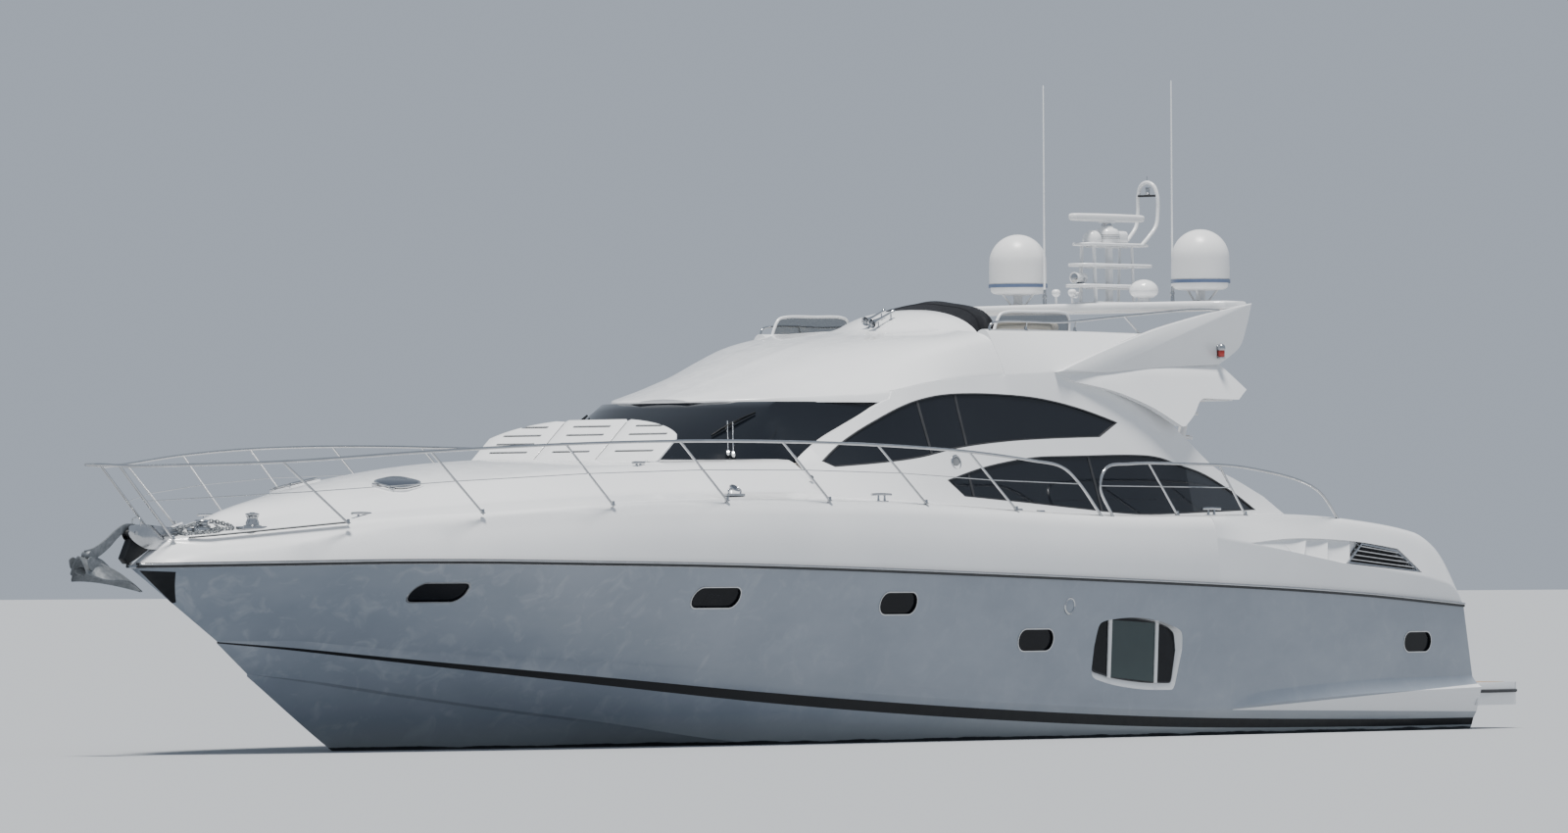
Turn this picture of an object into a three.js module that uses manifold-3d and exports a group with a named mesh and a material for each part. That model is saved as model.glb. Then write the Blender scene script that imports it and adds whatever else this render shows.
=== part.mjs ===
// A flybridge motor yacht, 21.6 m long over hull and platform, afloat at its waterline.
// Millimetres. +X is forward, +Y is port and +Z is up. z = 0 is the waterline, amidships.

import * as THREE from 'three';
import { mergeVertices } from 'three/addons/utils/BufferGeometryUtils.js';
import Module from 'manifold-3d';

const wasm = await Module();
wasm.setup();

// Driving dimensions

const GAP = 0.4; // clearance between pieces that rest on each other
const RUN = 8; // clearance around pieces that move

const STERN_X = -9450; // rub rail at the transom
const STEM_X = 10800; // rub rail at the stem
const SOLE_Z = 1450; // cockpit sole
const SALOON_AFT_X = -4500; // aft bulkhead
const SALOON_FRONT_X = 1900; // front end of the side panels
const SALOON_HALF = 1950; // half breadth of the saloon well
const EAVES_Z = 3720; // top of the side panels
const FLY_FRONT_X = -1600; // front end of the flybridge well
const FLY_AFT_X = -5880; // aft end of the flybridge
const FLY_SOLE_Z = 3880; // flybridge sole
const FLY_WELL_HALF = 1440; // half breadth of the flybridge well
const SKIN = 60; // thickness of the side panels
const GLASS = 12; // thickness of the glazing
const SHORTEST = 0.1; // detail below this is dropped from a cut piece

// Lengthwise tables

// rail: knuckle under the rub rail
const RAIL = [
  { x: -9450, y: 2450, z: 1420 },
  { x: -7500, y: 2540, z: 1540 },
  { x: -5500, y: 2610, z: 1630 },
  { x: -1800, y: 2670, z: 1750 },
  { x: 1700, y: 2660, z: 1850 },
  { x: 3300, y: 2600, z: 1890 },
  { x: 4800, y: 2470, z: 1920 },
  { x: 6100, y: 2250, z: 1940 },
  { x: 7300, y: 1920, z: 1960 },
  { x: 8400, y: 1500, z: 1965 },
  { x: 9400, y: 1010, z: 1955 },
  { x: 10300, y: 430, z: 1945 },
  { x: 10800, y: 0, z: 1940 },
];

// stripe: upper edge of the black band on the upper chine, down to its lower edge at z - band
const STRIPE = [
  { x: -9850, y: 2300, z: 130, band: 80 },
  { x: -7770, y: 2350, z: 140, band: 85 },
  { x: -3930, y: 2420, z: 210, band: 110 },
  { x: -450, y: 2350, z: 350, band: 115 },
  { x: 2650, y: 2090, z: 540, band: 110 },
  { x: 5310, y: 1570, z: 760, band: 80 },
  { x: 7590, y: 810, z: 970, band: 40 },
  { x: 8630, y: 360, z: 1080, band: 25 },
  { x: 9420, y: 0, z: 1150, band: 15 },
];

// chine: lower spray chine
const CHINE = [
  { x: -9850, y: 2100, z: -220 },
  { x: -4000, y: 2160, z: -210 },
  { x: -1000, y: 2080, z: -160 },
  { x: 1500, y: 1890, z: -80 },
  { x: 3120, y: 1660, z: 20 },
  { x: 4940, y: 1260, z: 260 },
  { x: 6150, y: 930, z: 410 },
  { x: 7310, y: 570, z: 570 },
  { x: 8430, y: 190, z: 740 },
  { x: 8950, y: 0, z: 815 },
];

// keel: the bottom line up to the stem
const KEEL = [
  { x: -9850, z: -800 },
  { x: -6000, z: -920 },
  { x: 0, z: -1020 },
  { x: 3000, z: -1000 },
  { x: 5200, z: -830 },
  { x: 6600, z: -470 },
  { x: 7600, z: 0 },
  { x: 8950, z: 790 },
];

// bustle: the flare that grows out of the aft topsides into the platform
const BUSTLE = [
  { x: -9800, top: 610, out: 110, low: 480 },
  { x: -7560, top: 580, out: 85, low: 430 },
  { x: -5670, top: 500, out: 45, low: 350 },
  { x: -4400, top: 420, out: 0, low: 290 },
  { x: 9300, top: 1180, out: 0, low: 1165 },
];

// edge: outer edge of the deck. deck: its inner strip. trunk: shoulder of the coachroof. crown: its centre
const DECK = [
  { x: -4500, edgeY: 2560, edgeZ: 2430, deckY: 2350, deckZ: 2440, trunkY: 2000, trunkZ: 2440, crown: 2440 },
  { x: -2500, edgeY: 2580, edgeZ: 2440, deckY: 2360, deckZ: 2450, trunkY: 2000, trunkZ: 2450, crown: 2450 },
  { x: -900, edgeY: 2580, edgeZ: 2490, deckY: 2360, deckZ: 2510, trunkY: 2000, trunkZ: 2510, crown: 2510 },
  { x: 700, edgeY: 2570, edgeZ: 2560, deckY: 2350, deckZ: 2590, trunkY: 1990, trunkZ: 2590, crown: 2590 },
  { x: 1880, edgeY: 2555, edgeZ: 2585, deckY: 2200, deckZ: 2630, trunkY: 1980, trunkZ: 2640, crown: 2640 },
  { x: 1920, edgeY: 2555, edgeZ: 2585, deckY: 2130, deckZ: 2650, trunkY: 1640, trunkZ: 3050, crown: 3060 },
  { x: 2950, edgeY: 2520, edgeZ: 2590, deckY: 2080, deckZ: 2680, trunkY: 1600, trunkZ: 3020, crown: 3050 },
  { x: 4000, edgeY: 2450, edgeZ: 2585, deckY: 1980, deckZ: 2680, trunkY: 1520, trunkZ: 2990, crown: 3050 },
  { x: 5600, edgeY: 2230, edgeZ: 2540, deckY: 1770, deckZ: 2640, trunkY: 1330, trunkZ: 2900, crown: 3020 },
  { x: 7200, edgeY: 1780, edgeZ: 2460, deckY: 1370, deckZ: 2550, trunkY: 990, trunkZ: 2730, crown: 2860 },
  { x: 8300, edgeY: 1340, edgeZ: 2395, deckY: 1000, deckZ: 2460, trunkY: 680, trunkZ: 2560, crown: 2690 },
  { x: 9200, edgeY: 870, edgeZ: 2310, deckY: 600, deckZ: 2360, trunkY: 360, trunkZ: 2410, crown: 2520 },
  { x: 10000, edgeY: 340, edgeZ: 2225, deckY: 230, deckZ: 2240, trunkY: 120, trunkZ: 2250, crown: 2265 },
  { x: 10300, edgeY: 0, edgeZ: 2195, deckY: 0, deckZ: 2200, trunkY: 0, trunkZ: 2205, crown: 2210 },
];

// quarter: aft coaming. hip: crease that falls aft. top: coaming top
const QUARTER = [
  { x: -9445, hipY: 2440, hipZ: 1450, topY: 2330, topZ: 1490 },
  { x: -9330, hipY: 2460, hipZ: 1560, topY: 2330, topZ: 1730 },
  { x: -9150, hipY: 2480, hipZ: 1650, topY: 2330, topZ: 1970 },
  { x: -8950, hipY: 2490, hipZ: 1690, topY: 2330, topZ: 2130 },
  { x: -8630, hipY: 2510, hipZ: 1740, topY: 2330, topZ: 2260 },
  { x: -7500, hipY: 2550, hipZ: 1860, topY: 2350, topZ: 2390 },
  { x: -6350, hipY: 2590, hipZ: 2000, topY: 2370, topZ: 2450 },
  { x: -4500, hipY: 2600, hipZ: 2200, topY: 2380, topZ: 2440 },
];

// side: the house side, as half breadth at z = SIDE_Z and its slope inward
const SIDE_Z = 2620;
const SIDE = [
  { x: -6700, y: 2120, lean: 0.2 },
  { x: -4000, y: 2190, lean: 0.22 },
  { x: -2000, y: 2190, lean: 0.24 },
  { x: -1000, y: 2180, lean: 0.28 },
  { x: 0, y: 2170, lean: 0.36 },
  { x: 600, y: 2160, lean: 0.48 },
  { x: 1400, y: 2140, lean: 0.75 },
  { x: 2200, y: 2100, lean: 1.05 },
];

// fly: outer moulding of the flybridge. crease: shoulder line, flare: how far its foot stands out,
// top: coaming top, all at station x
const FLY = [
  { x: -5880, crease: 4190, flare: 0.16, topY: 1620, topZ: 4470 },
  { x: -4440, crease: 4170, flare: 0.16, topY: 1620, topZ: 4470 },
  { x: -3340, crease: 4110, flare: 0.12, topY: 1610, topZ: 4480 },
  { x: -2400, crease: 4010, flare: 0.02, topY: 1590, topZ: 4490 },
  { x: -1600, crease: 3965, flare: 0, topY: 1600, topZ: 4480 },
];

// cowl: front of the flybridge. edge: outline over the windscreen and side, brow: its crease,
// shoulder: where the side turns into the roof, crown: roof on the centreline
const COWL = [
  { x: -1600, edgeY: 1895, browY: 1846, browZ: 3965, shoulderY: 1610, shoulderZ: 4450, crown: 4500 },
  { x: -900, edgeY: 1868, browY: 1815, browZ: 3930, shoulderY: 1560, shoulderZ: 4330, crown: 4420 },
  { x: -300, edgeY: 1812, browY: 1770, browZ: 3870, shoulderY: 1430, shoulderZ: 4170, crown: 4320 },
  { x: 250, edgeY: 1735, browY: 1700, browZ: 3780, shoulderY: 1280, shoulderZ: 4020, crown: 4190 },
  { x: 900, edgeY: 1520, browY: 1500, browZ: 3735, shoulderY: 1060, shoulderZ: 3890, crown: 4010 },
  { x: 1500, edgeY: 1180, browY: 1165, browZ: 3710, shoulderY: 780, shoulderZ: 3790, crown: 3850 },
  { x: 1900, edgeY: 760, browY: 750, browZ: 3690, shoulderY: 480, shoulderZ: 3720, crown: 3750 },
  { x: 2060, edgeY: 330, browY: 325, browZ: 3680, shoulderY: 200, shoulderZ: 3695, crown: 3705 },
];
const COWL_UNDER = 3662; // underside of the cowl over the windscreen

// Interpolation

/** Smooth value of one column of a table at station x. */
function at(rows, key, x) {
  const found = rows.findIndex((row) => row.x >= x);
  const i = found < 0 ? rows.length - 1 : Math.max(found, 1);
  const a = rows[i - 1];
  const b = rows[i];
  const before = rows[Math.max(i - 2, 0)];
  const after = rows[Math.min(i + 1, rows.length - 1)];
  const span = b.x - a.x;
  const t = THREE.MathUtils.clamp((x - a.x) / span, 0, 1);
  const startSlope = ((b[key] - before[key]) / (b.x - before.x)) * span;
  const endSlope = ((after[key] - a[key]) / (after.x - a.x)) * span;
  const t2 = t * t;
  const t3 = t2 * t;
  return (2 * t3 - 3 * t2 + 1) * a[key] + (t3 - 2 * t2 + t) * startSlope
    + (3 * t2 - 2 * t3) * b[key] + (t3 - t2) * endSlope;
}

/** Half breadth of the house side at station x and height z. */
function sideY(x, z) {
  return at(SIDE, 'y', x) - at(SIDE, 'lean', x) * (z - SIDE_Z);
}

/** Count of evenly spaced values from a to b, both included. */
function steps(a, b, count) {
  return Array.from({ length: count }, (_, i) => a + ((b - a) * i) / (count - 1));
}

// Building blocks

/** Closed body from equal rings of [x, y, z], each counter-clockwise seen from the far end of the axis. */
function loft(rings, axis = 'x') {
  const count = rings[0].length;
  const positions = rings.flat(2);
  const faces = [];
  for (let r = 0; r + 1 < rings.length; r += 1) {
    for (let j = 0; j < count; j += 1) {
      const k = (j + 1) % count;
      const [a, b] = [r * count, (r + 1) * count];
      faces.push([a + j, a + k, b + k], [a + j, b + k, b + j]);
    }
  }
  const [u, v] = { x: [1, 2], y: [2, 0], z: [0, 1] }[axis];
  const cap = (r, flip) => {
    const ring = rings[r].map((p) => new THREE.Vector2(p[u], p[v]));
    if (count > 4 && Math.abs(THREE.ShapeUtils.area(ring)) < 1) return;
    const triangles = count === 4 ? [[0, 1, 2], [0, 2, 3]] : THREE.ShapeUtils.triangulateShape(ring, []);
    for (const [a, b, c] of triangles) {
      const face = [a, b, c].map((i) => i + r * count);
      faces.push(flip ? face.reverse() : face);
    }
  };
  cap(0, true);
  cap(rings.length - 1, false);
  return weld(positions, faces);
}

/** Geometry with coincident vertices joined and flat faces dropped. */
function weld(positions, faces) {
  const raw = new THREE.BufferGeometry();
  raw.setAttribute('position', new THREE.Float32BufferAttribute(positions, 3));
  raw.setIndex(faces.flat());
  const merged = mergeVertices(raw, 1e-2);
  const index = [];
  const old = merged.index.array;
  for (let i = 0; i < old.length; i += 3) {
    const [a, b, c] = [old[i], old[i + 1], old[i + 2]];
    if (a !== b && b !== c && c !== a) index.push(a, b, c);
  }
  merged.setIndex(index);
  return merged;
}

/** Geometry stripped to its positions, as one closed solid of the boolean library. */
function solid(geometry) {
  if (!(geometry instanceof THREE.BufferGeometry)) return geometry;
  const bare = geometry.clone();
  for (const name of Object.keys(bare.attributes)) {
    if (name !== 'position') bare.deleteAttribute(name);
  }
  const merged = mergeVertices(bare, 1e-3);
  return new wasm.Manifold(new wasm.Mesh({
    numProp: 3,
    vertProperties: new Float32Array(merged.attributes.position.array),
    triVerts: new Uint32Array(merged.index.array),
  }));
}

/** Geometry of a solid of the boolean library, without edges shorter than SHORTEST. */
function geometryOf(manifold) {
  const mesh = manifold.simplify(SHORTEST).getMesh();
  const geometry = new THREE.BufferGeometry();
  geometry.setAttribute('position', new THREE.BufferAttribute(mesh.vertProperties, 3));
  geometry.setIndex(new THREE.BufferAttribute(mesh.triVerts, 1));
  return geometry;
}

const join = (first, ...rest) => rest.reduce((sum, piece) => sum.add(solid(piece)), solid(first));
const cut = (first, ...rest) => rest.reduce((sum, piece) => sum.subtract(solid(piece)), solid(first));
const common = (first, second) => solid(first).intersect(solid(second));

/** Largest body of a cut solid, without the slivers that a cut can leave. */
const largest = (body) => body.decompose()
  .reduce((best, piece) => (piece.volume() > best.volume() ? piece : best));

/** Box from low to high corner. */
function box(low, high) {
  const size = high.map((value, i) => value - low[i]);
  const middle = high.map((value, i) => (value + low[i]) / 2);
  return new THREE.BoxGeometry(...size).translate(...middle);
}

/** Shape in the x-z plane made solid from y = from to y = to. */
function prism(shape, from, to, segments = 8) {
  const depth = to - from;
  const body = new THREE.ExtrudeGeometry(shape, { depth, bevelEnabled: false, curveSegments: segments });
  return body.rotateX(Math.PI / 2).translate(0, to, 0);
}

/** Shape in the x-y plane made solid from z = from to z = to. */
function slab(shape, from, to, segments = 8) {
  const depth = to - from;
  const body = new THREE.ExtrudeGeometry(shape, { depth, bevelEnabled: false, curveSegments: segments });
  return body.translate(0, 0, from);
}

/** Closed shape through straight corners, or through spline stretches given as nested lists. */
function outline(...parts) {
  const shape = new THREE.Shape();
  parts.forEach((part, i) => {
    if (i === 0) shape.moveTo(...part);
    else if (Array.isArray(part[0])) shape.splineThru(part.map(([a, b]) => new THREE.Vector2(a, b)));
    else shape.lineTo(...part);
  });
  return shape;
}

const curveThrough = (points) => new THREE.CatmullRomCurve3(
  points.map((p) => new THREE.Vector3(...p)), false, 'centripetal');

/** Round bar of radius r through points, straight when there are two. */
function bar(points, r, sides = 6, pieces = 1) {
  const path = points.length === 2
    ? new THREE.LineCurve3(...points.map((p) => new THREE.Vector3(...p)))
    : curveThrough(points);
  const corners = Array.from({ length: sides }, (_, i) => {
    const turn = (i * 2 * Math.PI) / sides;
    return new THREE.Vector2(r * Math.cos(turn), r * Math.sin(turn));
  });
  const options = { steps: pieces, extrudePath: path, bevelEnabled: false, curveSegments: sides };
  return new THREE.ExtrudeGeometry(new THREE.Shape(corners), options);
}

/** Body turned about an upright axis at (x, y) from [radius, z] pairs that start and end on the axis. */
function turned(profile, x, y, sides = 16) {
  const points = profile.map(([r, z]) => new THREE.Vector2(r, z));
  return new THREE.LatheGeometry(points, sides).rotateX(Math.PI / 2).translate(x, y, 0);
}

/** Copy of a solid mirrored to the other side of the boat. */
const mirrored = (body) => solid(body).mirror([0, 1, 0]);

/** Body whose starboard half is the exact mirror image of its port half. */
function symmetric(body) {
  const half = common(body, box([-20000, 0, -5000], [20000, 5000, 9000]));
  return join(half, mirrored(half));
}

// Materials

const material = (color, roughness, metalness = 0) => new THREE.MeshStandardMaterial({
  color, roughness, metalness,
});
const MATERIALS = {
  hull: material(0xb9c3cf, 0.25),
  gelcoat: material(0xf4f5f6, 0.3),
  nonskid: material(0xe6e7e6, 0.8),
  glass: material(0x10161d, 0.08),
  steel: material(0xc9ccd0, 0.2, 1),
  galvanised: material(0x5d6468, 0.55, 0.8),
  teak: material(0x9a7048, 0.7),
  canvas: material(0x1b1f2a, 0.9),
  bronze: material(0x8f6b38, 0.35, 1),
  cushion: material(0xe9e4d8, 0.85),
  engine: material(0xb8bcc0, 0.5, 0.4),
};

const yacht = new THREE.Group();

/** Adds one named piece. */
function add(name, finish, body) {
  const geometry = body instanceof THREE.BufferGeometry ? body : geometryOf(body);
  geometry.computeVertexNormals();
  const mesh = new THREE.Mesh(geometry, MATERIALS[finish]);
  mesh.name = name;
  yacht.add(mesh);
}

/** Adds a port piece and its starboard mirror image. */
function addPair(name, finish, body) {
  add(`${name}_port`, finish, solid(body));
  add(`${name}_starboard`, finish, mirrored(body));
}

// Hull

const SHARES = [
  0, 0.05, 0.12, 0.2, 0.28, 0.36, 0.44, 0.52, 0.6, 0.68, 0.75, 0.81, 0.87, 0.92, 0.96, 0.985, 1,
];
const HULL_AFT_X = -9850; // foot of the transom
const BUSTLE_AFT_X = -9800; // ends of the line that the bustle table is read along
const BUSTLE_FRONT_X = 9450;
const along = (rows, share, aft) => aft + (rows[rows.length - 1].x - aft) * share;

/** Port half of a hull ring at a share of the length, from keel to rail. */
function hullHalf(share) {
  const kx = along(KEEL, share, HULL_AFT_X);
  const cx = along(CHINE, share, HULL_AFT_X);
  const sx = along(STRIPE, share, HULL_AFT_X);
  const bx = BUSTLE_AFT_X + (BUSTLE_FRONT_X - BUSTLE_AFT_X) * share;
  const rx = along(RAIL, share, STERN_X);
  const chineY = Math.max(at(CHINE, 'y', cx), 0);
  const stripeY = Math.max(at(STRIPE, 'y', sx), 0);
  const railY = Math.max(at(RAIL, 'y', rx), 0);
  const stripeZ = at(STRIPE, 'z', sx);
  const railZ = at(RAIL, 'z', rx);
  const ledge = Math.min(1, stripeY / 400);
  const creaseY = stripeY + 45 * ledge;
  const creaseZ = stripeZ + 70 * ledge + 5;
  const low = Math.max(at(BUSTLE, 'low', bx), creaseZ + 10);
  const top = Math.max(at(BUSTLE, 'top', bx), low + 10);
  const flare = (part) => part - 0.55 * part * (1 - part) * THREE.MathUtils.smoothstep(rx, 0, 9000);
  const topside = (z) => {
    const part = (z - creaseZ) / (railZ - creaseZ);
    const half = creaseY + (railY - creaseY) * flare(part);
    return [rx + (sx - rx) * (1 - part), half, z];
  };
  const bustle = topside(low);
  bustle[1] += at(BUSTLE, 'out', bx);
  const middle = top + (railZ - top) * 0.5;
  return [
    [kx, 0, at(KEEL, 'z', kx)],
    [cx, chineY, at(CHINE, 'z', cx)],
    [cx, chineY + 50 * ledge, at(CHINE, 'z', cx) + 25 * ledge],
    [sx, stripeY - 25 * ledge, stripeZ - at(STRIPE, 'band', sx)],
    [sx, stripeY, stripeZ],
    [sx, creaseY, creaseZ],
    bustle,
    topside(top),
    topside(middle),
    [rx, railY, railZ],
  ];
}

/** Ring of a hull-like body from its port half, keel or underside first. */
function ringOf(half) {
  const port = half[0][1] === 0 ? half.slice(1) : half;
  const starboard = port.map(([x, y, z]) => [x, -y, z]).reverse();
  return half[0][1] === 0 ? [half[0], ...port, ...starboard] : [...port, ...starboard];
}

const hullBody = symmetric(loft(SHARES.map((share) => ringOf(hullHalf(share)))));
const BED = 30; // how far a deck piece is sunk before everything below the hull's top is cut from it
const belowDecks = loft(SHARES.map((share) => {
  const x = along(RAIL, share, STERN_X);
  const z = at(RAIL, 'z', x) + GAP;
  return [[x, -4000, -2000], [x, 4000, -2000], [x, 4000, z], [x, -4000, z]];
}));

// Wells in the hull: the cockpit sole lies in the upper one and covers the engine room below
const WELL = { aft: -9050, front: -4560, half: 2080, floor: 1350 };
const ENGINE_ROOM = { aft: -8500, front: -4900, half: 1400, floor: -150 };
const hullWell = box([WELL.aft, -WELL.half, WELL.floor], [WELL.front, WELL.half, 2200]);
const engineRoom = box(
  [ENGINE_ROOM.aft, -ENGINE_ROOM.half, ENGINE_ROOM.floor],
  [ENGINE_ROOM.front, ENGINE_ROOM.half, WELL.floor + 10],
);

// The large cabin window, sunk into the topsides
const HULL_WINDOW_FLOOR = 90;
const hullWindow = outline(
  [-2250, 1000],
  [[-2300, 1230], [-2420, 1285]],
  [[-2720, 1310], [-3070, 1310], [-3470, 1260], [-3760, 1190]],
  [[-3850, 1130], [-3880, 950]],
  [-3810, 570],
  [[-3780, 520], [-3720, 510]],
  [[-3240, 520], [-2720, 570], [-2350, 640]],
  [[-2280, 680], [-2250, 760]],
);
const hullWindowCut = prism(hullWindow, 2560 - HULL_WINDOW_FLOOR, 3000, 3);

// Stairs on each side of the transom, from the platform up to the cockpit sole
const STAIR = {
  inner: 1340,
  outer: 2090,
  treads: [
    { z: 830, front: -9500 },
    { z: 1130, front: -9270 },
    { z: SOLE_Z, front: -9040 },
  ],
};
const stairCuts = STAIR.treads.map(({ z, front }) => box(
  [-10000, STAIR.inner, z],
  [front, STAIR.outer, 2200],
));

const hullCuts = [hullWindowCut, ...stairCuts];
add('hull', 'hull', cut(hullBody, hullWell, engineRoom, ...hullCuts, ...hullCuts.map(mirrored)));

// Engines, one plain block each
const ENGINE = { x: -6900, y: 720, length: 1750, width: 860, height: 1050 };
addPair('engine', 'engine', box(
  [ENGINE.x - ENGINE.length / 2, ENGINE.y - ENGINE.width / 2, ENGINE_ROOM.floor + GAP],
  [ENGINE.x + ENGINE.length / 2, ENGINE.y + ENGINE.width / 2, ENGINE_ROOM.floor + ENGINE.height],
));

// House surface

const SIDE_X = steps(-6600, SALOON_FRONT_X, 12);

/** Block from the centreline out to a surface that lies inset inside the house side. */
function sideBlock(inset, low, high) {
  return loft(SIDE_X.map((x) => [
    [x, 0, low],
    [x, sideY(x, low) - inset, low],
    [x, sideY(x, high) - inset, high],
    [x, 0, high],
  ]));
}

/** Curved sheet that follows the house side, from inset to inset + thick inside its outer face. */
const sideSheet = (inset, thick) => cut(
  sideBlock(inset, 2380, 3800),
  sideBlock(inset + thick, 2380, 3800),
);

/** Room between the two side panels. */
const besideCentre = sideBlock(SKIN + GAP, 1400, 3900);
const betweenSides = join(besideCentre, mirrored(besideCentre));

// Decks

/** Port half of the deck moulding at a share of the length, from the knuckle up to the crown. */
function deckHalf(share) {
  const rx = along(RAIL, share, STERN_X);
  const railZ = at(RAIL, 'z', rx) - BED;
  const railY = Math.max(at(RAIL, 'y', rx) - 12, 0);
  const dx = along(DECK, share, STERN_X);
  const value = (key) => Math.max(at(DECK, key, dx), 0);
  const edgeY = value('edgeY');
  const edgeZ = value('edgeZ');
  const roll = Math.min(90, edgeY * 0.25);
  return [
    [rx, railY, railZ],
    [(rx + dx) / 2, railY + (edgeY - railY) * 0.35 + roll * 0.2, railZ + (edgeZ - railZ) * 0.5],
    [dx, edgeY, edgeZ - roll],
    [dx, Math.max(edgeY - roll * 0.8, 0), edgeZ],
    [dx, value('deckY'), value('deckZ')],
    [dx, value('trunkY'), value('trunkZ')],
    [dx, value('trunkY') * 0.5, value('crown') - (value('crown') - value('trunkZ')) * 0.25],
    [dx, 1e-6, value('crown')],
  ];
}

/** Ring of the deck moulding from its port half, closed across the boat by a flat underside. */
function deckRing(half) {
  const port = half.slice(0, -1);
  const starboard = port.map(([x, y, z]) => [x, -y, z]).reverse();
  const [x, , z] = half[half.length - 1];
  return [...port, [x, 0, z], ...starboard];
}

const shareAt = (x) => (x - STERN_X) / (STEM_X - STERN_X);
const DECK_X = [
  -4900, -4300, -3600, -2500, -1600, -900, 0, 700, 1300, 1880, 1960, 2500, 3000, 3600, 4400,
  5200, 6000, 6800, 7600, 8400, 9100, 9700, 10200, 10550, 10800,
];
const deckRings = DECK_X.map((x) => deckRing(deckHalf(shareAt(x))));
const deckBody = symmetric(loft(deckRings));
const saloonWell = box([SALOON_AFT_X - 100, -SALOON_HALF, 1000], [SALOON_FRONT_X, SALOON_HALF, 4000]);
const aftOfDeck = box([-9000, -3000, 0], [SALOON_AFT_X + GAP, 3000, 4000]);
const PAD_WELL = { aft: 2975, front: 3980, half: 1340, floor: 2960 };
const BOARD = {
  footX: 3800, footZ: 2995, length: 790, lean: 37, thick: 26, half: 1300, seam: 430, knuckle: 17, slot: 28,
};
const BOARD_EDGES = [[-BOARD.half, -BOARD.seam], [-BOARD.seam, BOARD.seam], [BOARD.seam, BOARD.half]];

/** Knuckles of a board's hinge, as the start of each along the hinge line. */
const knucklesOf = ([low, high]) => [low + 90, high - 210];
const KNUCKLE_LENGTH = 120;
const hingeBlocks = BOARD_EDGES.flatMap(knucklesOf).map((y) => box(
  [BOARD.footX - 24, y, PAD_WELL.floor - 20],
  [BOARD.footX + 24, y + KNUCKLE_LENGTH, BOARD.footZ - BOARD.knuckle - GAP],
));
const padWell = box(
  [PAD_WELL.aft, -PAD_WELL.half, PAD_WELL.floor],
  [PAD_WELL.front, PAD_WELL.half, 4000],
);

// Shelf inside the windscreen, held by the house sides and the coachroof
const DASH = { aft: 1250, front: 2000, low: 2640, top: 3024, half: 2200, frontHalf: 1500 };
const dash = join(
  common(box([DASH.aft, -DASH.half, DASH.low], [SALOON_FRONT_X, DASH.half, DASH.top]), betweenSides),
  box([SALOON_FRONT_X - 50, -DASH.frontHalf, DASH.low], [DASH.front, DASH.frontHalf, DASH.top]),
);

// Foredeck hatches, one each side: a tinted lid over a shallow well with a raised frame
const HATCH = {
  x: 7350,
  y: 700,
  z: 2772,
  tiltX: -11,
  tiltY: 8.5,
  length: 450,
  width: 420,
  thick: 22,
  frame: 45,
  well: 160,
};

/** Block in the tilted frame of the port hatch, between two heights over the lid's seat. */
function hatchBlock(inset, low, high) {
  const [length, width] = [HATCH.length / 2 - inset, HATCH.width / 2 - inset];
  return solid(box([-length, -width, low], [length, width, high]))
    .rotate([HATCH.tiltX, HATCH.tiltY, 0]).translate([HATCH.x, HATCH.y, HATCH.z]);
}
const hatchFrame = hatchBlock(-26, -120, 0);
const hatchWell = hatchBlock(HATCH.frame, -HATCH.well, 200);
const deckCut = cut(deckBody, belowDecks, saloonWell, aftOfDeck, padWell);
const framed = join(deckCut, dash, hatchFrame, mirrored(hatchFrame), ...hingeBlocks);
add('deck_moulding', 'gelcoat', cut(framed, hatchWell, mirrored(hatchWell)));
const HATCH_HINGE = { radius: 11, half: 150, ahead: HATCH.length / 2 + 8 };
const hingeEnds = [-HATCH_HINGE.half, HATCH_HINGE.half]
  .map((y) => [HATCH_HINGE.ahead, y, HATCH_HINGE.radius + GAP]);
const hatchHinge = solid(bar(hingeEnds, HATCH_HINGE.radius, 10))
  .rotate([HATCH.tiltX, HATCH.tiltY, 0]).translate([HATCH.x, HATCH.y, HATCH.z]);
addPair('fore_hatch', 'glass', join(hatchBlock(0, RUN + 2, RUN + 2 + HATCH.thick), hatchHinge));

// Cockpit sole and the saloon's floor
const SOLE_EDGE = 2;
add('cockpit_sole', 'teak', box(
  [WELL.aft + SOLE_EDGE, -WELL.half + SOLE_EDGE, WELL.floor + GAP],
  [WELL.front - SOLE_EDGE, WELL.half - SOLE_EDGE, SOLE_Z],
));

/** Port half of the aft quarter at station x, closed on its inner side. */
function quarterRing(x) {
  const value = (key) => at(QUARTER, key, x);
  const railX = Math.max(x, STERN_X);
  const railY = at(RAIL, 'y', railX) - 12;
  const railZ = at(RAIL, 'z', railX) - BED;
  const inner = 2100;
  const topZ = value('topZ');
  return [
    [x, inner, railZ],
    [x, railY, railZ],
    [x, value('hipY'), Math.max(value('hipZ'), railZ + BED + 12)],
    [x, value('topY') + 70, topZ - 0.35 * Math.min(topZ - value('hipZ'), 170)],
    [x, value('topY'), topZ],
    [x, inner + 60, topZ],
    [x, inner, topZ - 12],
  ];
}
const QUARTER_X = [
  -9445, -9400, -9330, -9250, -9150, -8950, -8800, -8500, -8000, -7300, -6600, -6000, -5200, SALOON_AFT_X,
];
const quarterBody = solid(loft(QUARTER_X.map(quarterRing)));

// Engine air vent on the quarter: a long scallop and a slatted opening
const VENT_DEPTH = 60;
const ventCut = prism(outline(
  [-5130, 2130],
  [[-6070, 2180], [-7200, 2150], [-8150, 2060]],
  [-8570, 1790],
  [-6930, 1900],
), 2530 - VENT_DEPTH, 2700, 2);
addPair('quarter', 'gelcoat', cut(quarterBody, belowDecks, ventCut));

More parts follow.
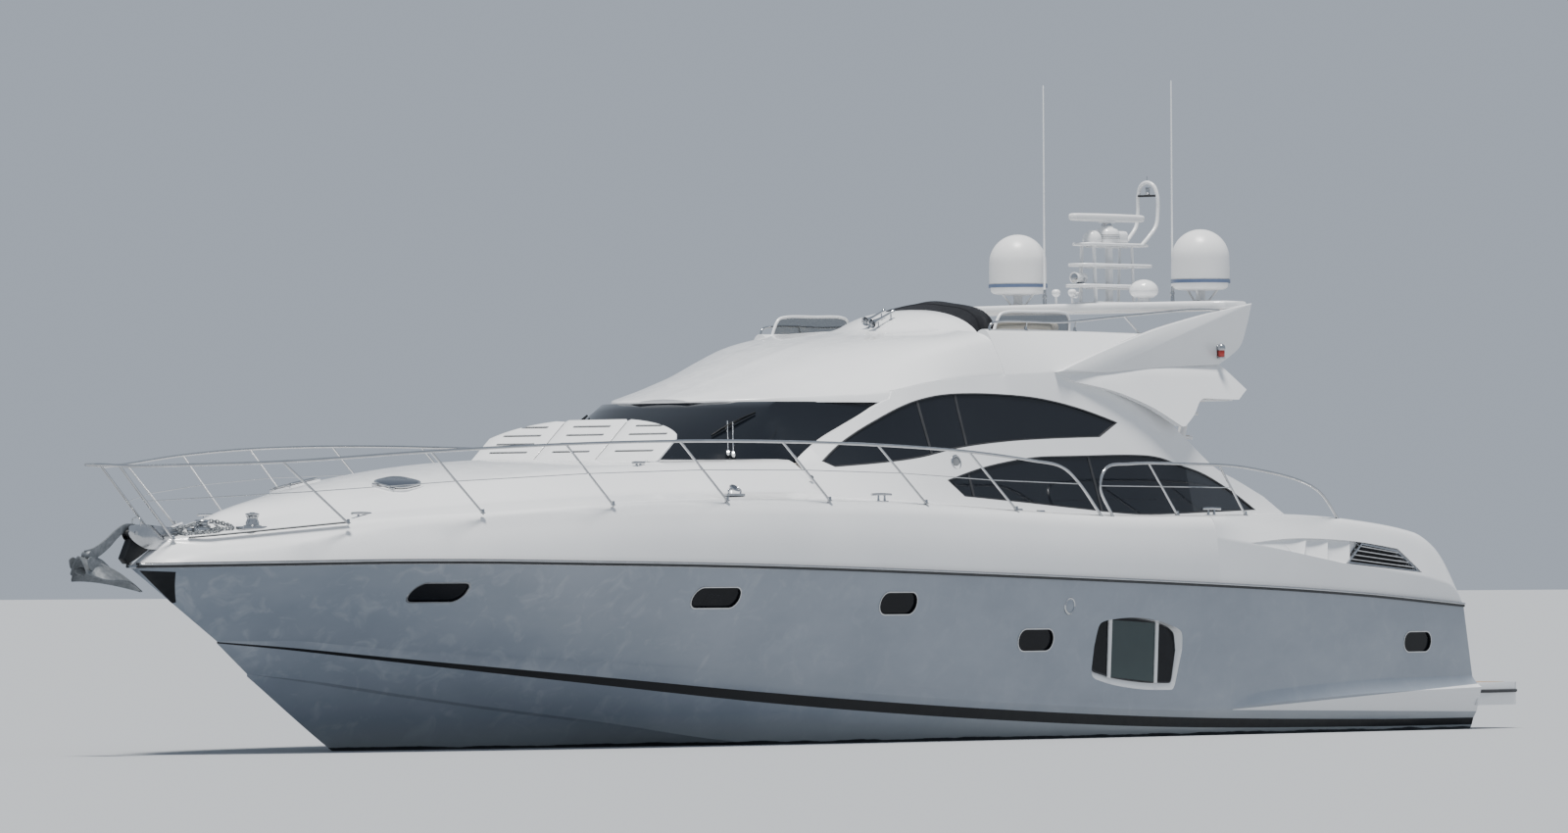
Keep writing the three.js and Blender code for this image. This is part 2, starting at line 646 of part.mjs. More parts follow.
// Transom moulding: bulkhead across the stern with a stair on each side
const TRANSOM = { front: -8750, half: 1330, top: 2130, aft: -9500 };
const transomCore = prism(outline(
  [TRANSOM.front, TRANSOM.top],
  [[-8900, TRANSOM.top + 30], [-9100, TRANSOM.top - 30]],
  [TRANSOM.aft, 1900],
  [-9640, 1480],
  [-9640, 1438],
  [STERN_X + 2, 1438],
  [STERN_X + 2, 1300],
  [TRANSOM.front, 1300],
), -TRANSOM.half, TRANSOM.half, 4);
const soleBlock = box([WELL.aft - SOLE_EDGE, -3000, 0], [WELL.front, 3000, SOLE_Z + GAP]);
add('transom', 'gelcoat', largest(cut(transomCore, belowDecks, soleBlock)));

// Bathing platform, with its rounded aft edge
const PLATFORM = { front: -9760, aft: -10930, half: 2420, top: 530, low: 270 };
const platformPlan = new THREE.Shape();
platformPlan.moveTo(PLATFORM.front, -PLATFORM.half);
platformPlan.lineTo(PLATFORM.front, PLATFORM.half);
platformPlan.lineTo(PLATFORM.aft + 350, PLATFORM.half - 60);
platformPlan.quadraticCurveTo(PLATFORM.aft + 30, PLATFORM.half - 150, PLATFORM.aft, PLATFORM.half - 620);
platformPlan.lineTo(PLATFORM.aft, -PLATFORM.half + 620);
platformPlan.quadraticCurveTo(
  PLATFORM.aft + 30,
  -PLATFORM.half + 150,
  PLATFORM.aft + 350,
  -PLATFORM.half + 60,
);
const platformBody = slab(platformPlan, PLATFORM.low, PLATFORM.top, 5);
const besideHull = [[-GAP, 0, 0], [0, 0, GAP], [0, 0, -GAP], [-GAP, 0, -GAP]]
  .map((shift) => hullBody.translate(shift));
add('bathing_platform', 'gelcoat', largest(cut(platformBody, hullBody, ...besideHull)));

const decks = [deckBody, quarterBody].flatMap((body) => [body, body.translate([-GAP, 0, GAP])]);

/** Body that is sunk a little into the decks, cut back to stand on them. */
const seated = (body) => largest(cut(body, ...decks));

// Rub rails along the knuckle
const RUB = { out: 34, height: 56 };

/** Ring of the rub rail at station x. */
function rubRing(x) {
  const y = at(RAIL, 'y', x);
  const z = at(RAIL, 'z', x);
  return [
    [x, y - 25, z - RUB.height / 2],
    [x, y + RUB.out, z - RUB.height / 3],
    [x, y + RUB.out, z + RUB.height / 3],
    [x, y - 25, z + RUB.height / 2],
  ];
}
const RUB_X = SHARES.slice(0, -1).map((share) => along(RAIL, share, STERN_X));
const SHIFTS = [[0, 0, 0], [0.6 * GAP, 1.5 * GAP, GAP], [-0.6 * GAP, 1.5 * GAP, -GAP]];
const backing = [hullBody, deckBody, quarterBody];
const grown = backing.flatMap((body) => SHIFTS.map((shift) => body.translate(shift)));
const rubBody = cut(loft(RUB_X.map(rubRing)), ...grown);
addPair('rub_rail', 'steel', largest(rubBody));

// House sides with their windows

const deckTopAt = (x) => at(DECK, 'deckZ', x) - BED;
const baseLine = [-6430, -5300, SALOON_AFT_X].map((x) => [x, at(QUARTER, 'topZ', x) - BED]);
const deckLine = [-3600, -2500, -1600, -900, 0, 700, 1300].map((x) => [x, deckTopAt(x)]);
const sideOutline = outline(
  baseLine[0],
  ...baseLine.slice(1),
  ...deckLine,
  [SALOON_FRONT_X - 4, 2600],
  [SALOON_FRONT_X - 4, 3030],
  [[1420, 3250], [1040, 3400], [740, 3520], [430, COWL_UNDER - 2]],
  [235, COWL_UNDER - 2],
  [235, EAVES_Z],
  [-4650, EAVES_Z],
  [[-4480, 3480], [-4750, 3250], [-5140, 2980], [-5570, 2820], [-6010, 2650]],
);
const upperWindow = outline(
  [1600, 3020],
  [[990, 3270], [500, 3480], [-150, 3670], [-1000, 3690], [-2000, 3690], [-2610, 3630], [-3480, 3450]],
  [-3070, 3300],
  [[-2320, 3300], [-1450, 3250], [-920, 3190], [120, 3040], [750, 3000], [1420, 2950]],
);
const lowerWindow = outline(
  [-220, 2820],
  [[-830, 2950], [-1370, 3030], [-1900, 3080], [-2610, 3095], [-3520, 3110], [-4060, 3090], [-4490, 3000],
    [-4930, 2900], [-5430, 2700], [-5820, 2500]],
  [[-4980, 2475], [-3570, 2445], [-2420, 2510], [-1550, 2570], [-450, 2640]],
);
const windowPrism = (shape) => prism(shape, 1500, 2600, 2);
const sidePanel = seated(common(sideSheet(0, SKIN), prism(sideOutline, 1500, 2600, 2)));
addPair('house_side', 'gelcoat', cut(sidePanel, windowPrism(upperWindow), windowPrism(lowerWindow)));

/** Pane that fills a window, set back from the outer face, with a thin gap all round. */
function pane(shape) {
  const points = shape.getPoints(2).filter((p, i, all) => p.distanceTo(all[(i + 1) % all.length]) > 0.01);
  const turn = Math.sign(THREE.ShapeUtils.area(points));
  const inner = points.map((p, i) => {
    const before = points[(i + points.length - 1) % points.length];
    const after = points[(i + 1) % points.length];
    const [a, b] = [p.clone().sub(before).normalize(), after.clone().sub(p).normalize()];
    const normal = new THREE.Vector2(-(a.y + b.y), a.x + b.x).normalize().multiplyScalar(turn);
    const lean = Math.max(0.3, normal.dot(new THREE.Vector2(-a.y, a.x).multiplyScalar(turn)));
    return p.clone().addScaledVector(normal, GAP / lean);
  });
  return common(sideSheet(18, GLASS), windowPrism(new THREE.Shape(inner)));
}
addPair('upper_glass', 'glass', pane(upperWindow));
addPair('lower_glass', 'glass', pane(lowerWindow));

// Roof and flybridge

/** Port half of a ring of the cowl at station x, from its lower edge to the crown. */
function cowlHalf(x) {
  const value = (key) => at(COWL, key, x);
  const under = x < 250 ? EAVES_Z + GAP : COWL_UNDER;
  return [
    [x, value('edgeY'), under],
    [x, value('browY'), Math.max(value('browZ'), under + 8)],
    [x, (value('browY') + value('shoulderY')) / 2 + 25, (value('browZ') + value('shoulderZ')) / 2],
    [x, value('shoulderY'), value('shoulderZ')],
    [x, value('shoulderY') * 0.55, value('crown') - (value('crown') - value('shoulderZ')) * 0.22],
    [x, 0, value('crown')],
  ];
}

/** Whole ring from a port half that ends on the centreline. */
function closedRing(half) {
  const port = half.slice(0, -1);
  return [...port, half[half.length - 1], ...port.map(([x, y, z]) => [x, -y, z]).reverse()];
}
const COWL_X = [
  FLY_FRONT_X + GAP, -1250, -900, -600, -300, 0, 245, 255, 600, 900, 1200, 1500, 1700, 1900, 2060,
];
const cowlBody = loft(COWL_X.map((x) => closedRing(cowlHalf(x))));

// Hood of the upper helm, which rises out of the cowl
const HELM_Y = 200; // the upper helm and its hood stand to port of the centreline
const HOOD = [
  { x: -2050, half: 1000, top: 4722, foot: 4300 },
  { x: -1850, half: 960, top: 4700, foot: 4300 },
  { x: -1550, half: 860, top: 4610, foot: 4250 },
  { x: -1250, half: 700, top: 4495, foot: 4200 },
  { x: -1000, half: 480, top: 4400, foot: 4200 },
];
const hoodBody = solid(loft(HOOD.map(({ x, half, top, foot }) => closedRing([
  [x, half, foot],
  [x, half * 0.93, foot + (top - foot) * 0.39],
  [x, half * 0.8, foot + (top - foot) * 0.62],
  [x, half * 0.5, foot + (top - foot) * 0.89],
  [x, 0, top],
])))).translate([0, HELM_Y, 0]);
add('flybridge_cowl', 'gelcoat', join(cowlBody, hoodBody));

const FLY_X = [FLY_AFT_X, -5400, -4900, -4440, -3900, -3340, -2900, -2400, -2000, FLY_FRONT_X];

/** Half breadth of the flybridge's outer side at station x and height z, below its shoulder line. */
function flyFootY(x, z) {
  const crease = at(FLY, 'crease', x);
  return sideY(x, z) + 14 + at(FLY, 'flare', x) * (crease - z) + at(FLY, 'flare', x) * 350;
}

/** Ring of the port coaming at station x. */
function flyRing(x) {
  const value = (key) => at(FLY, key, x);
  const under = EAVES_Z + GAP;
  const crease = value('crease');
  return [
    [x, FLY_WELL_HALF, under],
    [x, flyFootY(x, under), under],
    [x, flyFootY(x, crease), crease],
    [x, (flyFootY(x, crease) + value('topY')) / 2 + 20, (crease + value('topZ')) / 2],
    [x, value('topY'), value('topZ')],
    [x, value('topY') - 80, value('topZ')],
    [x, FLY_WELL_HALF, value('topZ') - 60],
  ];
}
const coaming = loft(FLY_X.map(flyRing));

// Wing: the tooth that hangs outside the house side, and the fin above the shoulder line
const wingRing = (x) => {
  const low = 3400;
  const high = at(FLY, 'crease', x);
  return [
    [x, sideY(x, low) + 10, low],
    [x, flyFootY(x, low), low],
    [x, flyFootY(x, high), high],
    [x, sideY(x, high) + 10, high],
  ];
};
const wingSheet = loft(FLY_X.filter((x) => x <= -2400).map(wingRing));
const toothOutline = outline(
  [-2420, 4020],
  [-2790, 3905],
  [[-3380, 3810], [-3950, 3640], [-4400, 3435]],
  [-4930, EAVES_Z + 20],
  [-5780, EAVES_Z + 20],
  [-5875, 3850],
  [-5875, 4100],
);
const tooth = common(wingSheet, prism(toothOutline, 1500, 2700, 4));
const FIN_THICK = 75;
const finOutline = outline(
  [-2450, 4040],
  [[-3300, 4270], [-4300, 4520], [-5230, 4690]],
  [-6120, 4825],
  [[-6000, 4560], [-5850, 4330], [-5560, 4180]],
  [-5560, 4120],
  [-4440, 4090],
  [-3340, 4030],
);
const finBody = prism(finOutline, -FIN_THICK / 2, FIN_THICK / 2, 4);
const FIN_Y = 1925;
const FIN_TILT = THREE.MathUtils.degToRad(3);
const fin = finBody.rotateX(FIN_TILT).translate(0, FIN_Y + Math.sin(FIN_TILT) * 4200, 0);
const flySide = join(coaming, tooth, fin);
addPair('flybridge_side', 'gelcoat', flySide);

// Flybridge sole with the stair hatch
const HATCHWAY = { aft: -5750, front: -4600, inner: 760, outer: 1400 };
const flySole = box(
  [FLY_AFT_X, -FLY_WELL_HALF + GAP, EAVES_Z + GAP],
  [FLY_FRONT_X - GAP, FLY_WELL_HALF - GAP, FLY_SOLE_Z],
);
add('flybridge_sole', 'nonskid', cut(flySole, box(
  [HATCHWAY.aft, HATCHWAY.inner, EAVES_Z - 50],
  [HATCHWAY.front, HATCHWAY.outer, FLY_SOLE_Z + 50],
)));

// Aft bulkhead with its doorway and a fixed window
const BULKHEAD = { aft: -4555, front: -4505, doorLow: -350, doorHigh: 700, sill: 1740, head: 3560 };

/** Ring that fills the house between its side panels at station x. */
function insideRing(x, low, high) {
  const half = (z) => sideY(x, z) - SKIN - 2;
  return closedRing([
    [x, 2095, low],
    [x, 2095, 2460],
    [x, half(2480), 2462],
    [x, half(high), high],
    [x, 0, high],
  ]);
}
const bulkheadBody = loft([BULKHEAD.aft, BULKHEAD.front].map((x) => insideRing(x, 1500, EAVES_Z)));
const doorway = box([-5000, BULKHEAD.doorLow, BULKHEAD.sill], [-4000, BULKHEAD.doorHigh, BULKHEAD.head]);
const fixedWindow = box([-5000, -1650, 2150], [-4000, -620, 3450]);

// Sliding door on the bulkhead's aft face, a steel frame round a dark pane
const DOOR = { thick: 40, overlap: 40 };
const doorLow = [BULKHEAD.aft - RUN - DOOR.thick, BULKHEAD.doorLow - DOOR.overlap, BULKHEAD.sill - 20];
const doorHigh = [BULKHEAD.aft - RUN, BULKHEAD.doorHigh + DOOR.overlap, BULKHEAD.head + 30];
add('saloon_door', 'glass', box(doorLow, doorHigh));
const TRACK = { low: -1500, high: 790, deep: 60, tall: 70 };
const trackHeights = [
  [doorLow[2] - TRACK.tall, doorLow[2] - GAP],
  [doorHigh[2] + GAP, doorHigh[2] + TRACK.tall],
];
const tracks = trackHeights.map(([low, high]) => box(
  [BULKHEAD.aft - TRACK.deep, TRACK.low, low],
  [BULKHEAD.aft + 10, TRACK.high, high],
));
add('aft_bulkhead', 'gelcoat', cut(join(cut(bulkheadBody, doorway, fixedWindow), ...tracks), belowDecks));

// Windscreen: one curved pane from its foot on the coachroof to the cowl
const SCREEN_FOOT = { x: 1300, reach: 1640, half: 1680, power: 2.6 };
const SCREEN_TOP = { x: 160, reach: 1880, half: 1722, power: 2.3 };

/** Point on an outline that bulges forward like a superellipse, turn from -1 to 1 across the boat. */
function bow(outlineOf, turn, inset) {
  const angle = (turn * Math.PI) / 2;
  const power = 2 / outlineOf.power;
  const x = Math.abs(Math.cos(angle)) ** power;
  const y = Math.abs(Math.sin(angle)) ** power * Math.sign(turn);
  return [outlineOf.x + (outlineOf.reach - inset) * x, (outlineOf.half - inset) * y];
}

/** Height of the coachroof under the windscreen's foot. */
function footZ(x, y) {
  const trunkZ = at(DECK, 'trunkZ', Math.max(x, 1930));
  const crown = at(DECK, 'crown', Math.max(x, 1930));
  return crown + (trunkZ - crown) * Math.min(1, Math.abs(y) / 1600) ** 2;
}
const screenSheet = (inset) => steps(-0.985, 0.985, 25).map((turn) => {
  const [fx, fy] = bow(SCREEN_FOOT, turn, inset);
  const [tx, ty] = bow(SCREEN_TOP, turn, inset);
  return { foot: [fx, fy, footZ(fx, fy) - 25], top: [tx, ty, COWL_UNDER - GAP] };
});
const screenOuter = screenSheet(0);
const screenInner = screenSheet(GLASS * 1.5);
const screenRings = screenOuter.map(({ foot, top }, i) => [
  [screenInner[i].foot[0], screenInner[i].foot[1], foot[2]],
  [screenInner[i].top[0], screenInner[i].top[1], top[2]],
  top,
  foot,
]);
const insideHouse = join(betweenSides, box([SALOON_FRONT_X - GAP, -3000, 2000], [4000, 3000, 3800]));
add('windscreen', 'glass', largest(symmetric(cut(
  common(loft(screenRings, 'y'), insideHouse),
  deckBody,
  deckBody.translate([0, 0, GAP]),
))));

// Mast, aerials and domes on the arch between the fins
const ARCH = { half: 1890, top: 4845, low: 4745, front: -5640, aft: -6380 };
const archPlan = new THREE.Shape();
archPlan.moveTo(ARCH.front, -ARCH.half);
archPlan.quadraticCurveTo(ARCH.front + 500, 0, ARCH.front, ARCH.half);
archPlan.lineTo(-6050, ARCH.half);
archPlan.quadraticCurveTo(ARCH.aft - 160, 0, -6050, -ARCH.half);
const beside = [[0, -GAP, 0], [0, -GAP, GAP], [0, -GAP, -GAP]].map((shift) => solid(fin).translate(shift));
const besideFins = [flySide, ...beside];
const archBody = cut(slab(archPlan, ARCH.low, ARCH.top, 6), ...besideFins, ...besideFins.map(mirrored));
const AERIAL = { x: -6000, y: 900, top: 7350, radius: 11, foot: 24 };
const aerial = solid(turned([
  [0, ARCH.top - 20],
  [AERIAL.foot, ARCH.top - 20],
  [AERIAL.foot, ARCH.top + 160],
  [AERIAL.radius, ARCH.top + 190],
  [AERIAL.radius * 0.6, AERIAL.top],
  [0, AERIAL.top],
], AERIAL.x, AERIAL.y, 8));
const smallDome = turned([
  [0, ARCH.top - 20],
  [70, ARCH.top - 20],
  [70, ARCH.top + 60],
  [150, ARCH.top + 100],
  [166, ARCH.top + 145],
  [117, ARCH.top + 233],
  [50, ARCH.top + 266],
  [0, ARCH.top + 270],
], -6000, 500, 14);
add('radar_arch', 'gelcoat', join(largest(archBody), aerial, mirrored(aerial), smallDome));

const DOME = { x: -6010, y: 1285, radius: 330, seam: 5100, top: 5650, low: 4985, post: 45 };
const domeProfile = [
  [0, ARCH.top + GAP],
  [110, ARCH.top + GAP],
  [110, ARCH.top + 15],
  [DOME.post, ARCH.top + 20],
  [DOME.post, DOME.low],
  [DOME.radius - 60, DOME.low],
  [DOME.radius, DOME.low + 35],
  [DOME.radius + 3, DOME.seam],
  [DOME.radius, DOME.seam + 150],
  [DOME.radius * 0.93, DOME.seam + 320],
  [DOME.radius * 0.72, DOME.seam + 460],
  [DOME.radius * 0.4, DOME.top - 25],
  [0, DOME.top],
];
addPair('satellite_dome', 'gelcoat', turned(domeProfile, DOME.x, DOME.y, 14));

const MAST = { x: -5980, post: 40, top: 5720 };
const SHELVES = [
  { z: 5500, front: -5450, aft: -6650, half: 150 },
  { z: 5265, front: -5380, aft: -6700, half: 170 },
  { z: 5030, front: -5350, aft: -6480, half: 190 },
];
const SHELF_THICK = 36;
const shelves = SHELVES.map(({ z, front, aft, half }) => box(
  [aft, -half, z],
  [front, half, z + SHELF_THICK],
));
const mastPosts = [
  box([MAST.x - 90, -35, ARCH.top + GAP], [MAST.x + 10, 35, MAST.top - 60]),
  bar([[MAST.x + 330, -110, ARCH.top + 60], [MAST.x + 200, -70, SHELVES[0].z + 10]], 22),
  bar([[MAST.x + 330, 110, ARCH.top + 60], [MAST.x + 200, 70, SHELVES[0].z + 10]], 22),
  box([MAST.x - 300, -200, ARCH.top + GAP], [MAST.x + 420, 200, ARCH.top + 70]),
];
const pedestal = turned([
  [0, SHELVES[0].z],
  [120, SHELVES[0].z],
  [150, 5600],
  [140, MAST.top - 20],
  [70, MAST.top],
  [0, MAST.top],
], MAST.x, 0, 14);

// Light hoop aft of the scanner, from one side of the upper shelf over to the other
const hoopLeg = [
  [-6470, 130, SHELVES[0].z + 20],
  [-6600, 135, 5620],
  [-6730, 140, 5745],
  [-6765, 140, 5900],
  [-6765, 135, 6080],
  [-6755, 90, 6200],
];
const hoopTop = [-6750, 0, 6240];
const hoop = bar([...hoopLeg, hoopTop, ...hoopLeg.map(([x, y, z]) => [x, -y, z]).reverse()], 23, 6, 24);
const hoopBridge = box([-6790, -140, 6070], [-6740, 140, 6105]);

const SEARCHLIGHT = { x: -5460, z: 5135, radius: 62, half: 105 };
const searchlight = join(
  turned([[0, -105], [44, -105], [SEARCHLIGHT.radius, -60], [SEARCHLIGHT.radius, 105], [0, 105]], 0, 0, 10)
    .rotateY(Math.PI / 2).translate(SEARCHLIGHT.x, 0, SEARCHLIGHT.z),
  box([SEARCHLIGHT.x - 45, -50, 5050], [SEARCHLIGHT.x + 30, 50, SEARCHLIGHT.z]),
);
add('mast', 'gelcoat', join(...shelves, ...mastPosts, pedestal, hoop, hoopBridge, searchlight));

// Radar scanner, which turns on the pedestal
const SCANNER = { length: 1330, depth: 130, height: 120, low: MAST.top + RUN + 20, hub: 60 };
const scannerBar = box(
  [-SCANNER.length / 2, -SCANNER.depth / 2, SCANNER.low + 30],
  [SCANNER.length / 2, SCANNER.depth / 2, SCANNER.low + SCANNER.height],
);
const scannerHub = turned([
  [0, MAST.top + GAP],
  [SCANNER.hub, MAST.top + GAP],
  [SCANNER.hub, SCANNER.low + 40],
  [0, SCANNER.low + 40],
], 0, 0, 12);
add('radar_scanner', 'gelcoat', join(scannerBar, scannerHub).translate([MAST.x, 0, 0]));

// Guard rails

const RAIL_R = 16;
const POST_R = 12;

// post: foot on the deck, head under the rail
const BOW_POSTS = [
  { x: 8710, y: 1180, headX: 9600 },
  { x: 7240, y: 1760, headX: 7990 },
  { x: 5630, y: 2190, headX: 6370 },
  { x: 3980, y: 2400, headX: 4760 },
  { x: 2340, y: 2490, headX: 3150 },
  { x: 670, y: 2500, headX: 1530 },
  { x: -940, y: 2500, headX: -80 },
];

/** Height of the deck at station x and half breadth y. */
function deckZ(x, y) {
  const value = (key) => at(DECK, key, x);
  const [outer, inner] = [value('edgeY'), value('deckY')];
  const rounded = outer - 0.8 * Math.min(90, outer * 0.25);
  const part = THREE.MathUtils.clamp((rounded - y) / (outer - inner), 0, 1);
  return value('edgeZ') + (value('deckZ') - value('edgeZ')) * part;
}
/** Point at station x of a rail's curve, on the upper run of the rail. */
function onRail(points, pieces, x) {
  const corners = curveThrough(points).getSpacedPoints(pieces);
  const i = corners.findIndex((p, n) => n > 0 && (corners[n - 1].x - x) * (p.x - x) <= 0 && p.z > 2900);
  const [a, b] = [corners[i - 1], corners[i]];
  return a.clone().lerp(b, (x - a.x) / (b.x - a.x)).toArray();
}
const BOW_PIECES = 28;
const BOW_LINE = [
  [-2500, 2500, 2410],
  [-2050, 2505, 2800],
  [-1750, 2510, 2960],
  [-1200, 2510, 3030],
  [-80, 2510, 3120],
  [1530, 2510, 3185],
  [3150, 2490, 3212],
  [4760, 2390, 3210],
  [6370, 2160, 3172],
  [7990, 1690, 3095],
  [9600, 1060, 2990],
  [10500, 520, 2960],
  [10900, 230, 2950],
  [11060, 125, 2955],
  [11300, 90, 2965],
  [11440, 4, 2965],
];
const bowLeg = bar([[10230, 120, 2180], onRail(BOW_LINE, BOW_PIECES, 11060)], POST_R + 3);
const bowPosts = BOW_POSTS.map(({ x, y, headX }) => bar(
  [[x, y, deckZ(x, y) - BED], onRail(BOW_LINE, BOW_PIECES, headX)], POST_R));
const bowRail = join(bar(BOW_LINE, RAIL_R, 6, BOW_PIECES), bowLeg, ...bowPosts);
addPair('bow_rail', 'steel', seated(common(bowRail, box([-9000, GAP, 2000], [12000, 3000, 4000]))));

const SIDE_PIECES = 16;
const SIDE_LINE = [
  [-2700, 2500, 2410],
  [-2450, 2505, 2750],
  [-2560, 2505, 2950],
  [-3000, 2505, 3000],
  [-4000, 2490, 3005],
  [-5300, 2470, 2960],
  [-6600, 2440, 2730],
  [-7200, 2340, 2360],
];
const SIDE_POSTS = [
  { x: -4020, headX: -3350 },
  { x: -5300, headX: -4700 },
];
const sidePosts = SIDE_POSTS.map(({ x, headX }) => bar(
  [[x, 2400, 2400], onRail(SIDE_LINE, SIDE_PIECES, headX)], POST_R));
addPair('side_rail', 'steel', seated(join(bar(SIDE_LINE, RAIL_R, 6, SIDE_PIECES), ...sidePosts)));

// Sunbathing backrests on the coachroof: slatted boards hinged at their foot, leaning aft

/** Board from across = low to high. Its corner heights at both edges are shares of the length. */
function board(low, high, lowShare, highShare) {
  const side = 4;
  const shape = new THREE.Shape();
  shape.moveTo(low + side, BOARD.knuckle);
  shape.lineTo(high - side, BOARD.knuckle);
  if (highShare < 1) {
    shape.lineTo(high - side, BOARD.length * highShare);
    shape.quadraticCurveTo(high - 250, BOARD.length * 0.9, low + side, BOARD.length);
  } else if (lowShare < 1) {
    shape.lineTo(high - side, BOARD.length);
    shape.quadraticCurveTo(low + 250, BOARD.length * 0.9, low + side, BOARD.length * lowShare);
  } else {
    shape.lineTo(high - side, BOARD.length);
    shape.lineTo(low + side, BOARD.length);
  }
  const slots = [0.27, 0.46, 0.65, 0.84].map((share, row) => {
    const inset = row === 3 && lowShare + highShare < 2 ? 330 : 170;
    const [a, b] = [low + (lowShare < 1 ? inset : 170), high - (highShare < 1 ? inset : 170)];
    const middle = BOARD.length * share;
    return box([a, middle - BOARD.slot / 2, -100], [b, middle + BOARD.slot / 2, 100]);
  });
  const plate = cut(slab(shape, -BOARD.thick / 2, BOARD.thick / 2, 5), ...slots);
  const places = knucklesOf([low, high]);
  const knuckles = places.map((y) => bar([[y, 0, 0], [y + KNUCKLE_LENGTH, 0, 0]], BOARD.knuckle, 10));
  const lugs = places.map((y) => box([y + 30, -8, -6], [y + KNUCKLE_LENGTH - 30, 40, 6]));
  const standing = join(plate, ...knuckles, ...lugs).rotate([90, 0, 90]);
  return standing.rotate([0, -(90 - BOARD.lean), 0]).translate([BOARD.footX, 0, BOARD.footZ]);
}
add('backrest_port', 'gelcoat', board(BOARD.seam, BOARD.half, 1, 0.6));
add('backrest_centre', 'gelcoat', board(-BOARD.seam, BOARD.seam, 1, 1));
add('backrest_starboard', 'gelcoat', board(-BOARD.half, -BOARD.seam, 0.6, 1));

// Ground tackle
const WINDLASS = { x: 9430, y: 500 };
const windlassProfile = [
  [0, 2250],
  [95, 2250],
  [95, 2355],
  [58, 2370],
  [52, 2425],
  [75, 2450],
  [60, 2473],
  [0, 2478],
];
add('windlass', 'steel', seated(turned(windlassProfile, WINDLASS.x, WINDLASS.y, 16)));

const ROLLER = { cheek: 48, thick: 12 };
const cheekShape = outline(
  [10080, 2150],
  [10420, 2080],
  [10700, 2150],
  [10840, 2260],
  [10820, 2350],
  [10600, 2360],
  [10200, 2330],
  [10080, 2290],
);
const cheek = prism(cheekShape, ROLLER.cheek, ROLLER.cheek + ROLLER.thick);
const rollerPin = bar([[10740, -ROLLER.cheek - 6, 2270], [10740, ROLLER.cheek + 6, 2270]], 36, 12);
const rollerBase = box([10120, -ROLLER.cheek - 5, 2150], [10400, ROLLER.cheek + 5, 2255]);
const rollerBody = join(cheek, mirrored(cheek), rollerPin, rollerBase);
const besideDeck = [2 * GAP, 0, -2 * GAP].map((shift) => deckBody.translate([2 * GAP, shift, 2 * GAP]));
add('bow_roller', 'steel', largest(cut(seated(rollerBody), ...besideDeck)));

const ANCHOR = {
  tip: [10640, 0, 1700],
  heel: [11560, 0, 2040],
  wing: [11330, 250, 1790],
  keel: [11200, 0, 1830],
  shankLow: 2306,
};
const { tip, heel, wing, keel } = ANCHOR;
const otherWing = [wing[0], -wing[1], wing[2]];
const plough = weld([tip, heel, wing, otherWing, keel].flat(), [
  [0, 1, 2],
  [0, 3, 1],
  [0, 2, 4],
  [0, 4, 3],
  [4, 2, 1],
  [4, 1, 3],
]);
const shank = prism(outline(
  [10700, ANCHOR.shankLow + GAP],
  [10700, 2370],
  [10860, 2365],
  [11120, 2180],
  [11420, 2010],
  [11330, 1900],
  [11050, 2080],
  [10850, ANCHOR.shankLow + GAP],
), -16, 16, 4);
add('anchor', 'galvanised', join(plough, shank));

// Upper helm and seats in the flybridge well
const CONSOLE = { front: -2080, fold: -2380, aft: -2850, half: 850, top: 4280, low: 4100 };
add('fly_console', 'gelcoat', prism(outline(
  [CONSOLE.front, FLY_SOLE_Z + GAP],
  [CONSOLE.front, CONSOLE.top],
  [CONSOLE.fold, CONSOLE.top],
  [CONSOLE.aft, CONSOLE.low],
  [CONSOLE.aft + 120, FLY_SOLE_Z + GAP],
), HELM_Y - CONSOLE.half, HELM_Y + CONSOLE.half));

const HELM_SEAT = { aft: -3690, front: -3000, half: 860 };
add('helm_seat', 'gelcoat', box(
  [HELM_SEAT.aft, HELM_Y - HELM_SEAT.half, FLY_SOLE_Z + GAP],
  [HELM_SEAT.front, HELM_Y + HELM_SEAT.half, CONSOLE.top],
));

const LOUNGE = { aft: -5800, front: -3900, outer: -1400, inner: -760, seat: 4280, back: 4440 };
add('fly_lounge', 'cushion', join(
  box([LOUNGE.aft, LOUNGE.outer, FLY_SOLE_Z + GAP], [LOUNGE.front, LOUNGE.inner, LOUNGE.seat]),
  box([LOUNGE.aft, LOUNGE.outer, FLY_SOLE_Z + GAP], [LOUNGE.front, LOUNGE.outer + 160, LOUNGE.back]),
  box([LOUNGE.aft, LOUNGE.outer, FLY_SOLE_Z + GAP], [LOUNGE.aft + 500, 640, LOUNGE.seat]),
  box([LOUNGE.aft, LOUNGE.outer, FLY_SOLE_Z + GAP], [LOUNGE.aft + 140, 640, LOUNGE.back]),
));

// Canvas cover over the upper helm, down to the console's top and slope
const COVER = [
  { x: -2056, half: 830, top: 4715 },
  { x: -2300, half: 790, top: 4790 },
  { x: CONSOLE.fold, half: 775, top: 4810 },
  { x: -2500, half: 750, top: 4828 },
  { x: -2680, half: 720, top: 4805 },
  { x: -2780, half: 690, top: 4640 },
];
const consoleSlope = (CONSOLE.top - CONSOLE.low) / (CONSOLE.fold - CONSOLE.aft);
const coverFoot = (x) => CONSOLE.top + GAP - consoleSlope * Math.max(0, CONSOLE.fold - x);
add('fly_cover', 'canvas', solid(loft([...COVER].reverse().map(({ x, half, top }) => closedRing([
  [x, half, coverFoot(x)],
  [x, half * 0.95, top - 260],
  [x, half * 0.84, top - 115],
  [x, half * 0.5, top - 40],
  [x, 0, top],
])))).translate([0, HELM_Y, 0]));

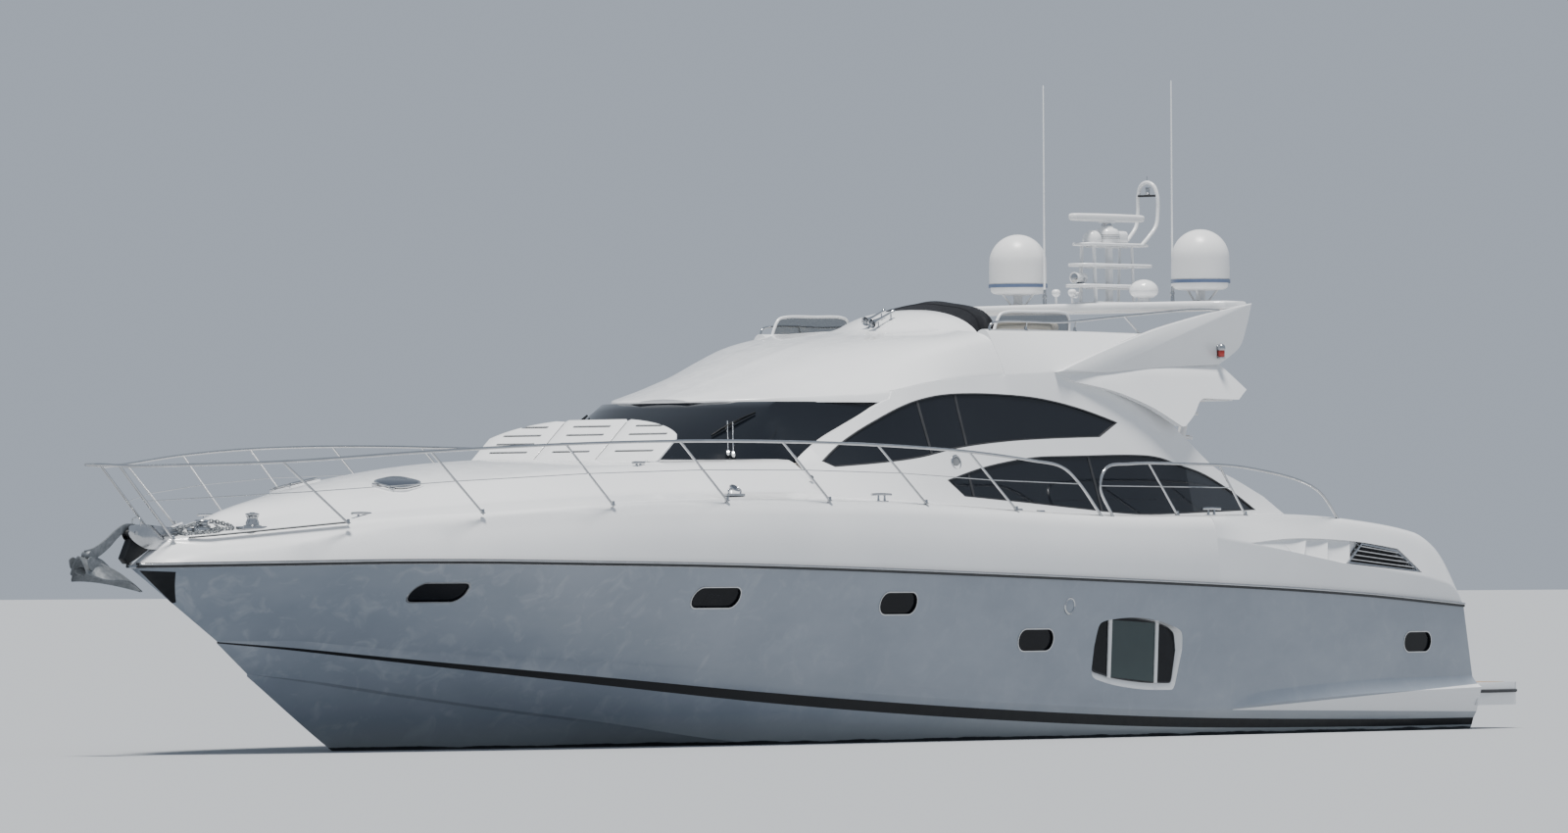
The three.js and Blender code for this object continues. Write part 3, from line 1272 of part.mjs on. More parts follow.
// Rails along the coamings, which end on the fins
const FLY_RAIL_LINE = [
  [-1660, 1590, 4440],
  [-1690, 1592, 4530],
  [-1850, 1594, 4566],
  [-2970, 1594, 4572],
  [-3820, 1600, 4632],
  [-4730, 1650, 4702],
  [-5250, 1770, 4742],
  [-5520, 1900, 4732],
];
const FLY_RAIL_POST = { x: -4480, headX: -4130 };
const flyPost = bar([[FLY_RAIL_POST.x, 1580, 4440], [FLY_RAIL_POST.headX, 1605, 4658]], 12);
const onFlySide = (body) => largest(cut(
  body,
  flySide,
  flySide.translate([0, 0, GAP]),
  flySide.translate([0, -GAP, 0]),
));
addPair('fly_rail', 'steel', onFlySide(join(bar(FLY_RAIL_LINE, RAIL_R, 6, 12), flyPost)));

// Stairs from the cockpit up through the hatchway
const STEPS = {
  footX: -4720, headX: -5690, inner: 800, outer: 1360, side: 36, tread: 240, thick: 40, count: 8,
};
const stairSide = prism(outline(
  [STEPS.footX, SOLE_Z + GAP],
  [STEPS.headX, FLY_SOLE_Z - 20],
  [STEPS.headX - 20, FLY_SOLE_Z - 20],
  [STEPS.headX - 20, FLY_SOLE_Z - 200],
  [STEPS.footX - 300, SOLE_Z + GAP],
), STEPS.inner, STEPS.inner + STEPS.side);
const otherSide = stairSide.clone().translate(0, STEPS.outer - STEPS.inner - STEPS.side, 0);
const treads = Array.from({ length: STEPS.count }, (_, i) => {
  const share = (i + 1) / (STEPS.count + 1);
  const x = STEPS.footX + (STEPS.headX - STEPS.footX) * share - 150;
  const z = SOLE_Z + (FLY_SOLE_Z - SOLE_Z) * share;
  return box(
    [x - STEPS.tread / 2, STEPS.inner + 5, z - STEPS.thick],
    [x + STEPS.tread / 2, STEPS.outer - 5, z],
  );
});
add('fly_stairs', 'gelcoat', join(stairSide, otherSide, ...treads));

// Bench in the cockpit
const BENCH = { aft: TRANSOM.front + GAP, front: -8150, half: 1250, seat: 1890, back: 2060 };
add('cockpit_bench', 'cushion', join(
  box([BENCH.aft, -BENCH.half, SOLE_Z + GAP], [BENCH.front, BENCH.half, BENCH.seat]),
  box([BENCH.aft, -BENCH.half, SOLE_Z + GAP], [BENCH.aft + 130, BENCH.half, BENCH.back]),
));

// Running gear under each side: shaft with its strut, propeller and rudder
const GEAR = { y: 1000, slope: 9.7, shaftR: 32, barrelR: 58, propR: 330, hubR: 62 };
const gearTurn = THREE.MathUtils.degToRad(GEAR.slope);
const PROP_X = -8680;
const PROP_Z = -951;

/** Point on the shaft's line, reach forward of the propeller. */
const onShaft = (reach) => [
  PROP_X + reach * Math.cos(gearTurn),
  GEAR.y,
  PROP_Z + reach * Math.sin(gearTurn),
];
const strut = prism(outline(
  [onShaft(150)[0], onShaft(150)[2]],
  [onShaft(330)[0], onShaft(330)[2]],
  [-8260, -480],
  [-8460, -480],
), GEAR.y - 18, GEAR.y + 18);
const shaftBody = join(
  bar([onShaft(90 + GAP), onShaft(2500)], GEAR.shaftR, 12),
  bar([onShaft(110), onShaft(350)], GEAR.barrelR, 12),
  strut,
);
addPair('shaft', 'steel', largest(cut(shaftBody, hullBody, hullBody.translate([0, 0, -GAP]))));

// Propeller: hub and four pitched blades, built about its own axis and then laid on the shaft's line
const BLADES = 4;
const bladeStations = [
  { r: 30, chord: 110, pitch: 36, thick: 26 },
  { r: 190, chord: 230, pitch: 36, thick: 18 },
  { r: GEAR.propR, chord: 130, pitch: 36, thick: 10 },
];
const blade = loft(bladeStations.map(({ r, chord, pitch, thick }) => {
  const turn = THREE.MathUtils.degToRad(pitch);
  const corners = [[-chord / 2, 0], [0, thick / 2], [chord / 2, 0], [0, -thick / 2]];
  return corners.map(([a, b]) => [
    a * Math.sin(turn) + b * Math.cos(turn),
    a * Math.cos(turn) - b * Math.sin(turn),
    r,
  ]);
}), 'z');
const hubProfile = [[0, -110], [46, -110], [GEAR.hubR, -90], [GEAR.hubR, 90], [0, 90]];
const hub = solid(turned(hubProfile, 0, 0, 12)).rotate([0, 90, 0]);
const FIRST_BLADE = 52;
const blades = Array.from({ length: BLADES }, (_, i) => solid(blade)
  .rotate([(i * 360) / BLADES + FIRST_BLADE, 0, 0]));
const propeller = join(hub, ...blades).rotate([0, -GEAR.slope, 0]).translate([PROP_X, GEAR.y, PROP_Z]);
addPair('propeller', 'bronze', propeller);

const RUDDER = {
  x: -9260, fore: 250, aft: 230, thick: 62, top: -640, low: -1330, stock: 36, stockTop: -540.4,
};
const rudderPlan = outline([RUDDER.fore, 0], [RUDDER.fore * 0.7, RUDDER.thick / 2], [0, RUDDER.thick / 2],
  [-RUDDER.aft, 5], [-RUDDER.aft, -5], [0, -RUDDER.thick / 2], [RUDDER.fore * 0.7, -RUDDER.thick / 2]);
const rudderBlade = slab(rudderPlan, RUDDER.low, RUDDER.top).translate(RUDDER.x, GEAR.y, 0);
const rudderStock = turned([
  [0, RUDDER.top - 30],
  [RUDDER.stock, RUDDER.top - 30],
  [RUDDER.stock, RUDDER.stockTop],
  [0, RUDDER.stockTop],
], RUDDER.x, GEAR.y, 12);
addPair('rudder', 'bronze', join(rudderBlade, rudderStock));

export default yacht;
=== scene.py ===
"""Looks of a flybridge motor yacht, afloat. Metres, +X forward, +Y port, +Z up, z = 0 at the water."""

import math

import bmesh
import bpy
from mathutils import Matrix, Vector, noise
from mathutils.geometry import delaunay_2d_cdt


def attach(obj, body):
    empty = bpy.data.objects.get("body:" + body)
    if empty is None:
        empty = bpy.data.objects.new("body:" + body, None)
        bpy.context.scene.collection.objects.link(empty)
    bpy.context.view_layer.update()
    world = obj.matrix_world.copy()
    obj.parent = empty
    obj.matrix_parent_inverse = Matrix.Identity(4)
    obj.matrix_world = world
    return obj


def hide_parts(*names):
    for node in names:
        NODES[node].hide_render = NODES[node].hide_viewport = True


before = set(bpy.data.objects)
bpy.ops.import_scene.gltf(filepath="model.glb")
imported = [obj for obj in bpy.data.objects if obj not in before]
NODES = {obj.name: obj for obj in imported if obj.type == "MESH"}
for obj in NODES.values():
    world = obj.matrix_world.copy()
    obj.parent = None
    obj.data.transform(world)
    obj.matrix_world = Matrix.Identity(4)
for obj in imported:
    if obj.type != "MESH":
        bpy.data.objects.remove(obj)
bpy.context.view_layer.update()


# Camera, floor and light

IMAGE_WIDTH = 1600
FOCAL = 12160.0  # pixels
SENSOR = 36.0  # mm
CAMERA_AT = Vector((102.216, 80.326, 1.70))
HEADING = math.radians(51.84 + 0.0116)
PITCH = math.radians(0.8085)
ROLL = math.radians(-0.38)


def add_object(name, data):
    """Object of a mesh, lamp or camera, linked to the scene."""
    piece = bpy.data.objects.new(name, data)
    bpy.context.scene.collection.objects.link(piece)
    return piece


def add_camera():
    """The camera of the photograph, from its place, heading and roll."""
    flat = math.cos(PITCH)
    look = Vector((-math.sin(HEADING) * flat, -math.cos(HEADING) * flat, math.sin(PITCH)))
    right = look.cross(Vector((0, 0, 1))).normalized()
    up = right.cross(look)
    rolled = right * math.cos(ROLL) + up * math.sin(ROLL), up * math.cos(ROLL) - right * math.sin(ROLL)
    data = bpy.data.cameras.new("camera")
    data.sensor_width = SENSOR
    data.lens = FOCAL / IMAGE_WIDTH * SENSOR
    data.clip_start = 1.0
    data.clip_end = 2000.0
    camera = add_object("camera", data)
    turn = Matrix((*rolled, -look)).transposed()
    camera.matrix_world = Matrix.Translation(CAMERA_AT) @ turn.to_4x4()
    bpy.context.scene.camera = camera


def add_sun(name, towards, strength, spread, colour):
    """Soft distant light. towards points from the boat to the light."""
    data = bpy.data.lights.new(name, "SUN")
    data.energy = strength
    data.angle = math.radians(spread)
    data.color = colour
    light = add_object(name, data)
    light.rotation_euler = (-Vector(towards)).to_track_quat("-Z", "Y").to_euler()


def add_stage():
    """Pale floor at the waterline, pale surroundings and soft light from above."""
    world = bpy.data.worlds.new("studio")
    bpy.context.scene.world = world
    world.use_nodes = True
    background = world.node_tree.nodes["Background"]
    background.inputs["Color"].default_value = (0.70, 0.79, 0.92, 1)
    background.inputs["Strength"].default_value = 0.57
    mesh = bpy.data.meshes.new("floor")
    reach = 3000
    corners = [(-reach, -reach, 0), (reach, -reach, 0), (reach, reach, 0), (-reach, reach, 0)]
    mesh.from_pydata(corners, [], [(0, 1, 2, 3)])
    floor = add_object("floor", mesh)
    paint = bpy.data.materials.new("floor")
    paint.use_nodes = True
    shader = paint.node_tree.nodes["Principled BSDF"]
    shader.inputs["Base Color"].default_value = (0.36, 0.375, 0.395, 1)
    shader.inputs["Roughness"].default_value = 0.8
    shader.inputs["Specular IOR Level"].default_value = 0.1
    mesh.materials.append(paint)
    add_sun("sun", (0.16, 0.10, 1.0), 6.0, 16, (1.0, 0.975, 0.93))


# Tables

def table(columns, *rows):
    """Rows with named columns."""
    return [dict(zip(columns.split(), row)) for row in rows]


STERN_X, STEM_X = -9.45, 10.80
SOLE_Z = 1.45
LEDGE_FADE = 0.4  # half breadth under which the ledge above the stripe fades towards the stem
EAVES_Z = 3.72
FLY_FRONT_X = -1.60
FLY_WELL_HALF = 1.44
HULL_AFT_X = -9.85
BUSTLE_AFT_X, BUSTLE_FORE_X = HULL_AFT_X + 0.05, 9.45

RAIL = table(
    "x y z",
    (-9.45, 2.45, 1.42), (-7.5, 2.54, 1.54), (-5.5, 2.61, 1.63), (-1.8, 2.67, 1.75), (1.7, 2.66, 1.85),
    (3.3, 2.60, 1.89), (4.8, 2.47, 1.92), (6.1, 2.25, 1.94), (7.3, 1.92, 1.96), (8.4, 1.50, 1.965),
    (9.4, 1.01, 1.955), (10.3, 0.43, 1.945), (10.8, 0, 1.94))
STRIPE = table(
    "x y z band",
    (-9.85, 2.30, 0.13, 0.08), (-7.77, 2.35, 0.14, 0.085), (-3.93, 2.42, 0.21, 0.11),
    (-0.45, 2.35, 0.35, 0.115), (2.65, 2.09, 0.54, 0.11), (5.31, 1.57, 0.76, 0.08), (7.59, 0.81, 0.97, 0.04),
    (8.63, 0.36, 1.08, 0.025), (9.42, 0, 1.15, 0.015))
CHINE = table(
    "x y z",
    (-9.85, 2.10, -0.22), (-4.0, 2.16, -0.21), (-1.0, 2.08, -0.16), (1.5, 1.89, -0.08), (3.12, 1.66, 0.02),
    (4.94, 1.26, 0.26), (6.15, 0.93, 0.41), (7.31, 0.57, 0.57), (8.43, 0.19, 0.74), (8.95, 0, 0.815))
KEEL = table(
    "x z",
    (-9.85, -0.80), (-6.0, -0.92), (0, -1.02), (3.0, -1.00), (5.2, -0.83), (6.6, -0.47), (7.6, 0),
    (8.95, 0.79))
BUSTLE = table(
    "x top out low",
    (-9.8, 0.61, 0.11, 0.48), (-7.56, 0.58, 0.085, 0.43), (-5.67, 0.50, 0.045, 0.35), (-4.4, 0.42, 0, 0.29),
    (9.3, 1.18, 0, 1.165))
DECK = table(
    "x edgeY edgeZ deckY deckZ trunkY trunkZ crown",
    (-4.5, 2.56, 2.43, 2.35, 2.44, 2.00, 2.44, 2.44), (-2.5, 2.58, 2.44, 2.36, 2.45, 2.00, 2.45, 2.45),
    (-0.9, 2.58, 2.49, 2.36, 2.51, 2.00, 2.51, 2.51), (0.7, 2.57, 2.56, 2.35, 2.59, 1.99, 2.59, 2.59),
    (1.88, 2.555, 2.585, 2.20, 2.63, 1.98, 2.64, 2.64), (1.92, 2.555, 2.585, 2.13, 2.65, 1.64, 3.05, 3.06),
    (2.95, 2.52, 2.59, 2.08, 2.68, 1.60, 3.02, 3.05), (4.0, 2.45, 2.585, 1.98, 2.68, 1.52, 2.99, 3.05),
    (5.6, 2.23, 2.54, 1.77, 2.64, 1.33, 2.90, 3.02), (7.2, 1.78, 2.46, 1.37, 2.55, 0.99, 2.73, 2.86),
    (8.3, 1.34, 2.395, 1.00, 2.46, 0.68, 2.56, 2.69), (9.2, 0.87, 2.31, 0.60, 2.36, 0.36, 2.41, 2.52),
    (10.0, 0.34, 2.225, 0.23, 2.24, 0.12, 2.25, 2.265), (10.3, 0, 2.195, 0, 2.20, 0, 2.205, 2.21))
QUARTER = table(
    "x hipY hipZ topY topZ",
    (-9.445, 2.44, 1.45, 2.33, 1.49), (-9.33, 2.46, 1.56, 2.33, 1.73), (-9.15, 2.48, 1.65, 2.33, 1.97),
    (-8.95, 2.49, 1.69, 2.33, 2.13), (-8.63, 2.51, 1.74, 2.33, 2.26), (-7.5, 2.55, 1.86, 2.35, 2.39),
    (-6.35, 2.59, 2.00, 2.37, 2.45), (-5.2, 2.60, 2.12, 2.41, 2.45), (-4.5, 2.592, 2.19, 2.49, 2.435))
SIDE_Z = 2.62
SIDE = table(
    "x y lean",
    (-6.7, 2.12, 0.2), (-4.0, 2.19, 0.22), (-2.0, 2.19, 0.24), (-1.0, 2.18, 0.28), (0, 2.17, 0.36),
    (0.6, 2.16, 0.48), (1.4, 2.14, 0.75), (2.2, 2.10, 1.05))
FLY = table(
    "x crease flare topY topZ",
    (-5.88, 4.19, 0.16, 1.62, 4.47), (-4.44, 4.17, 0.16, 1.62, 4.47), (-3.34, 4.11, 0.12, 1.61, 4.48),
    (-2.4, 4.01, 0.02, 1.59, 4.49), (-1.6, 3.965, 0, 1.60, 4.48))
COWL = table(
    "x edgeY browY browZ shoulderY shoulderZ crown",
    (-1.6, 1.895, 1.846, 3.965, 1.61, 4.45, 4.50), (-0.9, 1.868, 1.815, 3.93, 1.56, 4.33, 4.42),
    (-0.3, 1.812, 1.770, 3.87, 1.43, 4.17, 4.32), (0.25, 1.735, 1.700, 3.78, 1.28, 4.02, 4.19),
    (0.9, 1.52, 1.50, 3.735, 1.06, 3.89, 4.01), (1.5, 1.18, 1.165, 3.71, 0.78, 3.79, 3.85),
    (1.9, 0.76, 0.75, 3.69, 0.48, 3.72, 3.75), (2.06, 0.33, 0.325, 3.68, 0.20, 3.695, 3.705))
COWL_UNDER = 3.662
HELM_Y = 0.20  # the upper helm stands to port of the centreline
HOOD = table(
    "x half top foot",
    (-2.05, 1.0, 4.722, 4.30), (-1.85, 0.96, 4.70, 4.30), (-1.55, 0.86, 4.61, 4.25),
    (-1.25, 0.70, 4.495, 4.20), (-1.0, 0.48, 4.40, 4.20))


def at(rows, key, x):
    """Smooth value of one column of a table at station x."""
    i = next((n for n, row in enumerate(rows) if row["x"] >= x), len(rows) - 1)
    i = max(i, 1)
    a, b = rows[i - 1], rows[i]
    before, after = rows[max(i - 2, 0)], rows[min(i + 1, len(rows) - 1)]
    span = b["x"] - a["x"]
    t = min(max((x - a["x"]) / span, 0.0), 1.0)
    start = (b[key] - before[key]) / (b["x"] - before["x"]) * span
    end = (after[key] - a[key]) / (after["x"] - a["x"]) * span
    t2, t3 = t * t, t * t * t
    leaving = (2 * t3 - 3 * t2 + 1) * a[key] + (t3 - 2 * t2 + t) * start
    return leaving + (3 * t2 - 2 * t3) * b[key] + (t3 - t2) * end


def steps(a, b, count):
    """Evenly spaced values from a to b, both included."""
    return [a + (b - a) * i / (count - 1) for i in range(count)]


def smooth(value, low, high):
    """Smooth rise from 0 at low to 1 at high."""
    t = min(max((value - low) / (high - low), 0.0), 1.0)
    return t * t * (3 - 2 * t)


def side_y(x, z):
    """Half breadth of the house side."""
    return at(SIDE, "y", x) - at(SIDE, "lean", x) * (z - SIDE_Z)


# Mesh tools

SAME_SPOT = 1e-5  # points nearer than this become one


def vectors(*points):
    """Points as vectors."""
    return [Vector(p) for p in points]


def circle(count):
    """Evenly spread angles of a full turn."""
    return [2 * math.pi * n / count for n in range(count)]


def make(name, points, faces, finish=None, sharp=30.0, index=None):
    """Object from points and faces, smooth but for edges over the sharp angle."""
    mesh = bpy.data.meshes.new(name)
    mesh.from_pydata([tuple(p) for p in points], [], faces)
    if index:
        mesh.polygons.foreach_set("material_index", index)
    mesh.validate()
    piece = add_object(name, mesh)
    for one in finish if isinstance(finish, list) else [finish]:
        if one:
            mesh.materials.append(one)
    clean(piece, sharp)
    return piece


def clean(piece, sharp=30.0):
    """Merges doubles, turns faces outward and shades smooth."""
    work = bmesh.new()
    work.from_mesh(piece.data)
    bmesh.ops.remove_doubles(work, verts=work.verts, dist=SAME_SPOT)
    bmesh.ops.recalc_face_normals(work, faces=work.faces)
    work.to_mesh(piece.data)
    work.free()
    shade(piece, sharp)


def shade(piece, sharp=30.0):
    """Smooth shading with sharp edges over an angle in degrees."""
    for face in piece.data.polygons:
        face.use_smooth = True
    if hasattr(piece.data, "set_sharp_from_angle"):
        piece.data.set_sharp_from_angle(angle=math.radians(sharp))


def apply_modifiers(piece):
    """Replaces a piece's mesh by what its modifiers make of it."""
    graph = bpy.context.evaluated_depsgraph_get()
    graph.update()
    mesh = bpy.data.meshes.new_from_object(piece.evaluated_get(graph))
    old = piece.data
    piece.modifiers.clear()
    piece.data = mesh
    bpy.data.meshes.remove(old)


def drop(piece):
    """Deletes a helper object and its mesh."""
    mesh = piece.data
    bpy.data.objects.remove(piece)
    bpy.data.meshes.remove(mesh)


def modify(piece, kind, **values):
    """Adds a modifier with the given settings."""
    modifier = piece.modifiers.new(kind.lower(), kind)
    for key, value in values.items():
        setattr(modifier, key, value)


def cut(piece, *cutters, sharp=30.0):
    """Cuts closed pieces out of a piece. The cutters are used up."""
    for cutter in cutters:
        modify(piece, "BOOLEAN", operation="DIFFERENCE", solver="MANIFOLD", object=cutter)
    apply_modifiers(piece)
    for cutter in cutters:
        drop(cutter)
    shade(piece, sharp)


def thicken(piece, thickness):
    """Gives an open skin a thickness, outward to inward."""
    modify(piece, "SOLIDIFY", thickness=thickness, offset=-1)
    apply_modifiers(piece)


def bevel(piece, width, segments=2):
    """Rounds a piece's sharp edges."""
    sharp = 35.0
    modify(piece, "BEVEL", width=width, segments=segments, limit_method="ANGLE",
           angle_limit=math.radians(sharp), use_clamp_overlap=True)
    apply_modifiers(piece)
    shade(piece, sharp)
    return piece


def duplicate(piece, name):
    """Copy of a piece with a mesh of its own."""
    return add_object(name, piece.data.copy())


def flip(piece):
    """Moves a piece to the other side of the boat."""
    piece.data.transform(Matrix.Diagonal((1, -1, 1, 1)))
    piece.data.flip_normals()
    return piece


def mirror(piece, name):
    """Copy on the other side of the boat."""
    return flip(duplicate(piece, name))


def merge(name, pieces):
    """One object out of several, each keeping its materials."""
    target = pieces[0]
    with bpy.context.temp_override(active_object=target, selected_editable_objects=pieces,
                                   selected_objects=pieces):
        if len(pieces) > 1:
            bpy.ops.object.join()
    target.name = name
    return target


def loft(name, rings, finish=None, sharp=30.0, caps=True, closed=True, bands=None):
    """Skin over equal rings. bands gives a material index for each place on the ring."""
    count = len(rings[0])
    points = [p for ring in rings for p in ring]
    faces = []
    index = []
    for r in range(len(rings) - 1):
        for j in range(count if closed else count - 1):
            k = (j + 1) % count
            faces.append((r * count + j, r * count + k, (r + 1) * count + k, (r + 1) * count + j))
            index.append(bands[j] if bands else 0)
    for r in (0, len(rings) - 1):
        different = len({tuple(round(c, 5) for c in p) for p in rings[r]})
        if caps and closed and different > 0.7 * count:
            faces.append(tuple(r * count + j for j in range(count)))
            index.append(0)
    return make(name, points, faces, finish, sharp, index)


def fillet(points, radii, count=4):
    """Open polyline with each inner corner rounded to about its radius. Radius 0 keeps the corner."""
    result = [Vector(points[0])]
    for i in range(1, len(points) - 1):
        before, here, after = (Vector(points[n]) for n in (i - 1, i, i + 1))
        radius = radii[i - 1]
        if radius <= 0:
            result.append(here)
            continue
        back, ahead = before - here, after - here
        reach_back = min(radius, back.length * 0.48)
        reach_ahead = min(radius, ahead.length * 0.48)
        a = here + back.normalized() * reach_back
        b = here + ahead.normalized() * reach_ahead
        for n in range(count + 1):
            t = n / count
            result.append(a * (1 - t) ** 2 + here * 2 * t * (1 - t) + b * t * t)
    result.append(Vector(points[-1]))
    return result


def both_sides(half, centre=-1):
    """Closed ring from its port half, whose first (0) or last (-1) point lies on the centreline."""
    port = [Vector(p) for p in half]
    doubled = port[1:] if centre == 0 else port[:-1]
    return port + [Vector((p.x, -p.y, p.z)) for p in reversed(doubled)]


def box_piece(name, low, high, finish=None):
    """Plain block, for cutting or as the start of a piece."""
    (a, b, c), (d, e, f) = low, high
    points = [(a, b, c), (d, b, c), (d, e, c), (a, e, c), (a, b, f), (d, b, f), (d, e, f), (a, e, f)]
    faces = [(0, 3, 2, 1), (4, 5, 6, 7), (0, 1, 5, 4), (1, 2, 6, 5), (2, 3, 7, 6), (3, 0, 4, 7)]
    return make(name, points, faces, finish)


def catmull(points, count, even=False):
    """Points along a smooth curve through the given points. even spaces its knots by distance."""
    points = [Vector(p) for p in points]
    first = points[0] * 2 - points[1] if even else points[0]
    last = points[-1] * 2 - points[-2] if even else points[-1]
    through = [first, *points, last]
    result = [points[0]]
    for i in range(1, len(through) - 2):
        p0, p1, p2, p3 = through[i - 1:i + 3]
        d0, d1, d2 = ((q - p).length ** 0.5 if even else 1.0 for p, q in ((p0, p1), (p1, p2), (p2, p3)))
        if even:
            v0 = ((p1 - p0) / d0 - (p2 - p0) / (d0 + d1) + (p2 - p1) / d1) * d1
            v1 = ((p2 - p1) / d1 - (p3 - p1) / (d1 + d2) + (p3 - p2) / d2) * d1
        else:
            v0, v1 = (p2 - p0) * 0.5, (p3 - p1) * 0.5
        for n in range(1, count + 1):
            t = n / count
            result.append((2 * p1 - 2 * p2 + v0 + v1) * t ** 3 + (-3 * p1 + 3 * p2 - 2 * v0 - v1) * t ** 2
                          + v0 * t + p1)
    return result


def outline(*parts, count=8):
    """Closed outline through corners, and through smooth stretches given as lists."""
    points = [Vector(parts[0])]
    for part in parts[1:]:
        if isinstance(part, list):
            points += catmull([points[-1], *[Vector(p) for p in part]], count)[1:]
        else:
            points.append(Vector(part))
    if (points[0] - points[-1]).length < 1e-6:
        points.pop()
    return points


def resample(points, spacing):
    """Closed outline with its long edges divided."""
    result = []
    for i, p in enumerate(points):
        q = points[(i + 1) % len(points)]
        count = max(1, math.ceil((q - p).length / spacing))
        result += [p.lerp(q, n / count) for n in range(count)]
    return result


def area_of(points):
    """Signed area of a closed outline."""
    return sum(p.x * q.y - q.x * p.y for p, q in zip(points, points[1:] + points[:1])) / 2


def offset(points, distance):
    """Outline moved inward by a distance, outward when it is negative."""
    turn = math.copysign(1, area_of(points))
    result = []
    for i, p in enumerate(points):
        a = (p - points[i - 1]).normalized()
        b = (points[(i + 1) % len(points)] - p).normalized()
        normal = Vector((-(a.y + b.y), a.x + b.x))
        normal = normal.normalized() * turn if normal.length > 1e-6 else Vector((-a.y, a.x)) * turn
        lean = max(0.35, normal.dot(Vector((-a.y, a.x)) * turn))
        result.append(p + normal * (distance / lean))
    return result


def span_at(points, x):
    """Lowest and highest crossing of a closed outline at station x, or None."""
    heights = []
    for i, p in enumerate(points):
        q = points[i - 1]
        if (p.x - x) * (q.x - x) <= 0 and abs(p.x - q.x) > 1e-9:
            heights.append(p.y + (q.y - p.y) * (x - p.x) / (q.x - p.x))
    return (min(heights), max(heights)) if heights else None


def inside(point, points):
    """True when a point lies within a closed outline."""
    found = False
    for i, p in enumerate(points):
        q = points[i - 1]
        if (p.y > point[1]) != (q.y > point[1]):
            if point[0] < (q.x - p.x) * (point[1] - p.y) / (q.y - p.y) + p.x:
                found = not found
    return found


def distance_to(point, points):
    """Shortest distance from a point to a closed outline."""
    best = 1e9
    point = Vector(point)
    for i, p in enumerate(points):
        q = points[i - 1]
        edge = q - p
        t = min(max((point - p).dot(edge) / max(edge.length_squared, 1e-12), 0), 1)
        best = min(best, (p + edge * t - point).length)
    return best


def sheet(name, outer, surface, thick, finish, holes=(), spacing=0.16, edge=0.08, sharp=40.0):
    """Plate with holes, drawn in the x-z plane, bent onto y = surface(x, z) and thick inward."""
    rims = [resample(ring, edge) for ring in [outer, *holes]]
    coords, edges = [], []
    for ring in rims:
        start = len(coords)
        coords += ring
        edges += [(start + i, start + (i + 1) % len(ring)) for i in range(len(ring))]
    low_x, high_x = min(p.x for p in rims[0]), max(p.x for p in rims[0])
    low_z, high_z = min(p.y for p in rims[0]), max(p.y for p in rims[0])
    rows = int((high_z - low_z) / spacing) + 1
    columns = int((high_x - low_x) / spacing) + 1
    for i in range(columns):
        for j in range(rows):
            point = Vector((low_x + (i + 0.5 * (j % 2) + 0.25) * spacing, low_z + (j + 0.5) * spacing))
            if not inside(point, rims[0]) or any(inside(point, ring) for ring in rims[1:]):
                continue
            if all(distance_to(point, ring) > spacing * 0.35 for ring in rims):
                coords.append(point)
    verts, _, faces, *_ = delaunay_2d_cdt(coords, edges, [], 0, 1e-6)
    kept = []
    for face in faces:
        middle = sum((verts[i] for i in face), Vector((0, 0))) / len(face)
        if inside(middle, rims[0]) and not any(inside(middle, ring) for ring in rims[1:]):
            kept.append(tuple(face))
    front = [(v.x, surface(v.x, v.y), v.y) for v in verts]
    back = [(x, y - thick, z) for x, y, z in front]
    count = len(front)
    solid = list(kept) + [tuple(i + count for i in reversed(face)) for face in kept]
    borders = dict.fromkeys(side for face in kept for side in zip(face, face[1:] + face[:1]))
    for a, b in borders:
        if (b, a) not in borders:
            solid.append((b, a, a + count, b + count))
    return make(name, front + back, solid, finish, sharp)


def strip(name, ring, surface, width, lift, finish):
    """Flat band that follows an outline on a surface, width inward from it, raised by lift."""
    rows = []
    for p, q in zip(ring, offset(ring, width)):
        spots = ((p, -0.004), (p, lift), (q, lift), (q, -0.004))
        rows.append([(r.x, surface(r.x, r.y) + height, r.y) for r, height in spots])
    return loft(name, rows + [rows[0]], finish, 40, caps=False)


def tube(name, points, radius, finish=None, sides=10, smooth_count=6, straight=False):
    """Round bar along a smooth path, closed at both ends."""
    path = [Vector(p) for p in points]
    if not straight and len(points) > 2:
        path = catmull(points, smooth_count, True)
    rings = []
    frame_up = None
    for i, p in enumerate(path):
        ahead = (path[min(i + 1, len(path) - 1)] - path[max(i - 1, 0)]).normalized()
        if frame_up is None:
            guess = Vector((0, 0, 1)) if abs(ahead.z) < 0.9 else Vector((1, 0, 0))
            frame_up = (guess - ahead * guess.dot(ahead)).normalized()
        frame_up = (frame_up - ahead * frame_up.dot(ahead)).normalized()
        across = ahead.cross(frame_up)
        rings.append([p + frame_up * (radius * math.cos(a)) + across * (radius * math.sin(a))
                      for a in circle(sides)])
    return loft(name, rings, finish, 50)


def stand(piece, centre, axis):
    """Moves a piece built upright at the origin to a place, its height along an axis."""
    turn = Vector((0, 0, 1)).rotation_difference(Vector(axis)).to_matrix().to_4x4()
    piece.data.transform(Matrix.Translation(centre) @ turn)
    return piece


def turned(name, profile, centre, finish=None, sides=32, sharp=35.0, axis=(0, 0, 1)):
    """Body of revolution about an axis through centre, from (radius, height) pairs."""
    rings = [[(r * math.cos(a), r * math.sin(a), h) for a in circle(sides)] for r, h in profile]
    return stand(loft(name, rings, finish, sharp), centre, axis)


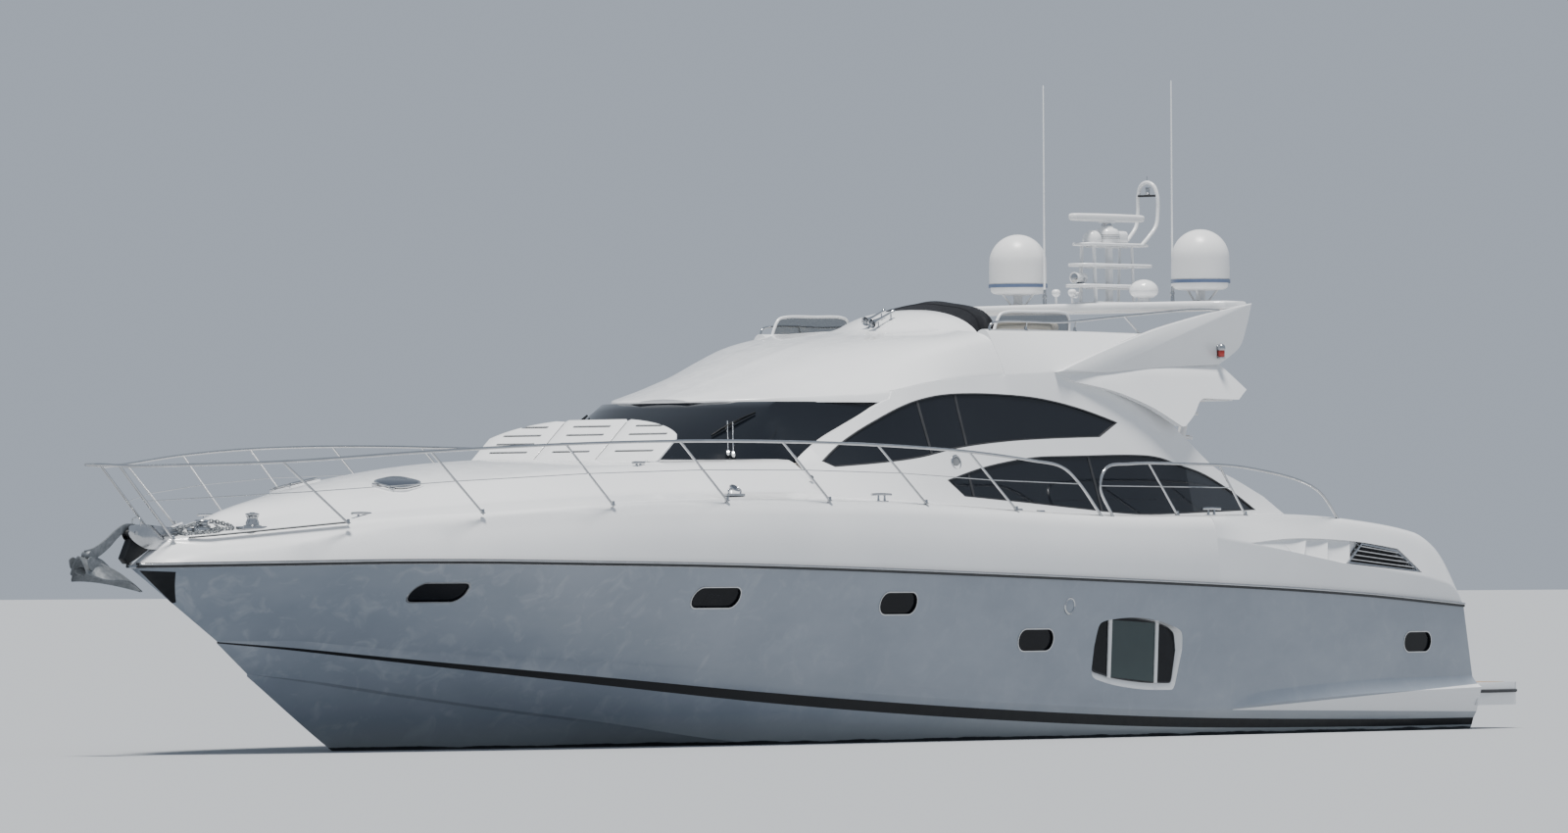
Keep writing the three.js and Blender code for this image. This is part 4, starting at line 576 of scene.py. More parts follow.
def plate(name, ring, low, high, finish=None, plane="xy", round_edge=0.0, sharp=35.0):
    """Flat plate from an outline, between two heights over its plane, with softened edges."""
    def place(p, h):
        return {"xy": (p.x, p.y, h), "xz": (p.x, h, p.y), "yz": (h, p.x, p.y)}[plane]

    if round_edge > 0:
        inner = offset(ring, round_edge)
        middle = offset(ring, round_edge * 0.3)
        lean = math.copysign(round_edge, high - low)
        levels = [(inner, low), (middle, low + lean * 0.3), (ring, low + lean), (ring, high - lean),
                  (middle, high - lean * 0.3), (inner, high)]
    else:
        levels = [(ring, low), (ring, high)]
    return loft(name, [[place(p, h) for p in points] for points, h in levels], finish, sharp)


def rounded_rect(width, height, radius, count=5, centre=(0, 0)):
    """Outline of a rectangle with round corners."""
    points = []
    for cx, cy, start in ((1, 1, 0), (-1, 1, 90), (-1, -1, 180), (1, -1, 270)):
        for n in range(count + 1):
            a = math.radians(start + 90 * n / count)
            points.append(Vector((centre[0] + cx * (width / 2 - radius) + radius * math.cos(a),
                                  centre[1] + cy * (height / 2 - radius) + radius * math.sin(a))))
    return points


def copy_of(node, name, finish, width, segments=2):
    """Detailed copy of a CAD node: merged, with flat faces joined and edges rounded."""
    piece = duplicate(NODES[node], name)
    work = bmesh.new()
    work.from_mesh(piece.data)
    bmesh.ops.remove_doubles(work, verts=work.verts, dist=SAME_SPOT)
    bmesh.ops.dissolve_limit(work, angle_limit=math.radians(1.0), verts=work.verts, edges=work.edges)
    work.to_mesh(piece.data)
    work.free()
    piece.data.materials.clear()
    piece.data.materials.append(finish)
    return bevel(piece, width, segments)


def finish_piece(piece, slot, *replaces, body="hull"):
    """Gives a piece its body and hides the nodes it stands for; slot is not used."""
    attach(piece, body)
    if replaces:
        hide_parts(*replaces)
    return piece


def both(piece, slot):
    """Finishes a port piece under its own name, and its mirror image."""
    other = mirror(piece, f"{piece.name}_starboard")
    finish_piece(piece, slot)
    finish_piece(other, slot)


def pair(piece, slot, *replaces, body="hull"):
    """Finishes a port piece and its mirror image. replaces names nodes without their side."""
    other = mirror(piece, f"{piece.name}_starboard")
    piece.name = f"{piece.name}_port"
    for one, side in ((piece, "port"), (other, "starboard")):
        finish_piece(one, slot, *[f"{node}_{side}" for node in replaces], body=body.replace("port", side))


# Materials

def new_node(tree, kind, vector=None, **values):
    """A shader node with the given input values."""
    node = tree.nodes.new(kind)
    if vector:
        tree.links.new(vector, node.inputs["Vector"])
    for key, value in values.items():
        node.inputs[key.replace("_", " ")].default_value = value
    return node


def position(tree):
    """Output with the object's own coordinates."""
    return tree.nodes.new("ShaderNodeTexCoord").outputs["Object"]


def raise_relief(tree, shader, height, strength, distance, invert=False):
    """Bump from a height, for a shader."""
    bump = new_node(tree, "ShaderNodeBump", Strength=strength, Distance=distance)
    bump.invert = invert
    tree.links.new(height, bump.inputs["Height"])
    tree.links.new(bump.outputs[0], shader.inputs["Normal"])


def mathed(tree, operation, a, b=None, clamp=False):
    """Output of a maths node over links or numbers."""
    node = tree.nodes.new("ShaderNodeMath")
    node.operation = operation
    node.use_clamp = clamp
    for n, value in enumerate((a, b)):
        if value is None:
            continue
        if isinstance(value, (int, float)):
            node.inputs[n].default_value = value
        else:
            tree.links.new(value, node.inputs[n])
    return node.outputs[0]


def mixed(tree, factor, a, b):
    """Output of a colour mix over links or colours."""
    node = tree.nodes.new("ShaderNodeMix")
    node.data_type = "RGBA"
    for key, value in ((0, factor), (6, a), (7, b)):
        if isinstance(value, (int, float)):
            node.inputs[key].default_value = value
        elif isinstance(value, tuple):
            node.inputs[key].default_value = (*value, 1)
        else:
            tree.links.new(value, node.inputs[key])
    return node.outputs[2]


def ramp(tree, source, low, high, dark, light):
    """A value spread from dark to light between low and high."""
    node = tree.nodes.new("ShaderNodeMapRange")
    tree.links.new(source, node.inputs["Value"])
    for key, value in (("From Min", low), ("From Max", high), ("To Min", dark), ("To Max", light)):
        node.inputs[key].default_value = value
    return node.outputs["Result"]


def shaded(name, colour, second, rough, metal=0.0, coat=0.0, patch=1.2, stretch=(1, 1, 1), grain=0.0,
           grain_scale=300.0, rough_spread=0.06, alpha=1.0, sheen=0.0, shine=0.5):
    """Finish with patches of a second colour, uneven gloss and a fine grain: material, tree and shader."""
    made = bpy.data.materials.new(name)
    made.use_nodes = True
    tree = made.node_tree
    shader = tree.nodes["Principled BSDF"]
    place = position(tree)
    mapping = new_node(tree, "ShaderNodeMapping", place, Scale=stretch)
    broad = new_node(tree, "ShaderNodeTexNoise", mapping.outputs[0], Scale=patch, Detail=5.0, Roughness=0.55)
    spread = ramp(tree, broad.outputs[0], 0.35, 0.68, 0.0, 1.0)
    tree.links.new(mixed(tree, spread, colour, second), shader.inputs["Base Color"])
    smudge = new_node(tree, "ShaderNodeTexNoise", place, Scale=patch * 9, Detail=3.0)
    gloss = ramp(tree, smudge.outputs[0], 0.3, 0.7, rough - rough_spread, rough + rough_spread)
    tree.links.new(gloss, shader.inputs["Roughness"])
    for key, value in (("Metallic", metal), ("Coat Weight", coat), ("Coat Roughness", 0.06), ("Alpha", alpha),
                       ("Sheen Weight", sheen), ("Specular IOR Level", shine)):
        shader.inputs[key].default_value = value
    if grain > 0:
        fine = new_node(tree, "ShaderNodeTexNoise", place, Scale=grain_scale, Detail=2.0)
        raise_relief(tree, shader, fine.outputs[0], grain, 0.002)
    made.diffuse_color = (*colour, 1)
    return made, tree, shader


def paint(*settings, **more):
    """Plain finish without a pattern of its own."""
    return shaded(*settings, **more)[0]


def coords(tree):
    """Separate x, y and z of the object's own coordinates."""
    split = tree.nodes.new("ShaderNodeSeparateXYZ")
    tree.links.new(position(tree), split.inputs[0])
    return split.outputs


def hull_paint():
    """Gloss topsides: white gelcoat darkened to grey-blue as painted shade, mottled by painted light off the
    water, with dark antifouling below the waterline.
    """
    # painted shade: these base colours darken the white gelcoat to the grey-blue of topsides in shade
    made, tree, shader = shaded("hull", (0.222, 0.258, 0.308), (0.270, 0.305, 0.356), 0.20, coat=0.45,
                                patch=1.1, stretch=(0.8, 0.8, 1.5), rough_spread=0.04)
    x, _, z = coords(tree)

    def times(a, b):
        return mathed(tree, "MULTIPLY", a, b, clamp=True)

    def sloped(height, slope):
        return mathed(tree, "ADD", mathed(tree, "MULTIPLY", reach, slope), height)

    base = shader.inputs["Base Color"].links[0].from_socket
    # painted reflection: pale spots of light off the water, stronger towards the bow
    spots = new_node(tree, "ShaderNodeTexNoise", position(tree), Scale=3.4, Detail=3.0, Roughness=0.6,
                     Distortion=0.8)
    light = times(ramp(tree, spots.outputs[0], 0.52, 0.74, 0.0, 1.0), ramp(tree, x, 1.0, 9.0, 0.06, 0.26))
    lit = mixed(tree, light, base, (0.58, 0.61, 0.65))
    wet = new_node(tree, "ShaderNodeTexNoise", position(tree), Scale=2.0, Detail=4.0).outputs[0]
    line = mathed(tree, "ADD", z, ramp(tree, wet, 0.3, 0.7, -0.012, 0.012))
    below = ramp(tree, line, 0.030, 0.036, 1.0, 0.0)
    tinted = mixed(tree, ramp(tree, line, 0.03, 0.34, 0.62, 0.0), lit, (0.40, 0.42, 0.41))
    antifoul = mixed(tree, ramp(tree, wet, 0.4, 0.6, 0.0, 1.0), (0.012, 0.015, 0.02), (0.03, 0.035, 0.04))
    # the white foot of the swelling near the stern, between two sloped lines: the gelcoat's own white, kept
    # as painted light where the foot faces up, free of the topsides' painted shade
    reach = mathed(tree, "SUBTRACT", BUSTLE_WHITE_X, x)
    wedge = times(mathed(tree, "SUBTRACT", sloped(0.282, 0.0492), z), EDGE_SHARPNESS)
    wedge = times(wedge, times(mathed(tree, "SUBTRACT", z, sloped(0.275, -0.0155)), EDGE_SHARPNESS))
    wedge = times(wedge, times(reach, 40.0))
    marked = mixed(tree, wedge, mixed(tree, below, tinted, antifoul), (0.78, 0.79, 0.81))
    tree.links.new(marked, shader.inputs["Base Color"])
    gloss = shader.inputs["Roughness"].links[0].from_socket
    tree.links.new(mathed(tree, "ADD", gloss, mathed(tree, "MULTIPLY", below, 0.45)),
                   shader.inputs["Roughness"])
    return made


def planked():
    """Teak laid fore and aft in narrow planks with dark caulking."""
    made, tree, shader = shaded("teak", (0.36, 0.235, 0.135), (0.46, 0.32, 0.20), 0.62, patch=3.0,
                                stretch=(0.6, 6, 6), grain=0.25, grain_scale=260)
    lane = mathed(tree, "DIVIDE", coords(tree)[1], PLANK)
    seam = mathed(tree, "GREATER_THAN", mathed(tree, "FRACT", mathed(tree, "ADD", lane, 100.0)), 0.90)
    number = tree.nodes.new("ShaderNodeTexWhiteNoise")
    number.noise_dimensions = "1D"
    tree.links.new(mathed(tree, "FLOOR", lane), number.inputs["W"])
    base = shader.inputs["Base Color"].links[0].from_socket
    varied = mixed(tree, mathed(tree, "MULTIPLY", number.outputs["Value"], 0.35), base, (0.27, 0.17, 0.10))
    tree.links.new(mixed(tree, seam, varied, (0.015, 0.014, 0.013)), shader.inputs["Base Color"])
    return made


def woven():
    """Black canvas with a crossed weave."""
    made, tree, shader = shaded("canvas", (0.006, 0.007, 0.010), (0.012, 0.013, 0.017), 0.85, patch=2.5,
                                sheen=0.03, shine=0.2)
    x, y, z = coords(tree)
    threads = [mathed(tree, "SINE", mathed(tree, "MULTIPLY", run, WEAVE))
               for run in (mathed(tree, "ADD", x, z), y)]
    raise_relief(tree, shader, mathed(tree, "MULTIPLY", *threads), 0.35, 0.001)
    return made


def leather():
    """Marine vinyl with a pebbled grain."""
    made, tree, shader = shaded("cushion", (0.70, 0.67, 0.60), (0.64, 0.61, 0.54), 0.5, patch=2.0)
    cells = new_node(tree, "ShaderNodeTexVoronoi", position(tree), Scale=420.0)
    raise_relief(tree, shader, cells.outputs["Distance"], 0.3, 0.0012)
    return made


def gripped():
    """Moulded non-slip pattern of small diamonds."""
    made, tree, shader = shaded("nonskid", (0.70, 0.715, 0.73), (0.63, 0.645, 0.66), 0.72, patch=1.5)
    cells = new_node(tree, "ShaderNodeTexVoronoi", position(tree), Scale=110.0)
    cells.distance = "CHEBYCHEV"
    raise_relief(tree, shader, cells.outputs["Distance"], 0.6, 0.003, invert=True)
    return made


BUSTLE_WHITE_X = -4.93
EDGE_SHARPNESS = 300.0
PLANK = 0.06
WEAVE = 6.283 / 0.0011 / 3  # one thread up and one down in each 3.3 mm
HULL = hull_paint()
WHITE = paint("gelcoat", (0.80, 0.81, 0.825), (0.84, 0.85, 0.86), 0.20, coat=0.5, patch=0.9, grain=0.02,
              grain_scale=90)
BLACK = paint("black_gloss", (0.006, 0.007, 0.009), (0.009, 0.010, 0.012), 0.40, shine=0.2)
GLASS = paint("glass", (0.006, 0.008, 0.012), (0.009, 0.011, 0.015), 0.05, coat=0.12, patch=0.6,
              rough_spread=0.02, alpha=0.94, shine=0.34)
TINTED = paint("hatch_glass", (0.016, 0.022, 0.034), (0.026, 0.034, 0.05), 0.16, coat=0.3, patch=3)
STEEL = paint("steel", (0.56, 0.57, 0.585), (0.48, 0.49, 0.505), 0.14, metal=1.0, patch=6, rough_spread=0.05)
GALVANISED = paint("galvanised", (0.16, 0.175, 0.19), (0.24, 0.255, 0.27), 0.52, metal=0.75, patch=22,
                   grain=0.4, grain_scale=160)
RUBBER = paint("rubber", (0.022, 0.023, 0.026), (0.035, 0.036, 0.04), 0.62, patch=8, grain=0.2)
BRONZE = paint("bronze", (0.42, 0.26, 0.10), (0.33, 0.22, 0.11), 0.34, metal=1.0, patch=7, grain=0.15,
               grain_scale=120)
ENGINE_PAINT = paint("engine", (0.52, 0.54, 0.56), (0.42, 0.44, 0.46), 0.45, metal=0.2, patch=5, grain=0.3)
TEAK = planked()
DOME = paint("dome", (0.80, 0.805, 0.81), (0.76, 0.765, 0.77), 0.36, patch=2.0, grain=0.03, grain_scale=200)
SEAM = paint("seam", (0.20, 0.21, 0.22), (0.26, 0.27, 0.28), 0.5, patch=9)
CANVAS = woven()
CUSHION = leather()
NONSKID = gripped()
INSIDE = paint("lining", (0.36, 0.33, 0.29), (0.30, 0.27, 0.24), 0.6, patch=2)
RED = paint("red_lens", (0.45, 0.03, 0.02), (0.35, 0.02, 0.02), 0.15, coat=0.5)
GREEN = paint("green_lens", (0.02, 0.30, 0.10), (0.02, 0.22, 0.08), 0.15, coat=0.5)
TEAL = paint("teal_glass", (0.020, 0.040, 0.042), (0.030, 0.052, 0.054), 0.06, coat=0.1, patch=0.7,
             rough_spread=0.02, shine=0.3)
CLEAR = paint("clear_glass", (0.012, 0.015, 0.02), (0.018, 0.021, 0.026), 0.05, coat=0.1, patch=0.7,
              rough_spread=0.02, alpha=0.78, shine=0.34)
PORT_GLASS = paint("port_glass", (0.004, 0.005, 0.007), (0.007, 0.008, 0.011), 0.07, patch=2.0,
                   rough_spread=0.02, shine=0.14)
# painted shade: blue-grey for the shade that falls under the satellite dome's rim
DOME_SHADE_BAND = paint("band", (0.10, 0.14, 0.24), (0.12, 0.165, 0.27), 0.4, patch=4)
SMOKE = paint("smoke", (0.035, 0.045, 0.05), (0.05, 0.06, 0.065), 0.08, coat=0.4, patch=2, rough_spread=0.02,
              alpha=0.42)
PIPING = paint("piping", (0.60, 0.575, 0.52), (0.54, 0.52, 0.47), 0.5, patch=6)
BY_SLOT = {"hull": HULL, "gelcoat": WHITE, "nonskid": NONSKID, "teak": TEAK, "glass": GLASS, "steel": STEEL,
           "galvanised": GALVANISED, "canvas": CANVAS, "cushion": CUSHION, "bronze": BRONZE,
           "engine": ENGINE_PAINT}


# Hull

def along(rows, share, aft):
    """Station of a long line at a share of its length."""
    return aft + (rows[-1]["x"] - aft) * share


def hull_lines(share):
    """Stations and heights of the hull's long lines at a share of the length."""
    kx, cx = along(KEEL, share, HULL_AFT_X), along(CHINE, share, HULL_AFT_X)
    sx, rx = along(STRIPE, share, HULL_AFT_X), along(RAIL, share, STERN_X)
    bx = BUSTLE_AFT_X + (BUSTLE_FORE_X - BUSTLE_AFT_X) * share
    return kx, cx, sx, rx, bx


def topside(share, z):
    """Point on the port topsides at a share of the length and height z."""
    _, _, sx, rx, _ = hull_lines(share)
    stripe_y, rail_y = max(at(STRIPE, "y", sx), 0), max(at(RAIL, "y", rx), 0)
    ledge = min(1, stripe_y / LEDGE_FADE)
    crease_y, crease_z = stripe_y + 0.045 * ledge, at(STRIPE, "z", sx) + 0.07 * ledge + 0.005
    part = (z - crease_z) / (at(RAIL, "z", rx) - crease_z)
    flare = part - 0.55 * part * (1 - part) * smooth(rx, 0, 9.0)
    return Vector((rx + (sx - rx) * (1 - part), crease_y + (rail_y - crease_y) * flare, z))


def hull_y(x, z):
    """Half breadth of the topsides at (x, z)."""
    low, high = 0.0, 1.0
    for _ in range(22):
        middle = (low + high) / 2
        if topside(middle, z).x < x:
            low = middle
        else:
            high = middle
    return topside(low, z).y


def hull_half(share):
    """Port half of a hull ring from keel to rail, and the finish of each stretch."""
    kx, cx, sx, rx, bx = hull_lines(share)
    chine_y, stripe_y = max(at(CHINE, "y", cx), 0), max(at(STRIPE, "y", sx), 0)
    stripe_z, chine_z, rail_z = at(STRIPE, "z", sx), at(CHINE, "z", cx), at(RAIL, "z", rx)
    ledge = min(1, stripe_y / LEDGE_FADE)
    crease_z = stripe_z + 0.07 * ledge + 0.005
    low = max(at(BUSTLE, "low", bx), crease_z + 0.01)
    top = max(at(BUSTLE, "top", bx), low + 0.01)
    keel = Vector((kx, 0, at(KEEL, "z", kx)))
    chine = Vector((cx, chine_y, chine_z))
    points = [(keel.lerp(chine, t), 0) for t in (0, 0.25, 0.5, 0.75)]
    points += [(chine, 0), (Vector((cx, chine_y + 0.05 * ledge, chine_z + 0.025 * ledge)), 0),
               (Vector((sx, stripe_y - 0.025 * ledge, stripe_z - at(STRIPE, "band", sx))), 1),
               (Vector((sx, stripe_y, stripe_z)), 0), (topside(share, crease_z), 0)]
    swell = at(BUSTLE, "out", bx)
    foot, head = topside(share, low), topside(share, top)
    foot.y += swell
    points += [(foot.lerp(head, t) - Vector((0, 0.35 * swell * t * (1 - t) * 2, 0)), 0)
               for t in (0, 0.12, 0.35, 0.65, 0.88)]
    points += [(topside(share, top + (rail_z - top) * t), 0) for t in steps(0, 1, 13)]
    return points


def add_hull():
    """Fine skin of the hull with its wells, stairs and windows."""
    rings = []
    for share in sorted(set(steps(0, 0.9, 64) + steps(0.9, 1.0, 20))):
        half = hull_half(share)
        rings.append(both_sides([p for p, _ in half], 0))
    tags = [tag for _, tag in half][:-1]
    hull = loft("hull_shell", rings, [HULL, BLACK, WHITE, RUBBER], 14, bands=[*tags, 0, *tags[::-1]])
    cutters = [box_piece("well", (-9.05, -2.08, 1.35), (-4.56, 2.08, 2.2), WHITE),
               box_piece("engine_room", (-8.5, -1.4, -0.15), (-4.9, 1.4, 1.36), WHITE)]
    for z, front in ((0.83, -9.50), (1.13, -9.27), (SOLE_Z, -9.04)):
        for low, high in ((1.34, 2.09), (-2.09, -1.34)):
            cutters.append(box_piece("stair", (-10.0, low, z), (front, high, 2.2), WHITE))
    window = hull_window()
    for sign in (1, -1):
        rows = [[(p.x, sign * 2.75, p.y) for p in window],
                [(p.x, sign * (hull_y(p.x, p.y) + 0.001), p.y) for p in window],
                [(p.x, sign * 2.478, p.y) for p in window_floor()]]
        cutters.append(loft("window_cut", rows, WHITE))
    for values in PORTHOLES:
        ring = port_ring(*values)
        for sign in (1, -1):
            rows = [[(p.x, sign * (hull_y(p.x, p.y) + d), p.y) for p in ring] for d in (0.05, -0.035)]
            cutters.append(loft("port_cut", rows, BLACK))
    cut(hull, *cutters, sharp=14)
    finish_piece(hull, "hull", "hull")


def hull_window():
    """Outline of the large cabin window in the topsides."""
    return outline(
        (-2.25, 1.00), [(-2.30, 1.23), (-2.42, 1.285)],
        [(-2.72, 1.31), (-3.07, 1.31), (-3.47, 1.26), (-3.76, 1.19)], [(-3.85, 1.13), (-3.88, 0.95)],
        (-3.81, 0.57), [(-3.78, 0.52), (-3.72, 0.51)], [(-3.24, 0.52), (-2.72, 0.57), (-2.35, 0.64)],
        [(-2.28, 0.68), (-2.25, 0.76)])


def window_floor():
    """The cabin window's outline on its pane: its sill and aft side slope inward."""
    return [p + Vector((0.05 * smooth(p.x, -3.64, -3.82), 0.078 * smooth(p.y, 0.86, 0.66)))
            for p in hull_window()]


PANE_Y = 2.490  # half breadth of the large window's panes
PORTHOLES = [(7.59, 1.64, 0.61, 0.20), (4.12, 1.565, 0.68, 0.22), (1.27, 1.49, 0.62, 0.24),
             (-1.19, 1.08, 0.62, 0.24), (-8.53, 1.005, 0.56, 0.23)]


def port_ring(x, z, width, height):
    """Outline of a small portlight about (x, z)."""
    return rounded_rect(width, height, height * 0.49, centre=(x, z))


def inset_by(surface, depth):
    """The surface that lies deeper than another."""
    return lambda x, z: surface(x, z) - depth


def add_portholes():
    """Dark panes and bright rims in the topsides, and the panes of the large window."""
    for n, values in enumerate(PORTHOLES):
        ring = port_ring(*values)
        pane = sheet(f"portlight_{n}", offset(ring, -0.004), inset_by(hull_y, 0.022), 0.006, PORT_GLASS,
                     edge=0.05)
        rim = strip(f"portlight_rim_{n}", offset(ring, -0.007), hull_y, 0.012, 0.006, STEEL)
        both(pane, "glass")
        both(rim, "steel")
    window = window_floor()
    pane = plate("cabin_window", window, 2.480, 2.494, PORT_GLASS, "xz")
    corners = (((-2.56, 0.66), (-2.61, 0.65), (-2.655, 1.30), (-2.595, 1.302)),
               ((-3.42, 0.592), (-3.47, 0.592), (-3.51, 1.25), (-3.46, 1.262)))
    bars = [plate("bar", vectors(*ring), PANE_Y + 0.002, PANE_Y + 0.022, DOME, "xz", 0.004)
            for ring in corners]
    bars = merge("cabin_window_bars", bars)
    seal = strip("cabin_window_seal", window, lambda x, z: PANE_Y, 0.014, 0.006, RUBBER)
    middle = vectors((-2.58, 0.67), (-2.63, 1.29), (-3.50, 1.25), (-3.455, 0.60))
    middle = plate("cabin_window_middle", middle, 2.4935, 2.4965, TEAL, "xz")
    for piece, slot in ((pane, "glass"), (bars, "gelcoat"), (seal, "glass"), (middle, "glass")):
        both(piece, slot)


# Decks

def deck_at(key, x):
    """Deck table's value, its coachroof apart from the side decks behind it."""
    rows = DECK[5:] if x > 1.9 else DECK[:5]
    return max(at(rows, key, min(max(x, rows[0]["x"]), rows[-1]["x"])), 0)


def deck_half(x):
    """Port half of the deck from the knuckle up over the side deck to the crown, with soft corners."""
    share = (x - STERN_X) / (STEM_X - STERN_X)
    dx = along(DECK, share, STERN_X)
    rail_y, rail_z = max(at(RAIL, "y", x) - 0.012, 0), at(RAIL, "z", x)
    edge_y, edge_z = deck_at("edgeY", dx), deck_at("edgeZ", dx)
    trunk_y, trunk_z, crown = deck_at("trunkY", dx), deck_at("trunkZ", dx), deck_at("crown", dx)
    roll = min(0.09, edge_y * 0.25)
    low_z = rail_z - 0.03
    corners = [
        (x, rail_y, low_z),
        ((x + dx) / 2, rail_y + (edge_y - rail_y) * 0.35 + roll * 0.2, low_z + (edge_z - low_z) * 0.5),
        (dx, edge_y, edge_z - roll), (dx, max(edge_y - roll * 0.8, 0), edge_z),
        (dx, deck_at("deckY", dx), deck_at("deckZ", dx)), (dx, trunk_y, trunk_z),
        (dx, trunk_y * 0.5, crown - (crown - trunk_z) * 0.25), (dx, 0, crown)]
    tall = min(1, max(0, (trunk_z - deck_at("deckZ", dx)) / 0.3))
    radii = [0.30, 0.08, 0.05, 0.03 + 0.05 * tall, 0.03 + 0.10 * tall, 0.35]
    return fillet(corners, [r * min(1, edge_y / 0.5 + 0.02) for r in radii], 4)


def add_deck():
    """Deck moulding with the coachroof, the sunbathing recess and the hatch openings."""
    stations = steps(-4.55, 1.88, 34) + steps(1.93, 8.4, 44) + steps(8.5, 10.8, 26)
    deck = loft("deck", [both_sides(deck_half(x)) for x in stations], [WHITE, NONSKID], 24)
    cutters = [box_piece("saloon", (-4.7, -1.95, 1.0), (1.9, 1.95, 4.0)),
               box_piece("aft", (-9.0, -3.0, 0), (-4.5, 3.0, 4.0)),
               box_piece("pad", (2.975, -1.34, 2.96), (3.98, 1.34, 4.0))]
    length, width = HATCH_SIZE[0] / 2 - 0.045, HATCH_SIZE[1] / 2 - 0.045
    for sign in (1, -1):
        cutters.append(on_hatch(box_piece("hatch_cut", (-length, -width, -0.16), (length, width, 0.2)), sign))
    cut(deck, *cutters, sharp=24)
    finish_piece(deck, "gelcoat", "deck_moulding")


HATCH_AT, HATCH_SIZE = Vector((7.35, 0.70, 2.772)), (0.45, 0.42)
HATCH_TILT = Matrix.Rotation(math.radians(8.5), 4, "Y") @ Matrix.Rotation(math.radians(-11), 4, "X")


def on_hatch(piece, sign):
    """Moves a piece that is built flat onto the port or starboard hatch's slope."""
    piece.data.transform(Matrix.Translation(HATCH_AT) @ HATCH_TILT)
    return flip(piece) if sign < 0 else piece


def hatch_ring(margin, radius):
    """Outline of the hatch, larger by a margin."""
    return rounded_rect(HATCH_SIZE[0] + margin, HATCH_SIZE[1] + margin, radius)


def add_hatches():
    """Tinted lids with their frames and hinges on the foredeck."""
    edge = HATCH_SIZE[0] / 2
    for sign, side in ((1, "port"), (-1, "starboard")):
        seat = plate(f"hatch_seat_{side}", hatch_ring(0.052, 0.16), -0.06, 0.0, WHITE, round_edge=0.004)
        cut(seat, plate("hole", hatch_ring(-0.09, 0.04), -0.2, 0.2))
        finish_piece(on_hatch(seat, sign), "gelcoat")
        lid = plate("lid", hatch_ring(-0.045, 0.13), 0.014, 0.0315, TINTED, round_edge=0.003)
        rim = plate("frame", hatch_ring(0, 0.15), 0.010, 0.029, STEEL, round_edge=0.003)
        cut(rim, plate("hole", hatch_ring(-0.047, 0.13), -0.2, 0.2))
        parts = [lid, rim]
        for y in (-0.11, 0.11):
            x = edge + 0.008
            parts += [tube("hinge", [(x, y - 0.035, 0.0114), (x, y + 0.035, 0.0114)], 0.0105, STEEL, 12),
                      box_piece("leaf", (edge - 0.035, y - 0.03, 0.027), (x, y + 0.03, 0.031), STEEL)]
        ring = rounded_rect(0.03, 0.10, 0.014, centre=(-edge + 0.05, 0))
        parts.append(plate("handle", ring, 0.030, 0.0318, STEEL))
        lid = merge(f"hatch_lid_{side}", [on_hatch(p, sign) for p in parts])
        finish_piece(lid, "glass", f"fore_hatch_{side}", body=f"hatch_{side}")


# Aft quarters

def quarter_half(x):
    """Ring of the port aft quarter at station x, closed on its inner side."""
    rail_x = max(x, STERN_X)
    rail_y, rail_z = at(RAIL, "y", rail_x) - 0.012, at(RAIL, "z", rail_x) - 0.03
    hip_y, hip_z = at(QUARTER, "hipY", x), at(QUARTER, "hipZ", x)
    top_y, top_z = at(QUARTER, "topY", x), at(QUARTER, "topZ", x)
    points = [
        (x, 2.10, rail_z), (x, rail_y, rail_z), (x, hip_y, max(hip_z, rail_z + 0.042)),
        (x, top_y + 0.07, top_z - 0.35 * min(top_z - hip_z, 0.17)), (x, top_y, top_z), (x, 2.16, top_z),
        (x, 2.10, top_z - 0.012)]
    return fillet(points, [0, 0.02, 0.16, 0.08, 0.03], 5)


VENT = ((-5.13, 2.13), [(-6.07, 2.18), (-7.2, 2.15), (-8.15, 2.06)], (-8.57, 1.79), (-6.93, 1.90))


def quarter_y(x, z):
    """Half breadth of the quarter's face between its hip and its top."""
    hip_y, hip_z = at(QUARTER, "hipY", x), at(QUARTER, "hipZ", x)
    top_y, top_z = at(QUARTER, "topY", x) + 0.07, at(QUARTER, "topZ", x)
    top_z -= 0.35 * min(top_z - hip_z, 0.17)
    t = min(max((z - hip_z) / (top_z - hip_z), -0.2), 1)
    return hip_y + (top_y - hip_y) * t


def vent_depth(x):
    """Depth of the air intake at station x."""
    return 0.012 + 0.05 * smooth(x, -5.1, -6.6)


def add_quarters():
    """Aft quarters with their scalloped air intake and louvre."""
    stations = steps(-9.445, -8.6, 30) + steps(-8.5, -4.5, 36)
    quarter = loft("quarter", [quarter_half(x) for x in stations], WHITE, 20)
    vent = outline(*VENT)
    rows = [[(p.x, quarter_y(p.x, p.y) + 0.10, p.y) for p in vent],
            [(p.x, quarter_y(p.x, p.y) - vent_depth(p.x), p.y) for p in vent]]
    cut(quarter, loft("vent_cut", rows, WHITE), sharp=20)
    pair(quarter, "gelcoat", "quarter")
    add_scallops(vent)
    louvre = vectors((-7.42, 2.125), (-8.12, 2.045), (-8.52, 1.80), (-7.02, 1.905))
    back = sheet("louvre_back", louvre, inset_by(quarter_y, 0.052), 0.004, RUBBER)
    rim = strip("louvre_rim", louvre, inset_by(quarter_y, 0.02), 0.018, 0.016, STEEL)
    slats = []
    section = ((0.008, -0.006), (0.004, 0.004), (0.040, 0.022), (0.044, 0.012))
    for t in (0.2, 0.42, 0.64, 0.86):
        a, b = louvre[3].lerp(louvre[0], t), louvre[2].lerp(louvre[1], t)
        rows = []
        for s in steps(0.01, 0.99, 12):
            p = a.lerp(b, s)
            y = quarter_y(p.x, p.y)
            rows.append([(p.x, y - d, p.y + h) for d, h in section])
        slats.append(loft("slat", rows, STEEL, 40))
    slats = merge("louvre_slats", slats)
    for piece, slot in ((back, "glass"), (rim, "steel"), (slats, "steel")):
        pair(piece, slot)


